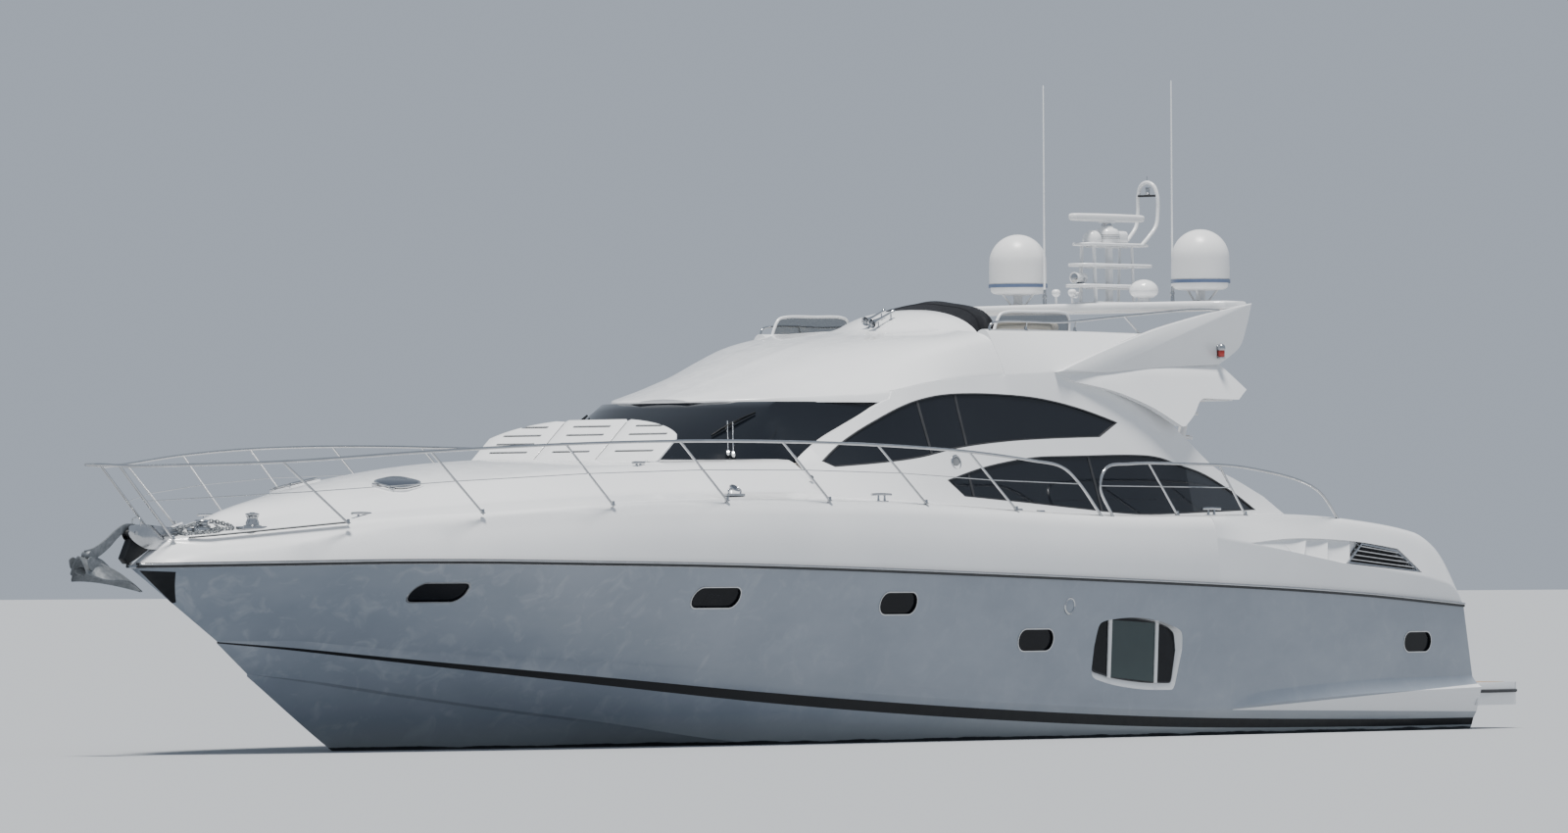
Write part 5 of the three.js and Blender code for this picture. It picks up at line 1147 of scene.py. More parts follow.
def add_scallops(vent):
    """Shallow shells in the air intake that overlap towards the louvre."""
    shells = []
    edges = [(-5.75, -5.95), (-6.30, -6.15), (-6.75, -6.62), (-7.20, -7.08)]
    for (top_a, low_a), (top_b, low_b) in zip(edges, edges[1:]):
        rows = []
        for s in steps(0, 1, 10):
            row = []
            for t in steps(0, 1, 9):
                x = (top_a + (top_b - top_a) * s) * t + (low_a + (low_b - low_a) * s) * (1 - t)
                low, high = span_at(vent, x)
                z = low + (high - low) * t
                row.append((x, quarter_y(x, z) - vent_depth(x) + 0.004 + 0.040 * s ** 2, z))
            rows.append(row)
        skin = loft("shell", rows, WHITE, 60, caps=False, closed=False)
        thicken(skin, 0.012)
        shells.append(skin)
    shell = merge("intake_scallops", shells)
    shade(shell, 40)
    pair(shell, "gelcoat")


def add_rub_rails():
    """Dark rubbing strake with a bright half-round along the knuckle."""
    base, bright = [], []
    section = ((-0.025, -0.026), (0.016, -0.026), (0.022, -0.018), (0.022, 0.022), (-0.025, 0.026))
    half_turn = [math.pi * (n / 6 - 0.5) for n in range(7)]
    for x in sorted(set(steps(STERN_X, 9.0, 70) + steps(9.0, 10.72, 30))):
        y, z = at(RAIL, "y", x), at(RAIL, "z", x)
        base.append([(x, y + out, z + up) for out, up in section])
        bright.append([(x, y + 0.028 + 0.017 * math.cos(a) - 0.012, z + 0.010 + 0.012 * math.sin(a))
                       for a in half_turn])
    pair(loft("rub_rail", base, RUBBER, 40), "steel", "rub_rail")
    pair(loft("rub_rail_strip", bright, STEEL, 60), "steel")


# House

def brow(x):
    """Half breadth and height of the crease where the house side meets the roof."""
    if x > FLY_FRONT_X:
        return at(COWL, "browY", x), at(COWL, "browZ", x)
    crease = at(FLY, "crease", x)
    return fly_y(x, crease), crease


def fly_y(x, z):
    """Half breadth of the flybridge's outer side below its shoulder line."""
    flare = at(FLY, "flare", x)
    return side_y(x, z) + 0.014 + flare * (at(FLY, "crease", x) - z) + flare * 0.35


def house_y(x, z):
    """House side, eased outward at its top to meet the crease of the roof."""
    inner = side_y(x, z)
    if x > 0.25 or x < -2.6:
        return inner
    brow_y, brow_z = brow(x)
    return inner + (brow_y - side_y(x, brow_z)) * smooth(z, 3.62, brow_z)


UPPER_WINDOW = (
    (1.60, 3.02),
    [(1.15, 3.24), (0.67, 3.44), (0.19, 3.615), (-0.20, 3.71), (-0.62, 3.76), (-1.23, 3.77), (-1.94, 3.74),
     (-2.46, 3.68), (-2.97, 3.585), (-3.46, 3.465)],
    (-3.08, 3.30),
    [(-2.18, 3.277), (-1.38, 3.24), (-0.59, 3.17), (0.12, 3.06), (0.75, 3.0), (1.46, 2.955)])
LOWER_WINDOW = (
    (-0.22, 2.82),
    [(-0.83, 2.95), (-1.37, 3.03), (-1.90, 3.08), (-2.61, 3.095), (-3.52, 3.11), (-4.06, 3.09), (-4.49, 3.00),
     (-4.93, 2.90), (-5.43, 2.70), (-5.82, 2.50)],
    [(-4.98, 2.475), (-3.57, 2.445), (-2.42, 2.51), (-1.55, 2.57), (-0.45, 2.64)])


def add_house_sides():
    """House sides up to the roof's crease, with their windows, seals and mullions."""
    base = [(x, at(QUARTER, "topZ", x) - 0.03) for x in (-6.43, -5.9, -5.3, -4.9, -4.5)]
    deck = [(x, at(DECK, "deckZ", x) - 0.03) for x in steps(-3.6, 1.3, 16)]
    top = [(x, brow(x)[1]) for x in steps(0.235, -2.44, 18)]
    ring = outline(*base, *deck, (1.896, 2.60), (1.896, 3.03),
                   [(1.42, 3.25), (1.04, 3.40), (0.74, 3.52), (0.43, 3.66)], (0.30, 3.70), *top, (-2.9, 3.90),
                   (-4.65, 3.74), [(-4.48, 3.48), (-4.75, 3.25), (-5.14, 2.98), (-5.57, 2.82), (-6.01, 2.65)])
    windows = [outline(*UPPER_WINDOW), outline(*LOWER_WINDOW)]
    pair(sheet("house_side", ring, house_y, 0.055, WHITE, windows, 0.13, 0.07, 50), "gelcoat", "house_side")
    for name, window in zip(("upper", "lower"), windows):
        glass = sheet(f"{name}_glass", offset(window, -0.012), inset_by(house_y, 0.016), 0.008, GLASS,
                      spacing=0.2, edge=0.1)
        if name == "lower":
            aft = duplicate(glass, "lower_glass_aft")
            cut(glass, box_piece("aft", (-7, 1, 2), (-4.60, 3, 4)))
            cut(aft, box_piece("front", (-4.603, 1, 2), (0, 3, 4)))
            aft.data.materials[0] = CLEAR
            pair(aft, "glass")
        pair(glass, "glass", f"{name}_glass")
        pair(strip(f"{name}_seal", offset(window, -0.001), inset_by(house_y, 0.012), 0.016, 0.010, RUBBER),
             "glass")
    bars = [mullion(top_x, low_x, window) for top_x, low_x, window in (
        (-0.10, -0.10, windows[0]), (-0.72, -0.72, windows[0]), (-2.81, -2.88, windows[1]),
        (-0.63, -0.63, windows[1]))]
    pair(merge("side_mullions", bars), "glass")


def mullion(top_x, low_x, window):
    """Mullion that spans a window's height, in its plane."""
    half = 0.018
    low, high = span_at(window, (low_x + top_x) / 2)
    low, high = low + 0.004, high - 0.004
    corners = vectors((low_x - half, low), (low_x + half, low), (top_x + half, high), (top_x - half, high))
    return sheet("mullion", corners, inset_by(house_y, 0.011), 0.01, RUBBER, spacing=0.3, edge=0.1)


# Roof and flybridge

def hood_z(x, y):
    """Height of the upper helm's hood."""
    if x > -0.8:
        return -10
    station = min(max(x, -2.05), -1.0)
    half, top, foot = at(HOOD, "half", station), at(HOOD, "top", station), at(HOOD, "foot", station)
    if x > -1.0:
        half, top = half * (1 - (x + 1.0) / 0.45), top - (x + 1.0) * 0.8
    if half <= 0.05:
        return -10
    part = min(abs(y - HELM_Y) / half, 1.2)
    return foot + (top - foot) * max(0, 1 - part ** 2.2) ** 0.5 if part < 1 else foot - 2.0 * (part - 1)


def soft_max(a, b, width):
    """The higher of two heights, blended over a width."""
    t = min(max(0.5 + (a - b) / (2 * width), 0), 1)
    return b + (a - b) * t + width * t * (1 - t)


def cowl_half(x):
    """Port half of the roof from its lower edge to the crown."""
    brow_y, brow_z, shoulder_y, shoulder_z, crown = (
        at(COWL, key, x) for key in ("browY", "browZ", "shoulderY", "shoulderZ", "crown"))
    under, edge = (EAVES_Z, brow_y - 0.06) if x < 0.25 else (COWL_UNDER, at(COWL, "edgeY", x))
    corners = [
        (x, edge, under), (x, brow_y, max(brow_z, under + 0.008)),
        (x, (brow_y + shoulder_y) / 2 + 0.025, (brow_z + shoulder_z) / 2), (x, shoulder_y, shoulder_z),
        (x, shoulder_y * 0.55, crown - (crown - shoulder_z) * 0.22), (x, 0, crown)]
    return fillet(corners, [0.018, 0.25, 0.32, 0.5], 6)


def add_cowl():
    """Roof over the saloon's front with the hood of the upper helm grown out of it."""
    rings = []
    for x in sorted(steps(-1.6, 0.24, 30) + steps(0.26, 1.9, 26) + [1.95, 2.0, 2.03, 2.05, 2.06]):
        half = cowl_half(x)
        split = next(i for i, p in enumerate(half) if p.z >= at(COWL, "shoulderZ", x) - 0.02)
        low = resampled_line([*half[1:split], half[split]], 18)[:-1]
        ring = both_sides([half[0], *low, *resampled_line(half[split:], 30)])
        browed = at(COWL, "browZ", x) + 0.05
        rings.append([Vector((p.x, p.y, soft_max(p.z, hood_z(p.x, p.y), 0.05))) if p.z > browed else p
                      for p in ring])
    cowl = loft("roof_front", rings, WHITE, 28)
    hood = []
    for x in steps(-2.05, -1.58, 14):
        half = at(HOOD, "half", x)
        port = [Vector((x, half, 3.90))]
        for a in steps(math.pi / 2, 0.0, 28):
            y = half * math.sin(a) ** 0.7
            port.append(Vector((x, y, max(hood_z(x, HELM_Y + min(y, half * 0.9999)), 4.2))))
        hood.append([p + Vector((0, HELM_Y, 0)) for p in both_sides(port)])
    back = loft("hood_back", hood, WHITE, 40)
    finish_piece(merge("roof_front", [cowl, back]), "gelcoat", "flybridge_cowl")


def run_of(points):
    """Distance along an open line at each of its points."""
    lengths = [0.0]
    for p, q in zip(points, points[1:]):
        lengths.append(lengths[-1] + (q - p).length)
    return lengths


def resampled_line(points, count):
    """Open line with evenly spaced points."""
    lengths = run_of(points)
    result = []
    i = 0
    for target in steps(0, lengths[-1], count):
        while i < len(points) - 2 and lengths[i + 1] < target:
            i += 1
        span = max(lengths[i + 1] - lengths[i], 1e-9)
        result.append(points[i].lerp(points[i + 1], min(max((target - lengths[i]) / span, 0), 1)))
    return result


def fly_ring(x):
    """Ring of the port coaming: shoulder, top, well wall and underside."""
    crease = at(FLY, "crease", x)
    top_y, top_z = at(FLY, "topY", x), at(FLY, "topZ", x)
    crease_y = fly_y(x, crease)
    corners = [
        (x, crease_y - 0.07, EAVES_Z + 0.005), (x, crease_y - 0.035, crease - 0.10), (x, crease_y, crease),
        (x, (crease_y + top_y) / 2 + 0.02, (crease + top_z) / 2), (x, top_y, top_z),
        (x, top_y - 0.08, top_z), (x, FLY_WELL_HALF, top_z - 0.06), (x, FLY_WELL_HALF, EAVES_Z + 0.005)]
    ring = fillet(corners, [0, 0.02, 0.25, 0.06, 0.04, 0.03], 5)
    return [Vector((max(p.x, -5.87 + 0.45 * min(max((p.z - 3.85) / 0.34, 0), 1)), p.y, p.z)) for p in ring]


def wing_y(x, z):
    """Half breadth of the wing, tucked in under its crease."""
    crease = at(FLY, "crease", x)
    return fly_y(x, z) - 0.05 * smooth(z, crease - 0.09, crease) * smooth(x, -2.5, -3.4)


def add_flybridge():
    """Coamings, wings and fins of the flybridge."""
    coaming = loft("coaming", [fly_ring(x) for x in steps(-5.87, -1.6, 44)], WHITE, 28)
    crease = [(x, at(FLY, "crease", x)) for x in (-5.42, -4.44, -3.9, -3.34, -2.9)]
    wing = outline(
        (-2.42, 4.012), (-2.79, 3.905), [(-3.38, 3.81), (-3.95, 3.64), (-4.36, 3.445)],
        [(-4.41, 3.425), (-4.47, 3.43)], [(-4.70, 3.56), (-4.93, 3.73), (-5.2, 3.74)], (-5.66, 3.735),
        (-5.87, 3.85), *crease)
    side = sheet("wing", wing, wing_y, 0.09, WHITE, spacing=0.1, edge=0.06, sharp=50)
    fin_ring = outline(
        (-2.45, 4.02), [(-3.30, 4.262), (-4.30, 4.515), (-5.23, 4.69)], (-6.12, 4.825),
        [(-6.0, 4.56), (-5.85, 4.33), (-5.56, 4.18)], (-5.44, 4.13), (-4.44, 4.09), (-3.34, 4.02))
    tilt = math.radians(3)
    fin = plate("fin", resample(fin_ring, 0.12), -0.0375, 0.0375, WHITE, plane="xz", round_edge=0.010,
                sharp=30)
    lean = Matrix.Rotation(tilt, 4, "X")
    fin.data.transform(Matrix.Translation((0, 1.925 + math.sin(tilt) * 4.2 - 0.012, 0)) @ lean)
    pair(merge("flybridge_side", [coaming, side, fin]), "gelcoat", "flybridge_side")


SCREEN_FOOT = dict(x=1.30, reach=1.64, half=1.68, power=2.6)
SCREEN_TOP = dict(x=0.16, reach=1.88, half=1.722, power=2.3)


def screen_point(turn, t, inset=0.0):
    """Point of the windscreen: turn from -1 to 1 round its bow, t from its foot to its top."""
    low, high = Vector((0, 0, 0)), Vector((0, 0, 3.668))
    angle = turn * math.pi / 2
    for point, line in ((low, SCREEN_FOOT), (high, SCREEN_TOP)):
        power = 2 / line["power"]
        point.x = line["x"] + (line["reach"] - inset) * abs(math.cos(angle)) ** power
        point.y = (line["half"] - inset) * math.copysign(abs(math.sin(angle)) ** power, turn)
    crown, trunk = deck_at("crown", max(low.x, 1.93)), deck_at("trunkZ", max(low.x, 1.93))
    low.z = crown + (trunk - crown) * min(1, abs(low.y) / 1.6) ** 2 - 0.04
    p = low.lerp(high, t) + Vector((0.045, 0, 0.02)) * math.sin(math.pi * t) * max(0, math.cos(turn * 1.5))
    if p.x < 1.9:
        p.y = math.copysign(min(abs(p.y), side_y(min(p.x, 2.2), p.z) - 0.06 - inset), p.y)
    return p


def add_windscreen():
    """One curved dark screen from the coachroof up under the roof."""
    rows = []
    for turn in steps(-0.985, 0.985, 97):
        ring = []
        for inset, order in ((0.0, 1), (0.018, -1)):
            ring += [screen_point(turn, t, inset) for t in steps(0, 1, 9)][::order]
        rows.append(ring)
    finish_piece(loft("windscreen_glass", rows, GLASS, 40), "glass", "windscreen")


# Rails

BOW_LINE = [
    (-2.5, 2.5, 2.41), (-2.05, 2.505, 2.80), (-1.75, 2.51, 2.96), (-1.2, 2.51, 3.03), (-0.08, 2.51, 3.12),
    (1.53, 2.51, 3.185), (3.15, 2.49, 3.212), (4.76, 2.39, 3.21), (6.37, 2.16, 3.172), (7.99, 1.69, 3.095),
    (9.6, 1.06, 2.99), (10.5, 0.52, 2.96), (10.9, 0.23, 2.95), (11.06, 0.125, 2.955), (11.3, 0.09, 2.965),
    (11.44, 0.0, 2.965)]
BOW_POSTS = [(8.71, 1.18, 9.6), (7.24, 1.76, 7.99), (5.63, 2.19, 6.37), (3.98, 2.40, 4.76),
             (2.34, 2.49, 3.15), (0.67, 2.50, 1.53), (-0.94, 2.50, -0.08)]
SIDE_LINE = [(-2.7, 2.5, 2.41), (-2.45, 2.505, 2.75), (-2.56, 2.505, 2.95), (-3.0, 2.505, 3.0),
             (-4.0, 2.49, 3.005), (-5.3, 2.47, 2.96), (-6.6, 2.44, 2.73), (-7.2, 2.34, 2.36)]


def deck_z(x, y):
    """Height of the side deck."""
    outer, inner = deck_at("edgeY", x), deck_at("deckY", x)
    part = min(max((outer - 0.8 * min(0.09, outer * 0.25) - y) / (outer - inner), 0), 1)
    return deck_at("edgeZ", x) + (deck_at("deckZ", x) - deck_at("edgeZ", x)) * part


def on_line(points, x):
    """Point of a rail's curve at station x, on its upper run."""
    path = catmull(points, 24, True)
    for a, b in zip(path, path[1:]):
        if (a.x - x) * (b.x - x) <= 0 and b.z > 2.9 and a.x != b.x:
            return a.lerp(b, (x - a.x) / (b.x - a.x))


def post(foot, head, radius=0.0125):
    """Stanchion with a collar at its foot."""
    foot, head = Vector(foot), Vector(head)
    base = turned("base", [(0, 0), (0.030, 0), (0.030, 0.006), (0.018, 0.012), (0.016, 0.045), (0, 0.045)],
                  foot, STEEL, 16)
    return [tube("post", [foot - (head - foot).normalized() * 0.01, head], radius, STEEL, 10), base]


def wires(points, radius=0.0045, sides=6):
    """Straight wires from point to point."""
    return [tube("wire", [a, b], radius, STEEL, sides) for a, b in zip(points, points[1:])]


def add_rails():
    """Guard rails with their stanchions and lower wires."""
    parts = [tube("rail", BOW_LINE, 0.016, STEEL, 10, 10)]
    middles = []
    for x, y, head_x in BOW_POSTS:
        foot, head = Vector((x, y, deck_z(x, y))), on_line(BOW_LINE, head_x)
        parts += post(foot, head)
        middles.append(foot.lerp(head, 0.52))
    stem, nose = Vector((10.23, 0.12, 2.205)), on_line(BOW_LINE, 11.06)
    parts += post(stem, nose, 0.015) + wires([stem.lerp(nose, 0.52), middles[0]], 0.005, 8)
    parts += wires([*middles, Vector((-2.07, 2.505, 2.78))])
    pair(merge("bow_guard_rail", parts), "steel", "bow_rail")
    parts = [tube("rail", SIDE_LINE, 0.016, STEEL, 10, 10)]
    middles = [Vector((-2.46, 2.505, 2.76))]
    for x, head_x in ((-4.02, -3.35), (-5.30, -4.70)):
        foot, head = Vector((x, 2.40, 2.44)), on_line(SIDE_LINE, head_x)
        parts += post(foot, head)
        middles.append(foot.lerp(head, 0.55))
    pair(merge("side_guard_rail", parts + wires(middles)), "steel", "side_rail")


# Masthead

ARCH_LOW, ARCH_TOP = 4.745, 4.845
SHELF_THICK = 0.036
RADAR_X = -5.98


def quadratic(a, b, c, count=16):
    """Points along a quadratic curve from a to c, without a."""
    a, b, c = Vector(a), Vector(b), Vector(c)
    return [a * (1 - t) ** 2 + b * 2 * t * (1 - t) + c * t * t
            for t in (n / count for n in range(1, count + 1))]


def hoop(name, profile, centre, finish, sides=40):
    """Ring with a closed (radius, height) profile about a vertical axis."""
    rows = [[(centre[0] + r * math.cos(a), centre[1] + r * math.sin(a), h) for r, h in profile]
            for a in circle(sides)]
    return loft(name, rows + [rows[0]], finish, 50, caps=False)


def dome_cap(radius, rise, height, start, count):
    """Round top of a dome, as (radius, height) pairs."""
    return [(radius * math.cos(a), height + rise * math.sin(a)) for a in steps(start, math.pi / 2, count)]


def add_arch():
    """Arch between the fins with its aerials and the small aerials that stand on it."""
    half = 1.886
    plan = [*vectors((-5.64, -half)), *quadratic((-5.64, -half), (-5.14, 0), (-5.64, half)),
            *vectors((-6.05, half)), *quadratic((-6.05, half), (-6.54, 0), (-6.05, -half))]
    parts = [plate("arch", plan, ARCH_LOW, ARCH_TOP, WHITE, round_edge=0.028, sharp=50)]
    foot = [(0, 4.84), (0.046, 4.84), (0.046, 4.855), (0.024, 4.862), (0.022, 4.93), (0.027, 4.935),
            (0.027, 4.965), (0.019, 4.97), (0.017, 5.03), (0, 5.03)]
    whip = [(0, 5.02), (0.0135, 5.02), (0.0135, 5.30), (0.0115, 5.31), (0.0100, 6.3), (0.0070, 7.335),
            (0.004, 7.35), (0, 7.35)]
    head = [(0, 4.84), (0.030, 4.84), (0.028, 4.852), (0.013, 4.858), (0.013, 4.935), (0.030, 4.945),
            (0.046, 4.965), (0.050, 4.985), (0.046, 5.003), (0.030, 5.018), (0, 5.024)]
    for y in (0.9, -0.9):
        parts += [turned("foot", foot, (-6.0, y, 0), STEEL, 20),
                  turned("whip", whip, (-6.0, y, 0), WHITE, 12)]
    bud = [(0, 4.955), (0.016, 4.958), (0.020, 4.972), (0.014, 4.988), (0, 4.991)]
    dome = [(0, 4.84), (0.075, 4.84), (0.075, 4.868), (0.066, 4.905), (0.110, 4.915), (0.150, 4.945),
            (0.163, 4.975), (0.166, 4.985), *dome_cap(0.165, 0.125, 4.99, 0.02, 12)]
    parts += [turned("gps", head, (-5.75, -0.55, 0), WHITE, 20),
              turned("gps", head, (-5.80, -0.36, 0), WHITE, 20),
              tube("branch", [(-5.80, -0.34, 4.93), (-5.80, -0.29, 4.93), (-5.80, -0.285, 4.96)], 0.009,
                   WHITE, 8),
              turned("bud", bud, (-5.80, -0.285, 0), WHITE, 14),
              turned("small_dome", dome, (-6.0, 0.5, 0), WHITE, 36)]
    finish_piece(merge("arch", parts), "gelcoat", "radar_arch")


def add_domes():
    """Satellite domes on their pedestals, with a dark seam above the base dish and a blue-grey band of
    painted shade just under that seam.
    """
    x, y = -6.01, 1.285
    profile = [(0, 4.8452), (0.118, 4.8452), (0.118, 4.856), (0.062, 4.868), (0.052, 4.884), (0.052, 4.965),
               (0.235, 4.982), (0.282, 4.992), (0.306, 5.013), (0.318, 5.086), (0.334, 5.090), (0.334, 5.100),
               (0.3235, 5.101), (0.3235, 5.106), (0.3275, 5.107), (0.329, 5.22),
               *dome_cap(0.3265, 0.328, 5.335, 0.0, 16)]
    parts = [turned("satellite_dome", profile, (x, y, 0), DOME, 56, sharp=40)]
    # a dark seam, then a blue-grey band of painted shade below it
    for low, high, inner, outer, finish in ((5.1015, 5.1055, 0.3235, 0.3262, SEAM),
                                            (5.058, 5.098, 0.3335, 0.3362, DOME_SHADE_BAND)):
        profile = [(inner, low), (outer, low), (outer, high), (inner, high)]
        parts.append(hoop("ring", profile, (x, y), finish, 56))
    for n in range(12):
        a = 2 * math.pi * (n + 0.5) / 12
        parts.append(turned("screw", [(0, 5.099), (0.006, 5.099), (0.005, 5.103), (0, 5.104)],
                            (x + 0.3285 * math.cos(a), y + 0.3285 * math.sin(a), 0), STEEL, 10))
    for a in (0.4, 2.5, 4.6):
        c, s = math.cos(a), math.sin(a)
        leg = [(x + reach * c, y + reach * s, z) for reach, z in ((0.09, 4.85), (0.20, 4.985))]
        parts.append(tube("leg", leg, 0.014, DOME, 8))
    pair(merge("satellite_dome", parts), "gelcoat", "satellite_dome")


def add_mast():
    """Radar mast: shelves on a central post, struts, a pedestal, the light hoop and a searchlight."""
    parts = []
    for z, front, aft, half in ((5.500, -5.45, -6.65, 0.15), (5.265, -5.38, -6.70, 0.17),
                                (5.030, -5.35, -6.48, 0.19)):
        ring = rounded_rect(front - aft, half * 2, half * 0.8, 8, ((front + aft) / 2, 0))
        parts.append(plate("shelf", ring, z, z + SHELF_THICK, WHITE, round_edge=0.012, sharp=50))
    oval = [Vector((-6.07 + 0.05 + 0.055 * math.cos(a), 0.038 * math.sin(a))) for a in circle(20)]
    parts.append(plate("post", oval, ARCH_TOP, 5.52, WHITE))
    for y0, y1 in ((-0.11, -0.085), (0.11, 0.085)):
        for x, radius in ((-5.62, 0.021), (-6.34, 0.017)):
            parts.append(tube("strut", [(x, y0, ARCH_TOP), (x, y1, 5.51)], radius, WHITE, 12))
    base = rounded_rect(0.72, 0.40, 0.06, 6, (-5.92, 0))
    drum = [(0, 5.53), (0.128, 5.53), (0.140, 5.545), (0.146, 5.60), (0.143, 5.655), (0.120, 5.69),
            (0.075, 5.708), (0.07, 5.72), (0, 5.72)]
    dome = [(0, 5.53), *dome_cap(0.108, 0.108, 5.575, -0.35, 12)]
    parts += [plate("base", base, ARCH_TOP + 0.0004, ARCH_TOP + 0.022, WHITE, round_edge=0.008),
              turned("pedestal", drum, (RADAR_X, 0, 0), WHITE, 40, 45),
              plate("motor", rounded_rect(0.26, 0.20, 0.06, 6, (-6.16, 0)), 5.53, 5.675, WHITE,
                    round_edge=0.04, sharp=50),
              turned("front_dome", dome, (-5.70, 0.0, 0), WHITE, 32, 50)]
    for n in range(3):
        rib = [(r, z + 0.02 * n) for r, z in ((0.1465, 5.585), (0.1485, 5.588), (0.1465, 5.591))]
        parts.append(hoop("rib", rib, (RADAR_X, 0), SEAM, 40))
    leg = [(-6.47, 0.13, 5.52), (-6.60, 0.135, 5.62), (-6.73, 0.14, 5.745), (-6.765, 0.14, 5.90),
           (-6.765, 0.135, 6.08), (-6.755, 0.09, 6.20), (-6.75, 0, 6.24)]
    other = [(x, -y, z) for x, y, z in reversed(leg[:-1])]
    lamp = [(0, 6.10), (0.030, 6.10), (0.032, 6.115), (0.026, 6.12), (0.026, 6.165), (0.032, 6.17),
            (0.028, 6.185), (0, 6.19)]
    light = [(0, -0.10), (0.042, -0.10), (0.052, -0.085), (0.056, 0.02), (0.060, 0.085), (0.064, 0.092),
             (0.064, 0.104), (0.056, 0.106), (0.052, 0.098), (0, 0.098)]
    lens = [(0, 0.0985), (0.050, 0.0985), (0.045, 0.104), (0.02, 0.109), (0, 0.110)]
    yoke = [(-5.47, y, z) for y, z in ((-0.064, 5.135), (-0.066, 5.09), (-0.05, 5.072), (0.05, 5.072),
                                       (0.066, 5.09), (0.064, 5.135))]
    swivel = [(0, 5.064), (0.05, 5.064), (0.045, 5.076), (0, 5.080)]
    parts += [tube("hoop", leg + other, 0.022, WHITE, 14, 8),
              plate("bracket", rounded_rect(0.05, 0.26, 0.01, 3, (-6.765, 0)), 6.075, 6.10, RUBBER,
                    round_edge=0.004),
              turned("lamp", lamp, (-6.765, 0, 0), STEEL, 24),
              tube("spike", [(-6.75, 0, 6.24), (-6.75, 0, 6.31)], 0.005, STEEL, 8),
              turned("searchlight", light, (-5.46, 0, 5.135), WHITE, 32, 40, (1, 0, 0)),
              turned("lens", lens, (-5.46, 0, 5.135), STEEL, 28, 60, (1, 0, 0)),
              tube("yoke", yoke, 0.009, STEEL, 8, straight=True),
              turned("swivel", swivel, (-5.47, 0, 0), STEEL, 24)]
    for z in (5.02, 5.255, 5.49):
        for y in (-0.06, 0.06):
            parts.append(tube("brace", [(-5.66, y, z), (-6.30, y, z)], 0.008, WHITE, 8))
    finish_piece(merge("radar_mast", parts), "gelcoat", "mast")


def add_scanner():
    """Turning bar of the radar on its hub."""
    half = [(0.665, 0.030, 0.040), (0.66, 0.044, 0.060), (0.645, 0.054, 0.072), (0.60, 0.060, 0.082),
            (0.2, 0.065, 0.090)]
    rows = []
    for x, wide, tall in [(-x, wide, tall) for x, wide, tall in half] + half[::-1]:
        ring = rounded_rect(wide * 2, tall, min(wide, tall / 2) * 0.7, 6)
        rows.append([(RADAR_X + x, p.x, 5.823 + p.y) for p in ring])
    hub = [(0, 5.7205), (0.062, 5.7205), (0.066, 5.73), (0.060, 5.745), (0.050, 5.77), (0.055, 5.79),
           (0, 5.79)]
    parts = [loft("bar", rows, DOME, 50), turned("hub", hub, (RADAR_X, 0, 0), STEEL, 32),
             plate("collar", rounded_rect(0.20, 0.115, 0.03, 5, (RADAR_X, 0)), 5.765, 5.79, WHITE,
                   round_edge=0.006)]
    finish_piece(merge("scanner_bar", parts), "gelcoat", "radar_scanner", body="scanner")


# Foredeck

HINGE_AT = Vector((3.8, 0, 2.995))
BOARD_LENGTH, BOARD_LEAN, BOARD_THICK = 0.79, 37, 0.026
SEAM_Y, BOARD_HALF = 0.43, 1.30


def board_turn():
    """Places a board that is drawn with x across and y up its length onto its hinge."""
    lean = math.radians(90 - BOARD_LEAN)
    upright = Matrix(((0, 0, 1, 0), (1, 0, 0, 0), (0, 1, 0, 0), (0, 0, 0, 1)))
    return Matrix.Translation(HINGE_AT) @ Matrix.Rotation(-lean, 4, "Y") @ upright


def board_ring(low, high, low_share, high_share):
    """Outline of a backrest board with soft corners, its outer edge lower where its share is under 1."""
    low, high, foot, tall = low + 0.004, high - 0.004, 0.017, BOARD_LENGTH
    points = [(low + 0.02, foot), (high - 0.02, foot), (high, foot + 0.02)]
    if high_share < 1:
        curve = quadratic((high, tall * high_share), (high - 0.246, tall * 0.9), (low + 0.03, tall - 0.003),
                          12)
        points += [(high, tall * high_share - 0.03), *curve, (low, tall - 0.03)]
    elif low_share < 1:
        curve = quadratic((high - 0.03, tall - 0.003), (low + 0.246, tall * 0.9), (low, tall * low_share), 12)
        points += [(high, tall - 0.03), *curve, (low, tall * low_share - 0.03)]
    else:
        points += [(high, tall - 0.03), (high - 0.03, tall), (low + 0.03, tall), (low, tall - 0.03)]
    return vectors(*points, (low, foot + 0.02))


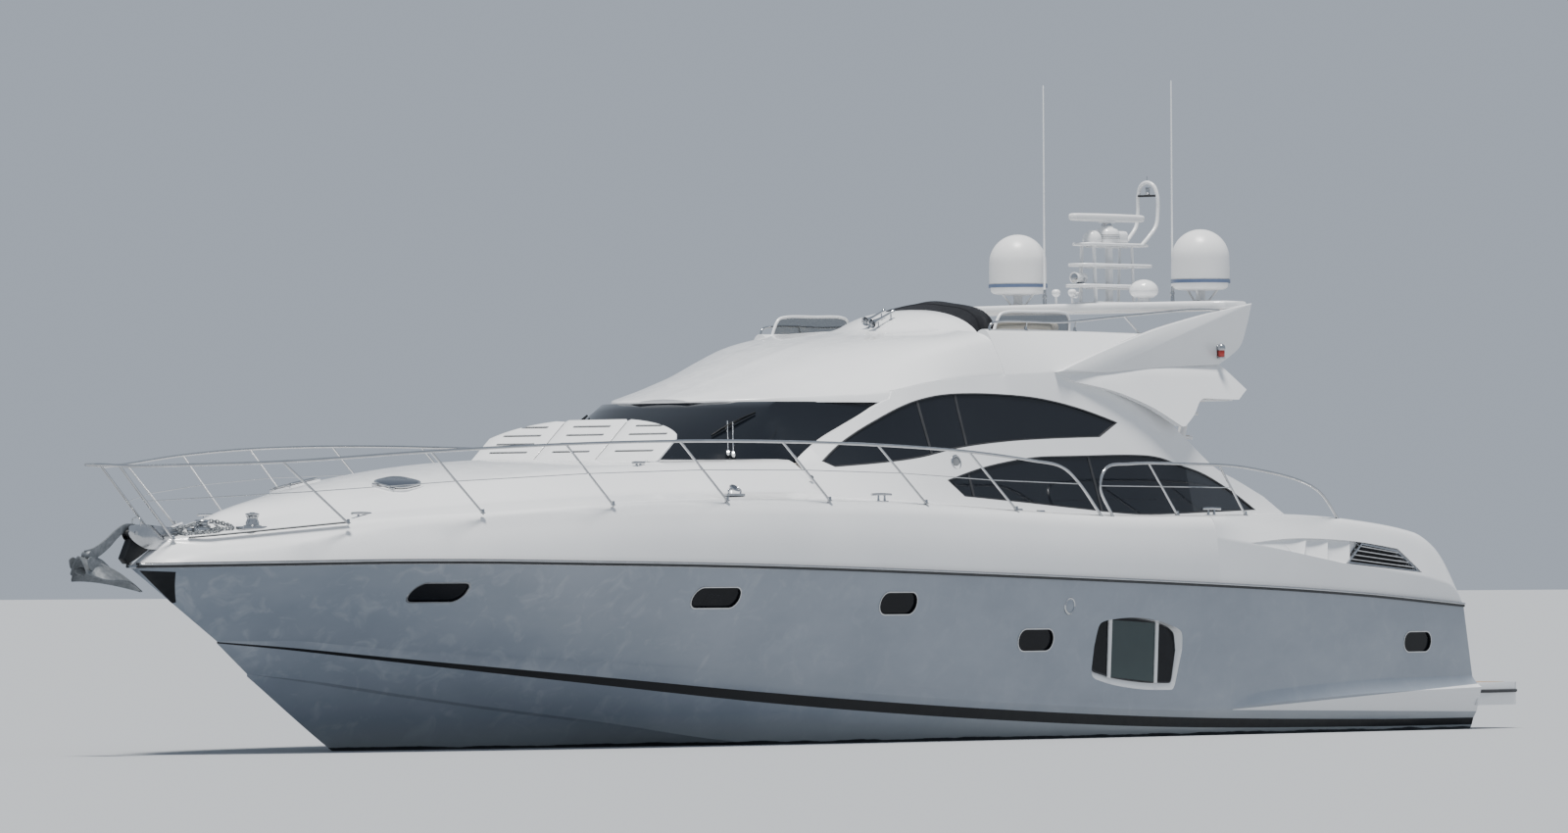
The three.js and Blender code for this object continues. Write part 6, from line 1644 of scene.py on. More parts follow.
def add_backrests():
    """Slotted backrest boards of the sunbathing area, each on its own hinges."""
    screw = [(0, 0), (0.006, 0), (0.005, 0.003), (0, 0.0035)]
    for low, high, low_share, high_share, side in (
            (-BOARD_HALF, -SEAM_Y, 0.6, 1, "starboard"), (-SEAM_Y, SEAM_Y, 1, 1, "centre"),
            (SEAM_Y, BOARD_HALF, 1, 0.6, "port")):
        ring = board_ring(low, high, low_share, high_share)
        slab = plate("board", ring, -BOARD_THICK / 2, BOARD_THICK / 2, WHITE, round_edge=0.006, sharp=50)
        slots, slot_shades = [], []
        for share, outer in ((0.27, 0.17), (0.46, 0.17), (0.65, 0.17), (0.84, 0.33)):
            a, b = low + (outer if low_share < 1 else 0.17), high - (outer if high_share < 1 else 0.17)
            ring = rounded_rect(b - a, 0.034, 0.0165, 6, ((a + b) / 2, BOARD_LENGTH * share))
            slots.append(plate("slot", ring, -0.05, 0.05, RUBBER))
            # painted shade: a dark sheet inside each slot for the shade seen through it
            slot_shades.append(plate("slot_shade", ring, -0.007, -0.003, BLACK))
        cut(slab, *slots, sharp=50)
        parts = [slab, *slot_shades]
        # painted shade: a thin dark strip on each edge that meets the next board, for the shade in the gap
        for x, end in ((low + 0.0035, low_share), (high - 0.0045, high_share)):
            if end == 1:
                corner = (x + 0.001, BOARD_LENGTH * 0.93, 0.011)
                parts.append(box_piece("edge", (x, 0.05, -0.011), corner, BLACK))
        for start in (low + 0.09, high - 0.21):
            parts += [tube("knuckle", [(start, 0, 0), (start + 0.12, 0, 0)], 0.0165, STEEL, 18),
                      box_piece("leaf", (start + 0.03, 0.0, -0.0055), (start + 0.09, 0.04, 0.0055), STEEL)]
            parts += [turned("screw", screw, (start + dx, 0.028, 0.013), STEEL, 10) for dx in (0.045, 0.075)]
        y = BOARD_LENGTH * 0.36
        for x in (low + 0.05, high - 0.05):
            parts.append(box_piece("pad", (x - 0.012, y, -0.022), (x + 0.012, y + 0.05, -0.0125), STEEL))
        piece = merge(f"board_{side}", parts)
        piece.data.transform(board_turn())
        finish_piece(piece, "gelcoat", f"backrest_{side}", body=f"backrest_{side}")


def chain(name, path, link, wire):
    """Galvanised chain of oval links along a path, each turned a quarter from the last."""
    points = catmull(path, 40, True)
    parts = []
    count = int(run_of(points)[-1] / (link - 2 * wire))
    spread = resampled_line(points, count + 1)
    for n in range(count):
        here = (spread[n] + spread[n + 1]) / 2
        ahead = (spread[n + 1] - spread[n]).normalized()
        side = ahead.cross(Vector((0, 0, 1))).normalized()
        up = side.cross(ahead)
        across, other = (side, up) if n % 2 == 0 else (up, side)
        lean = (across + other * 0.35).normalized()
        ring = []
        for a in circle(14):
            c, s = math.cos(a), math.sin(a)
            run = math.copysign(abs(c) ** 0.75, c) * (link / 2 - wire / 2)
            ring.append(here + ahead * run + lean * (s * link * 0.28))
        rows = []
        for k, p in enumerate(ring):
            tangent = (ring[(k + 1) % 14] - ring[k - 1]).normalized()
            normal = ahead.cross(lean).normalized()
            out = tangent.cross(normal)
            rows.append([p + out * (wire / 2 * math.cos(b)) + normal * (wire / 2 * math.sin(b))
                         for b in circle(7)])
        parts.append(loft("link", rows + [rows[0]], GALVANISED, 60, caps=False))
    finish_piece(merge(name, parts), "galvanised")


def foredeck(x, y, lift=0.0):
    """Point on the foredeck, raised by lift."""
    trunk_y, trunk_z, crown = deck_at("trunkY", x), deck_at("trunkZ", x), deck_at("crown", x)
    line = [(0, crown), (trunk_y * 0.5, crown - (crown - trunk_z) * 0.25), (trunk_y, trunk_z),
            (deck_at("deckY", x), deck_at("deckZ", x)), (deck_at("edgeY", x), deck_at("edgeZ", x))]
    for (y0, z0), (y1, z1) in zip(line, line[1:]):
        if abs(y) <= y1:
            return Vector((x, y, z0 + (z1 - z0) * (abs(y) - y0) / max(y1 - y0, 1e-6) + lift))
    return Vector((x, y, line[-1][1] + lift))


def add_windlass():
    """Windlass with its capstan and gipsy, the chain to the roller, its spare loop and the stopper."""
    x, y = 9.43, 0.50
    drum = [(0, 2.31), (0.097, 2.31), (0.099, 2.345), (0.092, 2.352), (0.074, 2.356), (0.068, 2.375),
            (0.055, 2.392), (0.050, 2.420), (0.054, 2.442), (0.070, 2.452), (0.075, 2.462), (0.073, 2.472),
            (0.050, 2.478), (0.028, 2.480), (0.026, 2.485), (0, 2.485)]
    parts = [turned("capstan", drum, (x, y, -0.006), STEEL, 40, 40)]
    waist = ((0.068, 2.366), (0.051, 2.414), (0.066, 2.446))
    for a in circle(8):
        rib = [(x + r * math.cos(a), y + r * math.sin(a), z) for r, z in waist]
        parts.append(tube("rib", rib, 0.005, STEEL, 6))
    parts.append(plate("foot", rounded_rect(0.34, 0.24, 0.09, 7, (x, 0.49)), 2.290, 2.336, STEEL,
                       round_edge=0.006))
    finish_piece(merge("windlass_capstan", parts), "steel", "windlass")
    gipsy = [(0, 2.30), (0.085, 2.30), (0.09, 2.33), (0.06, 2.345), (0.06, 2.365), (0.085, 2.38),
             (0.07, 2.395), (0, 2.40)]
    base = rounded_rect(0.26, 0.22, 0.05, 5, (9.82, 0.14))
    parts = [turned("gipsy", gipsy, (9.80, 0.14, 0.010), STEEL, 32, 40),
             plate("gipsy_base", base, 2.27, 2.322, STEEL, round_edge=0.006)]
    finish_piece(merge("chain_gipsy", parts), "steel")
    run = [(9.86, 0.19, 2.378), (9.95, 0.14, 2.352), (10.05, 0.06, 2.326), (10.18, 0.0, 2.312),
           (10.35, 0, 2.305), (10.6, 0, 2.318)]
    chain("anchor_chain", run, 0.062, 0.0135)
    loop = ((9.66, 0.20), (9.74, 0.33), (9.87, 0.30), (9.97, 0.22), (10.04, 0.10), (9.98, -0.02),
            (9.86, -0.06), (9.72, 0.02), (9.62, 0.12), (9.56, 0.28), (9.62, 0.40), (9.76, 0.26))
    chain("spare_chain", [foredeck(*spot, 0.022) for spot in loop], 0.058, 0.013)
    stopper = [plate("block", rounded_rect(0.16, 0.10, 0.02, 4, (9.95, 0.0)), 2.245, 2.268, STEEL,
                     round_edge=0.004),
               tube("pawl", [(10.0, -0.035, 2.27), (9.98, -0.035, 2.335), (9.90, -0.035, 2.35)], 0.009, STEEL,
                    8)]
    finish_piece(merge("chain_stopper", stopper), "steel")


def add_bow_roller():
    """Bow roller between its cheeks, with its pin, nuts and bail."""
    cheek = outline((10.08, 2.17), (10.42, 2.10),
                    [(10.58, 2.11), (10.70, 2.15), (10.80, 2.205), (10.842, 2.27)],
                    [(10.835, 2.33), (10.80, 2.352)], (10.60, 2.36), (10.20, 2.33), (10.08, 2.29))
    parts = [plate("cheek", cheek, sign * 0.048, sign * 0.060, STEEL, "xz", 0.003) for sign in (1, -1)]
    half = [(0, 0.047), (0.040, 0.047), (0.042, 0.040), (0.026, 0.012), (0.024, 0)]
    wheel = [(r, -h) for r, h in half] + half[-2::-1]
    nut = [(0, 0.060), (0.021, 0.060), (0.021, 0.072), (0, 0.072)]
    bail = [(10.66, y, z) for y, z in ((-0.054, 2.34), (-0.054, 2.41), (0, 2.43), (0.054, 2.41),
                                       (0.054, 2.34))]
    at_pin = (10.74, 0, 2.27)
    parts += [turned("roller", wheel, at_pin, RUBBER, 28, 40, (0, 1, 0)),
              tube("pin", [(10.74, -0.07, 2.27), (10.74, 0.07, 2.27)], 0.011, STEEL, 14),
              *[turned("nut", nut, at_pin, STEEL, 6, 30, (0, sign, 0)) for sign in (1, -1)],
              box_piece("floor", (10.14, -0.05, 2.235), (10.62, 0.05, 2.250), STEEL),
              tube("bail", bail, 0.008, STEEL, 8)]
    finish_piece(merge("bow_roller_fitting", parts), "steel", "bow_roller")


def anchor_share():
    """Hollow plough of the anchor, from its tip to its heel."""
    tip, heel = Vector((10.64, 0, 1.70)), Vector((11.56, 0, 2.04))
    rows = []
    for s in steps(0, 1, 22):
        spine = tip.lerp(heel, s) + Vector((0, 0, 0.055 * math.sin(math.pi * s)))
        width = 0.012 + 0.252 * math.sin(min(1.0, s * 1.12) * math.pi * 0.62) ** 1.15
        width *= 1 - 0.55 * smooth(s, 0.80, 1.0)
        droop = 0.02 + 0.24 * s * (1 - 0.35 * smooth(s, 0.8, 1.0))
        ring = [spine + Vector((-0.05 * abs(a) ** 2 * (1 - s), width * a, -droop * abs(a) ** 1.6))
                for a in steps(-1, 1, 13)]
        rows.append(ring + [p + Vector((-0.004, 0, -0.016)) for p in ring][::-1])
    return loft("share", rows, GALVANISED, 35)


def anchor_shank():
    """Curved shank of the anchor, tapering forward to its shackle."""
    line = catmull([(11.44, 0, 2.035), (11.30, 0, 2.07), (11.12, 0, 2.16), (10.98, 0, 2.255),
                    (10.84, 0, 2.328), (10.70, 0, 2.340)], 6, True)
    half = ((1, -0.8), (0.7, -1), (-0.7, -1), (-1, -0.8))
    section = (*half, *[(u, -v) for u, v in half[::-1]])
    rows = []
    for i, p in enumerate(line):
        ahead = (line[min(i + 1, len(line) - 1)] - line[max(i - 1, 0)]).normalized()
        up = ahead.cross(Vector((0, 1, 0))).normalized()
        tall = 0.062 - 0.034 * i / (len(line) - 1)
        rows.append([p + up * (tall * v) + Vector((0, 0.015 * u, 0)) for u, v in section])
    return loft("shank", rows, GALVANISED, 35)


def add_anchor():
    """Plough anchor housed in the roller, dark sheets painted for the shade of the anchor pocket on the bow,
    and a dark wedge at the stem.
    """
    hinge = [(0, -0.05), (0.038, -0.05), (0.042, -0.044), (0.042, 0.044), (0.038, 0.05), (0, 0.05)]
    web = outline((11.05, 1.90), [(11.2, 2.00), (11.42, 2.06)], (11.50, 1.99), [(11.35, 1.90), (11.2, 1.83)],
                  (11.06, 1.81))
    ear = outline((11.28, 1.90), [(11.40, 1.99), (11.50, 2.03)], [(11.555, 2.0), (11.54, 1.92)],
                  [(11.45, 1.86), (11.34, 1.83)])
    shackle = [(10.71, -0.026, 2.34), (10.66, -0.026, 2.335), (10.63, 0, 2.332), (10.66, 0.026, 2.335),
               (10.71, 0.026, 2.34)]
    parts = [anchor_share(), anchor_shank(),
             turned("hinge", hinge, (11.42, 0, 2.045), GALVANISED, 20, 40, (0, 1, 0)),
             plate("web", web, -0.008, 0.008, GALVANISED, "xz", 0.003),
             *[plate("ear", ear, sign * 0.12, sign * 0.132, GALVANISED, "xz", 0.003) for sign in (1, -1)],
             tube("shackle", shackle, 0.008, STEEL, 10),
             tube("bolt", [(10.71, -0.038, 2.34), (10.71, 0.038, 2.34)], 0.008, STEEL, 10)]
    finish_piece(merge("plough_anchor", parts), "galvanised", "anchor")
    # painted shade: dark sheets on the bow where the anchor pocket lies in shade
    ring = vectors((10.66, 1.885), (10.36, 1.87), (10.09, 1.56), (10.115, 1.55))
    pair(sheet("anchor_pocket_shade", ring, inset_by(hull_y, -0.004), 0.008, BLACK, spacing=0.08, edge=0.04), "glass")
    wedge = outline((10.36, 2.19), (10.79, 2.205), (10.90, 2.01), (10.835, 1.955),
                    [(10.70, 2.01), (10.52, 2.10)])
    finish_piece(plate("stem_chute", wedge, -0.046, 0.046, BLACK, "xz", 0.006), "glass")


# Padded pieces

def soft_ring(width, depth, count=9):
    """Rounded rectangle about the origin with evenly spread points."""
    power = 7.0
    points = []
    for side in range(4):
        for n in range(count):
            t = -1 + 2 * n / count
            u, v = ((1, t), (-t, 1), (-1, -t), (t, -1))[side]
            size = (abs(u) ** power + abs(v) ** power) ** (1 / power)
            points.append(Vector((u / size * width / 2, v / size * depth / 2)))
    return points


def cushion(name, low, high, facing="z", crown=0.024):
    """Padded block between two corners: one crowned face, swollen sides, piped seams and light creases."""
    edge = 0.022
    low, high = Vector(low), Vector(high)
    middle, size = (low + high) / 2, high - low
    order = {"z": (0, 1, 2), "y": (0, 2, 1), "x": (1, 2, 0)}[facing]
    wide, deep, thick = (size[n] for n in order)
    start = low[order[2]]
    reach = min(wide, deep) / 2

    def place(u, v, height):
        spot = Vector((0, 0, 0))
        for axis, value in zip(order, (middle[order[0]] + u, middle[order[1]] + v, start + height)):
            spot[axis] = value
        return spot

    levels = [(reach * 0.94, 0.004), (reach * 0.5, 0.002), (edge * 1.2, 0.0), (edge * 0.35, edge * 0.3),
              (0.0, edge)]
    levels += [(-0.007 * math.sin(math.pi * t), edge + (thick - 2 * edge) * t) for t in steps(0, 1, 7)[1:-1]]
    levels += [(0.0, thick - edge), (edge * 0.35, thick - edge * 0.3)]
    for share in (0.09, 0.16, 0.25, 0.36, 0.5, 0.66, 0.82, 0.94):
        levels.append((reach * share, thick + crown * (1 - (1 - share) ** 2.2) - crown))
    rings = []
    for inset, height in levels:
        row = []
        for p in soft_ring(wide - 2 * inset, deep - 2 * inset, 12):
            spot = place(p.x, p.y, height)
            crease = noise.noise(spot * 7.0) * 0.004 + noise.noise(spot * 26.0) * 0.0016
            spot[order[2]] += crease * smooth(height, thick * 0.5, thick)
            row.append(spot)
        rings.append(row)
    parts = [loft(name, rings, CUSHION, 60)]
    for height in (edge * 0.9, thick - edge * 0.9):
        row = [place(p.x, p.y, height) for p in soft_ring(wide + 0.002, deep + 0.002, 12)]
        parts.append(tube("piping", [*row, row[0]], 0.0042, PIPING, 8, straight=True))
    piece = finish_piece(merge(name, parts), "cushion")


# Upper helm and seats

COVER = table(
    "x half top",
    (-2.78, 0.69, 4.66), (-2.745, 0.705, 4.76), (-2.68, 0.72, 4.805), (-2.50, 0.75, 4.828),
    (-2.38, 0.775, 4.812), (-2.30, 0.79, 4.790), (-2.056, 0.83, 4.712))
CONSOLE_FOLD, CONSOLE_TOP, CONSOLE_SLOPE = -2.38, 4.28, 0.18 / 0.47


def cover_ring(x, scale=1.0):
    """Ring of the canvas cover over station x, foot to foot."""
    half, top = at(COVER, "half", x), at(COVER, "top", x)
    foot = CONSOLE_TOP + 0.004 - CONSOLE_SLOPE * max(0, CONSOLE_FOLD - x)
    corners = [(x, half, foot), (x, half * 0.965, top - 0.26), (x, half * 0.84, top - 0.115),
               (x, half * 0.5, top - 0.036), (x, 0, top)]
    row = []
    for p in resampled_line(fillet(corners, [0.16, 0.16, 0.40], 6), 26):
        above = smooth(p.z, foot, top)
        wall = smooth(p.y, half * 0.80, half * 0.95)
        pull = 0.5 + 0.5 * math.cos(2 * math.pi * (x + 2.50) / 0.62)
        sag = 0.011 * (1 - pull) * (1 - (p.y / half) ** 2) * (1 - wall)
        p = Vector((p.x, p.y, p.z - sag))
        p.z += (1 - wall) * above * 0.008 * noise.noise(Vector((p.x * 2.4, p.y * 6.5, 0.3)))
        p.y += wall * 0.012 * noise.noise(Vector((p.x * 8.0, 0.7, p.z * 1.8)))
        row.append(Vector((p.x, p.y * scale, foot + (p.z - foot) * scale)))
    return [p + Vector((0, HELM_Y, 0)) for p in both_sides(row)]


def add_cover():
    """Fitted canvas cover over the upper helm, as one sheet with its hem, seams and studs."""
    caps = [0.02, 0.2, 0.4, 0.6, 0.78, 0.92, 0.985]
    main = steps(-2.062, -2.778, 44)
    rings = [cover_ring(main[0] + 0.004, s) for s in caps] + [cover_ring(x) for x in main]
    for s in reversed(caps):
        ring = []
        for p in cover_ring(main[-1], s):
            fold = 0.012 * noise.noise(Vector((0.2, p.y * 7.0, p.z * 1.8)))
            ring.append(Vector((p.x + fold - 0.002, p.y, p.z)))
        rings.append(ring)
    canvas = loft("canvas_cover", rings, CANVAS, 60, caps=False, closed=False)
    thicken(canvas, 0.0025)
    shade(canvas, 60)
    feet = [ring[0] for ring in rings[len(caps):]] + [ring[-1] for ring in reversed(rings[len(caps):])]
    parts = [tube("hem", feet, 0.0055, CANVAS, 8, straight=True)]
    for station in (-2.34, -2.62):
        row = [Vector((p.x, p.y * 1.0014, p.z + 0.0012)) for p in cover_ring(station)]
        for shift in (-0.012, 0.012):
            line = [p + Vector((shift, 0, 0)) for p in row]
            parts.append(tube("seam", line, 0.0022, CANVAS, 6, straight=True))
    for n in range(4, len(feet), 9):
        spot = feet[n]
        out = Vector((-1, 0, 0)) if spot.x < -2.775 else Vector((0, math.copysign(1, spot.y - HELM_Y), 0))
        stud = [(0, -0.002), (0.010, -0.002), (0.010, 0.004), (0.007, 0.009), (0, 0.010)]
        parts.append(turned("stud", stud, spot + Vector((0, 0, 0.016)), STEEL, 12, axis=out))
    trim = finish_piece(merge("cover_trim", parts), "canvas")
    return finish_piece(canvas, "canvas", "fly_cover"), trim


def add_helm():
    """Console with its wheel under its canvas cover, and the helm seat behind it."""
    up = Vector((-0.18, 0, 0.47)).normalized()
    panel = plate("panel", rounded_rect(0.30, 1.3, 0.04), 0, 0.006, BLACK, round_edge=0.002)
    rim = [(0.19 + 0.013 * math.cos(a), 0.013 * math.sin(a)) for a in circle(10)]
    boss = [(0, -0.06), (0.03, -0.06), (0.035, 0.0), (0.03, 0.012), (0, 0.014)]
    wheel = [hoop("rim", rim, (0, 0), RUBBER, 40), turned("boss", boss, (0, 0, 0), STEEL, 24)]
    for a in (math.radians(90 + 120 * n) for n in range(3)):
        spoke = [(r * math.cos(a), r * math.sin(a), 0) for r in (0.03, 0.185)]
        wheel.append(tube("spoke", spoke, 0.008, STEEL, 8))
    spot = Vector((-2.62, HELM_Y + 0.1, 4.19)) + up * 0.10 + Vector((-0.10, 0, 0.02))
    parts = [copy_of("fly_console", "console", WHITE, 0.03, 4), stand(panel, (-2.60, HELM_Y, 4.198), up),
             stand(merge("steering", wheel), spot, (up + Vector((-0.8, 0, 0))).normalized())]
    helm = finish_piece(merge("upper_console", parts), "gelcoat", "fly_console")
    seat = copy_of("helm_seat", "helm_seat_base", WHITE, 0.045, 4)
    cut(seat, box_piece("kick", (-3.10, -1.2, 3.80), (-2.9, 1.4, 3.96)), sharp=35)
    finish_piece(seat, "gelcoat", "helm_seat")
    for side, low, high in (("port", HELM_Y + 0.01, HELM_Y + 0.84),
                            ("starboard", HELM_Y - 0.84, HELM_Y - 0.01)):
        cushion(f"helm_squab_{side}", (-3.555, low, 4.281), (-3.01, high, 4.375))
        cushion(f"helm_back_{side}", (-3.685, low, 4.282), (-3.57, high, 4.60), "x")
    canvas, trim = add_cover()


def add_lounge():
    """L-shaped seat of the flybridge: moulded plinth, seat and back cushions."""
    ring = vectors((-5.80, -1.40), (-3.90, -1.40), (-3.90, -0.76), (-5.30, -0.76), (-5.30, 0.64),
                   (-5.80, 0.64))
    kick = vectors((-5.78, -1.38), (-3.95, -1.38), (-3.95, -0.83), (-5.37, -0.83), (-5.37, 0.58),
                   (-5.78, 0.58))
    parts = [plate("plinth", resample(ring, 0.3), 3.965, 4.172, WHITE, round_edge=0.014, sharp=50),
             plate("kick", kick, 3.8805, 3.97, WHITE)]
    latch = [(0, -0.002), (0.014, -0.002), (0.013, 0.004), (0, 0.005)]
    for low, high in ((-4.52, -3.98), (-5.18, -4.60)):
        x = (low + high) / 2
        parts += [plate("locker", rounded_rect(high - low, 0.13, 0.02, 4, (x, 4.07)), -0.762, -0.753, WHITE,
                        "xz", 0.003),
                  turned("latch", latch, (x, -0.753, 4.105), STEEL, 16, axis=(0, 1, 0))]
    finish_piece(merge("lounge_plinth", parts), "gelcoat", "fly_lounge")
    along_x, along_y = ((-4.58, -3.905), (-5.28, -4.59), (-5.655, -5.29)), ((-0.755, -0.065), (-0.055, 0.635))
    seats = [((a, -1.235), (b, -0.765)) for a, b in along_x]
    seats += [((-5.655, a), (-5.305, b)) for a, b in along_y]
    backs = [((a, -1.395), (b, -1.245), "y") for a, b in along_x]
    backs += [((-5.795, a), (-5.665, b), "x") for a, b in ((-1.39, -0.765), *along_y)]
    for n, (low, high) in enumerate(seats, 1):
        cushion(f"lounge_seat_{n}", (*low, 4.174), (*high, 4.275))
    for n, (low, high, facing) in enumerate(backs, 1):
        cushion(f"lounge_back_{n}", (*low, 4.176), (*high, 4.438), facing, crown=0.02)


FLY_RAIL_LINE = [(-1.66, 1.59, 4.44), (-1.69, 1.592, 4.53), (-1.85, 1.594, 4.566), (-2.97, 1.594, 4.572),
                 (-3.82, 1.60, 4.632), (-4.73, 1.65, 4.702), (-5.25, 1.77, 4.742), (-5.52, 1.90, 4.732)]


def add_fly_fittings():
    """Rails, wind screens, sole, stairs, horns and side lights of the flybridge."""
    parts = [tube("rail", FLY_RAIL_LINE, 0.0135, STEEL, 12, 8),
             tube("post", [(-4.48, 1.58, 4.445), (-4.13, 1.605, 4.652)], 0.011, STEEL, 10)]
    for x, top in ((-2.35, 4.575), (-3.25, 4.59)):
        parts += post((x, 1.575, 4.475), (x, 1.594, top), 0.009)
    collar = [(0, 0), (0.028, 0), (0.028, 0.006), (0.018, 0.012), (0, 0.012)]
    parts.append(turned("collar", collar, (-4.48, 1.58, 4.462), STEEL, 18))
    pair(merge("fly_guard_rail", parts), "steel", "fly_rail")
    line = [(x, 1.545, z) for x, z in (
        (-1.81, 4.46), (-1.86, 4.56), (-1.93, 4.645), (-2.05, 4.674), (-2.6, 4.684), (-3.06, 4.684),
        (-3.16, 4.655), (-3.19, 4.58), (-3.185, 4.46))]
    bow = tube("screen_hoop", line, 0.0165, WHITE, 12, 6)
    ring = vectors(*[(p.x, p.z) for p in catmull(line, 6, True)])
    pane = plate("screen_pane", ring, 1.5425, 1.5475, SMOKE, "xz")
    pair(bow, "gelcoat")
    pair(pane, "glass")
    finish_piece(copy_of("flybridge_sole", "flybridge_floor", NONSKID, 0.006), "nonskid", "flybridge_sole")
    add_horns()
    add_side_lights()
    add_stairs()


def add_horns():
    """Twin trumpet horns on the flybridge's hood, on two feet each."""
    horn = [(0, 0), (0.020, 0.002), (0.023, 0.014), (0.021, 0.034), (0.012, 0.045), (0.0125, 0.15),
            (0.016, 0.26), (0.023, 0.335), (0.034, 0.385), (0.050, 0.420), (0.054, 0.428), (0.052, 0.432),
            (0.046, 0.425), (0.028, 0.385), (0.016, 0.33), (0, 0.32)]
    foot = [(0, -0.004), (0.022, -0.004), (0.020, 0.006), (0, 0.008)]
    aim = Vector((0.45, 0, -0.165)).normalized()
    horns = []
    for y, z, reach in ((0.33, 4.705, 1.0), (0.20, 4.712, 0.86)):
        spot = Vector((-1.60, y, z))
        horns.append(turned("horn", [(r, h * reach) for r, h in horn], spot, STEEL, 28, 40, aim))
        for share in (0.06, 0.30):
            top = spot + aim * share
            roof = (top.x, y, hood_z(top.x, y))
            leg = [(top.x, y, roof[2] - 0.01), (top.x, y, top.z - 0.008)]
            horns.append(tube("bracket", leg, 0.008, STEEL, 8))
            horns.append(turned("foot", foot, roof, STEEL, 16))
    finish_piece(merge("twin_horns", horns), "steel")


def add_side_lights():
    """Red and green side lights on the flybridge's wings."""
    body = [(0, 4.186), (0.042, 4.186), (0.044, 4.194), (0.044, 4.206), (0.036, 4.212), (0, 4.212)]
    glow = [(0, 4.210), (0.034, 4.210), (0.037, 4.225), (0.037, 4.272), (0.034, 4.286), (0, 4.286)]
    cap = [(0, 4.284), (0.042, 4.284), (0.046, 4.296), (0.045, 4.318), (0.036, 4.340), (0.020, 4.354),
           (0, 4.358)]
    for sign, side, lens in ((1, "port", RED), (-1, "starboard", GREEN)):
        spot = Vector((-5.426, sign * 1.995, 0))
        ring = rounded_rect(0.07, 0.16, 0.03, 5, (spot.x, 4.27))
        parts = [turned(name, profile, spot, finish, 24)
                 for name, profile, finish in (("body", body, STEEL), ("glow", glow, lens),
                                               ("cap", cap, STEEL))]
        parts.append(plate("base", ring, sign * 1.938, sign * 1.956, STEEL, "xz", 0.003))
        finish_piece(merge(f"side_light_{side}", parts), "steel")


def add_stairs():
    """Stairs from the cockpit to the flybridge with teak treads and a handrail."""
    parts = [copy_of("fly_stairs", "stringers", WHITE, 0.008)]
    for n in range(8):
        share = (n + 1) / 9
        x, z = -4.72 - 0.97 * share - 0.15, 1.45 + 2.43 * share
        ring = rounded_rect(0.215, 0.50, 0.02, 4, (x, 1.08))
        nosing = [(x + 0.117, y, z - 0.004) for y in (0.83, 1.33)]
        parts += [plate("tread", ring, z - 0.002, z + 0.006, TEAK, round_edge=0.002),
                  tube("nosing", nosing, 0.006, STEEL, 8)]
    for y, inward in ((0.772, 0.028), (1.388, -0.028)):
        hand = [(x, y, z) for x, z in ((-4.79, 1.95), (-4.84, 2.12), (-5.02, 2.60), (-5.20, 3.00),
                                       (-5.27, 3.12), (-5.31, 3.12))]
        parts.append(tube("handrail", hand, 0.014, STEEL, 12, 6))
        for x, z in ((-4.80, 1.98), (-5.02, 2.60), (-5.30, 3.12)):
            parts.append(tube("stay", [(x, y, z), (x - 0.04, y + inward, z - 0.01)], 0.008, STEEL, 8))
    finish_piece(merge("flybridge_stairs", parts), "gelcoat", "fly_stairs")


# Deck fittings

def cleat(x, y, z, length):
    """Mooring cleat: pad, two feet and a horn."""
    rise = length * 0.22
    parts = [plate("pad", rounded_rect(length * 0.6, 0.06, 0.02, 4, (x, y)), z - 0.02, z + 0.006, STEEL)]
    foot = [(0, 0), (0.019, 0), (0.012, rise * 0.5), (0.013, rise), (0, rise)]
    parts += [turned("foot", foot, (x + d * length, y, z), STEEL, 16) for d in (-0.16, 0.16)]
    tip, middle = z + rise * 0.95, z + rise
    horn = [(x - length / 2, y, tip), (x - length * 0.2, y, middle), (x + length * 0.2, y, middle),
            (x + length / 2, y, tip)]
    parts.append(tube("horn", horn, 0.014, STEEL, 12))
    return merge("cleat", parts)


def disc(name, centre, facing, radius, finish, rim=None):
    """Round fitting set flat on a surface, with a raised rim."""
    lens = [(0, 0), (radius, 0), (radius, 0.006), (radius * 0.5, 0.011), (0, 0.012)]
    parts = [turned(name, lens, centre, finish, 28, axis=facing)]
    if rim:
        ring = [(radius * 0.86, 0.0), (radius * 0.86, 0.013), (radius, 0.018), (radius * 1.16, 0.006),
                (radius * 1.16, 0)]
        parts.append(turned("rim", [*ring, ring[0]], centre, rim, 28, axis=facing))
    return merge(name, parts)


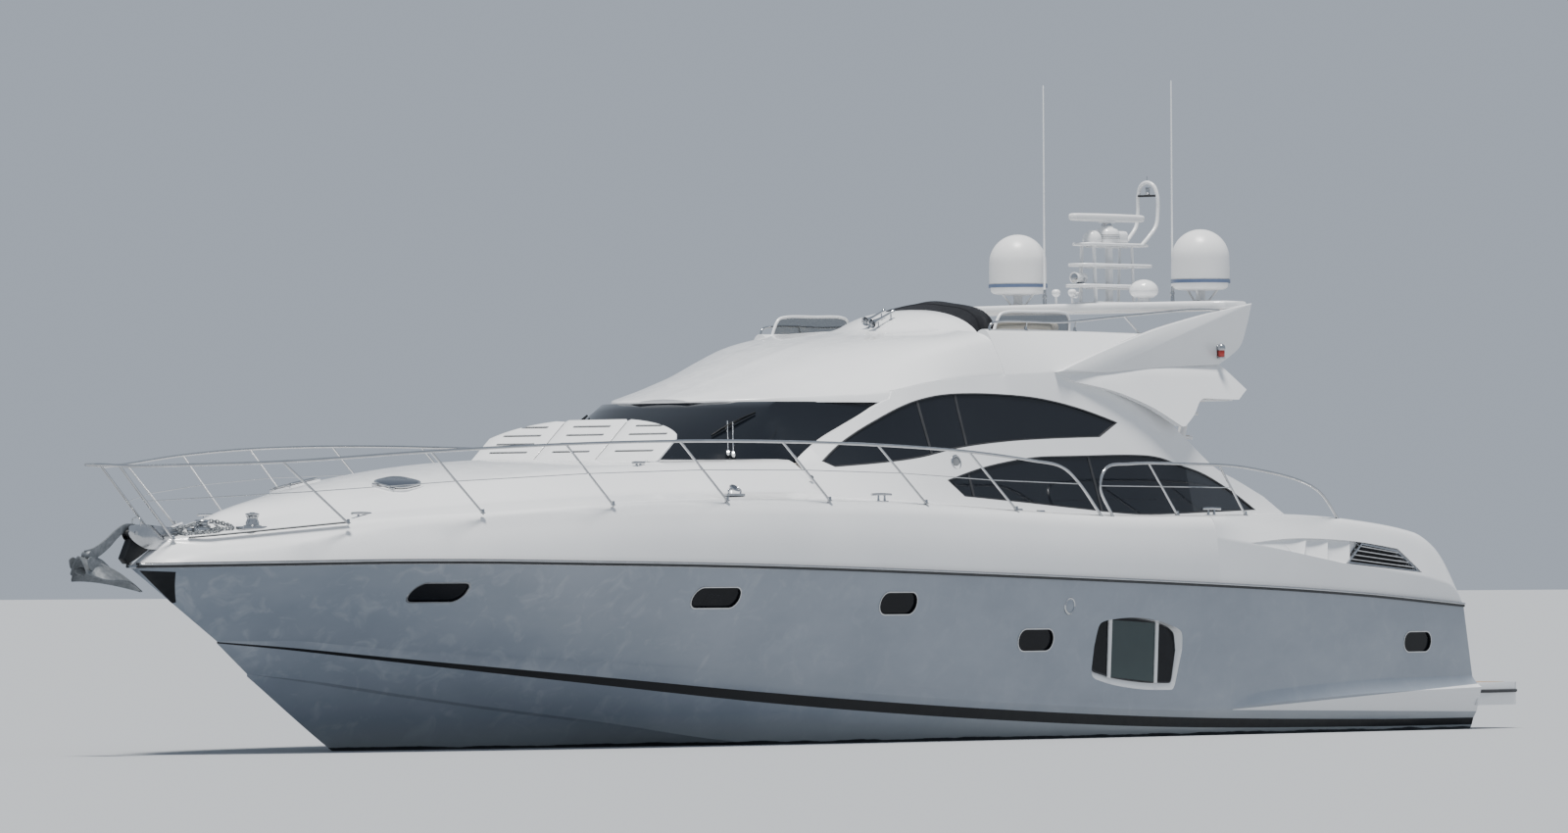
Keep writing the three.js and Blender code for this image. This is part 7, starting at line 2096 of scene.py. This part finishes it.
def add_fittings():
    """Cleats, fairleads, fillers, vents, small lights and the toe rail along the bow, with a painted shadow
    line under it.
    """
    for spot in ((1.355, 2.42, deck_z(1.355, 2.42), 0.34), (-4.79, 2.30, 2.44, 0.34),
                 (4.30, 1.46, 2.955, 0.20), (8.35, 1.05, 2.40, 0.30), (-8.80, 2.16, 1.92, 0.30)):
        pair(cleat(*spot), "steel")
    x, y = 3.63, 2.22
    lips = [tube("lip", [(x + d, y, 2.66), (x + d, y, 2.70), (x + d * 0.4, y, 2.715)], 0.011, STEEL, 10)
            for d in (-0.10, 0.10)]
    pad = plate("pad", rounded_rect(0.30, 0.07, 0.02, 4, (x, y)), 2.64, 2.664, STEEL)
    pair(merge("fairlead", [*lips, pad]), "steel")
    for name, spot, facing, radius, finish in (
            ("side_vent", (-0.45, house_y(-0.45, 3.01) - 0.004, 3.01), (0, 1, 0.12), 0.075, SEAM),
            ("trunk_light", (3.35, 2.0, 2.72), (0, 0.566, 0.824), 0.055, TINTED),
            ("step_light", (1.98, 1.955, 2.84), (0, 0.9, 0.43), 0.026, BLACK),
            ("hull_disc", (-1.72, hull_y(-1.72, 1.452) - 0.004, 1.452), (0, 1, -0.05), 0.085, HULL),
            *[("filler", (x, 2.40, deck_z(x, 2.40) - 0.001), (0, 0, 1), 0.045, STEEL) for x in (-1.1, -1.5)]):
        pair(disc(name, spot, facing, radius, finish, STEEL), "steel")
    edge = [(x, deck_at("edgeY", x) - 0.035, deck_at("edgeZ", x) + 0.016) for x in steps(8.65, 10.1, 12)]
    pair(tube("toe_rail", edge, 0.011, WHITE, 10, 3), "gelcoat")
    # painted shadow: a dark line just under and outboard of the toe rail
    pair(tube("toe_rail_shadow", [(x, y + 0.014, z - 0.010) for x, y, z in edge], 0.007, RUBBER, 8, 3), "gelcoat")


def add_wipers():
    """Pantograph wipers folded on the windscreen."""
    pivot = [(0, 0), (0.026, 0), (0.026, 0.05), (0.016, 0.07), (0, 0.072)]
    for sign, side in ((1, "port"), (-1, "starboard")):
        away = Vector((0.6, 0.42 * sign, 0.68))
        blade = ((0.33, 0.40), (0.38, 0.59), (0.43, 0.78))
        low, middle, high = [screen_point(sign * turn, t) for turn, t in blade]
        foot = screen_point(sign * 0.50, 0.10)
        elbow = middle + away * 0.05
        parts = []
        for step in (Vector((0, 0, 0)), Vector((0.02, -0.055 * sign, 0.012))):
            parts += [turned("pivot", pivot, foot + step, STEEL, 16, axis=away),
                      tube("arm", [foot + step + away * 0.04, elbow + step], 0.007, STEEL, 8)]
        parts += [tube("blade", [low + away * 0.022, middle + away * 0.026, high + away * 0.022], 0.009,
                       BLACK, 8),
                  tube("spine", [low + away * 0.03, elbow, high + away * 0.03], 0.006, BLACK, 8)]
        finish_piece(merge(f"wiper_{side}", parts), "steel")


def add_dash():
    """Dark shelf under the windscreen, its edges rounded."""
    side = [(x, -min(side_y(x, 2.68), side_y(x, 2.95)) + 0.085) for x in (1.26, 1.5, 1.75, 1.86)]
    side.append((1.97, -1.45))
    ring = vectors(*side, *[(x, -y) for x, y in side[::-1]])
    finish_piece(plate("dash_shelf", ring, 2.645, 3.00, INSIDE, round_edge=0.02), "gelcoat")


# Cockpit and stern

def add_platform():
    """Bathing platform with its teak inlay, rub strip and stair treads."""
    finish_piece(copy_of("bathing_platform", "platform", WHITE, 0.03, 3), "gelcoat", "bathing_platform")
    side = [(-9.80, 2.33), (-10.35, 2.30), (-10.62, 2.20), (-10.79, 1.98), (-10.84, 1.70)]
    ring = vectors(*side, *[(x, -y) for x, y in side[::-1]])
    finish_piece(plate("platform_teak", ring, 0.524, 0.533, TEAK, round_edge=0.002), "teak")
    side = [(-9.78, 2.422), (-10.20, 2.405), (-10.58, 2.362), (-10.79, 2.22), (-10.89, 1.98), (-10.905, 1.70)]
    line = [(x, y, 0.43) for x, y in (*side, *[(x, -y) for x, y in side[::-1]])]
    finish_piece(merge("platform_rub_strip", [tube("strip", line, 0.020, RUBBER, 10, 4)]), "steel")
    for n, (x, z, deep) in enumerate(((-9.572, 0.83, 0.11), (-9.385, 1.13, 0.20), (-9.155, SOLE_Z, 0.20))):
        ring = rounded_rect(deep, 0.66, 0.02, 4, (x, 1.715))
        pair(plate(f"stair_pad_{n}", ring, z + 0.0005, z + 0.010, TEAK, round_edge=0.002), "teak")


def add_transom():
    """Transom moulding with its garage door seam and latches, and the stair grab rails."""
    finish_piece(copy_of("transom", "transom_moulding", WHITE, 0.03, 3), "gelcoat", "transom")
    rows = [(topside(0, p.y).x - 0.001, p.x, p.y) for p in rounded_rect(2.3, 0.66, 0.06, 5, (0, 1.02))]
    seam = tube("seam", [*rows, rows[0]], 0.006, SEAM, 8, straight=True)
    latch = [disc("latch", (topside(0, 0.80).x, y, 0.80), (-1, 0, 0.33), 0.03, STEEL, STEEL)
             for y in (-0.8, 0.8)]
    latch = merge("garage_latches", latch)
    finish_piece(seam, "gelcoat")
    finish_piece(latch, "steel")
    line = [(x, 1.37, z) for x, z in ((-9.02, 2.02), (-9.04, 2.30), (-9.20, 2.34), (-9.42, 2.16),
                                      (-9.50, 1.92), (-9.52, 1.66))]
    base = [(0, 0), (0.03, 0), (0.028, 0.008), (0.016, 0.014), (0, 0.014)]
    ends = ((-9.02, 2.02), (-9.52, 1.66))
    parts = [tube("rail", line, 0.014, STEEL, 12, 6)]
    parts += [turned("base", base, (x, 1.332, z), STEEL, 16, axis=(0, 1, 0)) for x, z in ends]
    parts += [tube("end", [(x, 1.335, z), (x, 1.372, z)], 0.013, STEEL, 10) for x, z in ends]
    pair(merge("stair_grab_rail", parts), "steel")


def add_bench():
    """Cockpit bench: moulded base with three seat and three back cushions."""
    base = bevel(box_piece("bench_base", (-8.7496, -1.249, 1.4504), (-8.15, 1.249, 1.775), WHITE), 0.02, 3)
    finish_piece(base, "gelcoat", "cockpit_bench")
    for n in range(3):
        low, high = -1.245 + 0.83 * n + 0.004, -1.245 + 0.83 * (n + 1) - 0.004
        cushion(f"bench_seat_{n + 1}", (-8.60, low, 1.777), (-8.155, high, 1.888))
        cushion(f"bench_back_{n + 1}", (-8.745, low, 1.777), (-8.612, high, 2.058), "x")


def add_bulkhead():
    """Aft bulkhead with its trim, fixed pane and the sliding door."""
    finish_piece(copy_of("aft_bulkhead", "bulkhead", WHITE, 0.006), "gelcoat", "aft_bulkhead")
    ring = rounded_rect(1.05, 1.32, 0.03, 4, (-1.135, 2.80))
    finish_piece(plate("bulkhead_window", ring, -4.54, -4.528, GLASS, "yz"), "glass")
    leaf, hole, pane = [rounded_rect(wide, tall, soft, 4, (0.175, z)) for wide, tall, soft, z in (
        (1.13, 1.87, 0.04, 2.655), (0.99, 1.71, 0.03, 2.665), (1.0, 1.72, 0.03, 2.665))]
    leaf = plate("frame", leaf, -4.6025, -4.5635, STEEL, "yz", 0.003)
    cut(leaf, plate("hole", hole, -4.7, -4.5, STEEL, "yz"))
    pane = plate("pane", pane, -4.589, -4.577, GLASS, "yz")
    grip = tube("grip", [(-4.6035, -0.348, 2.50), (-4.6035, -0.348, 2.90)], 0.007, BLACK, 10)
    finish_piece(merge("saloon_door_leaf", [leaf, pane, grip]), "glass", "saloon_door", body="door")


# Running gear and engines

def foil_ring(chord, thick, count=9):
    """Closed aerofoil section: distance from mid-chord to the nose, and half thickness."""
    upper = []
    for n in range(count + 1):
        t = 0.5 * (1 - math.cos(math.pi * n / count))
        swell = 1.4845 * math.sqrt(t) - 0.63 * t - 1.758 * t ** 2 + 1.4215 * t ** 3 - 0.518 * t ** 4
        upper.append(((0.5 - t) * chord, max(thick * swell, 0.0006)))
    return upper + [(a, -b) for a, b in upper[::-1]]


SHAFT_TURN = math.radians(9.7)
SHAFT_AXIS = Vector((math.cos(SHAFT_TURN), 0, math.sin(SHAFT_TURN)))
PROP_AT = Vector((-8.68, 1.0, -0.951))
BLADE = table(
    "r chord thick",
    (0.040, 0.115, 0.030), (0.080, 0.150, 0.026), (0.130, 0.195, 0.021), (0.190, 0.228, 0.016),
    (0.240, 0.222, 0.012), (0.280, 0.190, 0.009), (0.305, 0.150, 0.007), (0.320, 0.105, 0.005),
    (0.328, 0.055, 0.003))


def add_propellers():
    """Four-bladed propellers with twisted, raked aerofoil blades, hub, cone and nut."""
    pitch, steepest = 1.05, math.radians(62)
    profile = [(0, -0.109), (0.018, -0.108), (0.022, -0.094), (0.036, -0.086), (0.052, -0.066),
               (0.060, -0.03), (0.0615, 0.02), (0.058, 0.07), (0.050, 0.088), (0, 0.089)]
    parts = [turned("hub", profile, PROP_AT, BRONZE, 36, axis=SHAFT_AXIS)]
    across = Vector((0, 1, 0))
    up = SHAFT_AXIS.cross(across)
    for k in range(4):
        angle = math.radians(52 + 90 * k)
        rings = []
        for row in BLADE:
            r = row["r"]
            slope = min(math.atan(pitch / (2 * math.pi * r)), steepest)
            along, round_it = math.cos(slope), math.sin(slope)
            lean = angle - 0.30 * (r / 0.33) ** 2.2 + 0.1
            out = up * math.cos(lean) + across * math.sin(lean)
            ahead = up * -math.sin(lean) + across * math.cos(lean)
            ring = []
            for a, b in foil_ring(row["chord"], row["thick"], 8):
                wrap = (a * along - b * round_it) / r
                direction = out * math.cos(wrap) + ahead * math.sin(wrap)
                ring.append(PROP_AT + direction * r + SHAFT_AXIS * (a * round_it + b * along))
            rings.append(ring)
        parts.append(loft("blade", rings, BRONZE, 60))
    pair(merge("propeller", parts), "bronze", "propeller", body="propeller_port")


def add_rudders():
    """Spade rudders with an aerofoil section, tapering down, and their stocks."""
    rings = []
    for z, share, slim in ((-1.328, 0.0, 0.35), (-1.322, 0.03, 0.8), (-1.30, 0.08, 1.0), (-1.2, 0.25, 1.0),
                           (-1.05, 0.5, 1.0), (-0.9, 0.7, 1.0), (-0.72, 0.93, 1.0), (-0.652, 0.985, 0.8),
                           (-0.641, 1.0, 0.35)):
        fore, aft = 0.205 + 0.043 * share, 0.165 + 0.063 * share
        foil = foil_ring(fore + aft, (0.036 + 0.025 * share) * slim, 12)
        rings.append([(-9.26 + (fore - aft) / 2 + a, 1.0 + b, z) for a, b in foil])
    blade = loft("blade", rings, BRONZE, 50)
    profile = [(0, -0.66), (0.036, -0.66), (0.036, -0.545), (0.030, -0.541), (0, -0.541)]
    stock = turned("stock", profile, (-9.26, 1.0, 0), BRONZE, 24)
    pair(merge("rudder", [blade, stock]), "bronze", "rudder", body="rudder_port")


def add_shafts():
    """Shafts with their brackets and zinc anodes."""
    line = copy_of("shaft_port", "shaft_line", STEEL, 0.003)
    profile = [(0.034, -0.06), (0.050, -0.055), (0.054, 0), (0.050, 0.055), (0.034, 0.06), (0.034, -0.06)]
    anode = turned("anode", profile, PROP_AT + SHAFT_AXIS * 1.15, GALVANISED, 24, axis=SHAFT_AXIS)
    pair(merge("shaft", [line, anode]), "steel", "shaft")


def add_engines():
    """Diesel engines: block, sump, heads, plenum, turbocharger, pulleys, gearbox and mounts."""
    y, bore_gap, parts = 0.72, 0.176, []

    def box(low, high, finish=ENGINE_PAINT, width=0.012):
        parts.append(bevel(box_piece("part", low, high, finish), width))
        return parts[-1]

    def lathe(name, profile, spot, finish, sides=28, axis=(0, 0, 1)):
        parts.append(turned(name, profile, spot, finish, sides, axis=axis))

    box((-7.30, y - 0.24, 0.02), (-6.16, y + 0.24, 0.46), width=0.03)
    box((-7.22, y - 0.17, -0.13), (-6.24, y + 0.17, 0.04), BLACK, 0.04)
    cap = [(0, 0), (0.03, 0), (0.03, 0.012), (0.018, 0.026), (0, 0.026)]
    foot = [(0, -0.12), (0.055, -0.12), (0.045, -0.06), (0.02, -0.055), (0.02, 0.02), (0, 0.02)]
    for side in (-1, 1):
        head = box((-7.26, -0.115, 0), (-6.20, 0.115, 0.20), width=0.02)
        lean = Matrix.Rotation(math.radians(-24 * side), 4, "X")
        head.data.transform(Matrix.Translation((0, y + side * 0.20, 0.42)) @ lean)
        for n in range(6):
            lathe("cap", cap, (-7.17 + bore_gap * n, y + side * 0.285, 0.615), STEEL, 14,
                  (0, 0.40 * side, 0.91))
        pipe = [(-6.26 - 0.2 * n, y + side * (0.33 + 0.015 * (n % 2)), 0.36) for n in range(6)]
        parts.append(tube("manifold", pipe, 0.042, GALVANISED, 14, 5))
        for n in range(6):
            x = -7.17 + bore_gap * n
            runner = [(x, y + side * 0.22, 0.43), (x, y + side * 0.33, 0.37)]
            parts.append(tube("runner", runner, 0.024, GALVANISED, 10))
        for x in (-7.05, -6.35):
            out, near = y + side * 0.33, y + side * 0.30
            box((x - 0.07, out - 0.09, -0.142), (x + 0.07, out + 0.09, -0.12), STEEL, 0.004)
            lathe("mount", foot, (x, out, 0), RUBBER, 18)
            box((x - 0.05, near - 0.12, 0.0), (x + 0.05, near + 0.07, 0.03), ENGINE_PAINT, 0.004)
    box((-7.10, y - 0.09, 0.60), (-6.36, y + 0.09, 0.77), WHITE, 0.03)
    turbo = [(0, -0.10), (0.05, -0.10), (0.10, -0.06), (0.12, -0.01), (0.115, 0.04), (0.07, 0.07),
             (0.075, 0.13), (0, 0.13)]
    lathe("turbo", turbo, (-7.28, y, 0.72), GALVANISED, axis=(-1, 0, 0))
    exhaust = [(-7.36, y, 0.72), (-7.50, y, 0.74), (-7.62, y + 0.10, 0.66), (-7.68, y + 0.14, 0.42)]
    parts.append(tube("exhaust", exhaust, 0.062, STEEL, 18, 8))
    for dy, z, r in ((0, 0.14, 0.12), (-0.18, 0.38, 0.07), (0.18, 0.36, 0.06), (0, 0.52, 0.09)):
        wheel = [(0, 0), (r, 0), (r, 0.012), (r * 0.9, 0.020), (r, 0.028), (r, 0.040), (0.02, 0.044),
                 (0, 0.044)]
        lathe("pulley", wheel, (-6.165, y + dy, z), STEEL, axis=(1, 0, 0))
    belt = [(-6.145, y + dy, z) for dy, z in (
        (-0.115, 0.10), (-0.25, 0.38), (-0.12, 0.58), (0.10, 0.58), (0.24, 0.36), (0.115, 0.10),
        (-0.115, 0.10))]
    parts.append(tube("belt", belt, 0.008, RUBBER, 8, 5))
    rings = []
    for x, half, low, high in ((-7.29, 0.24, -0.02, 0.46), (-7.36, 0.23, -0.02, 0.44),
                               (-7.42, 0.17, -0.06, 0.36), (-7.66, 0.15, -0.10, 0.30),
                               (-7.70, 0.11, -0.06, 0.24)):
        ring = rounded_rect(2 * half, high - low, half * 0.5, 5, (0, (low + high) / 2))
        rings.append([(x, y + p.x, p.y) for p in ring])
    parts.append(loft("gearbox", rings, ENGINE_PAINT, 30))
    coupling = [(0, 0), (0.09, 0), (0.09, 0.03), (0.05, 0.035), (0.05, 0.06), (0, 0.06)]
    lathe("coupling", coupling, (-7.69, y, 0.02), STEEL, axis=(-1, 0, 0))
    can = [(0, -0.11), (0.045, -0.11), (0.05, -0.09), (0.05, 0.07), (0.035, 0.09), (0, 0.09)]
    for n in range(2):
        x = -6.50 - 0.14 * n
        lathe("filter", can, (x, y + 0.36, 0.20), WHITE, 22)
        hose = [(x, y + 0.36, 0.29), (-6.54 - 0.14 * n, y + 0.37, 0.42), (-6.62 - 0.1 * n, y + 0.28, 0.60),
                (-6.70, y + 0.08, 0.70)]
        parts.append(tube("hose", hose, 0.012, RUBBER, 10, 6))
    pair(merge("engine", parts), "engine", "engine")


def add_deck_tread():
    """Non-slip panels let into the side decks."""
    for n, (aft, fore) in enumerate(((-4.3, -2.9), (-2.8, -0.9), (-0.3, 1.1), (1.6, 3.4), (3.9, 5.6))):
        rows = []
        for x in steps(aft, fore, 16):
            pinch = 0.03 * (1 - min(1, min(x - aft, fore - x) / 0.05)) ** 2
            outer, inner = deck_at("edgeY", x) - 0.16 - pinch, deck_at("deckY", x) + 0.07 + pinch
            if outer - inner < 0.06:
                continue
            across = [inner + (outer - inner) * t for t in steps(0, 1, 5)]
            top = [(x, y, deck_z(x, y) + 0.004) for y in across]
            rows.append(top + [(a, b, c - 0.03) for a, b, c in top[::-1]])
        if len(rows) > 3:
            pair(loft(f"tread_{n}", rows, NONSKID, 40), "nonskid")


add_camera()
add_stage()
add_hull()
add_portholes()
add_deck()
add_hatches()
add_quarters()
add_rub_rails()
add_house_sides()
add_cowl()
add_flybridge()
add_windscreen()
add_rails()
add_arch()
add_domes()
add_mast()
add_scanner()
add_backrests()
add_windlass()
add_bow_roller()
add_anchor()
add_helm()
add_lounge()
add_fly_fittings()
add_fittings()
add_wipers()
add_dash()
add_platform()
add_transom()
add_bench()
add_bulkhead()
add_propellers()
add_rudders()
add_shafts()
add_engines()
add_deck_tread()

for node in NODES.values():
    if not node.hide_render:
        old = node.data.materials[0].name.split(".")[0] if node.data.materials else ""
        for i in range(len(node.data.materials)):
            node.data.materials[i] = BY_SLOT.get(old, WHITE)
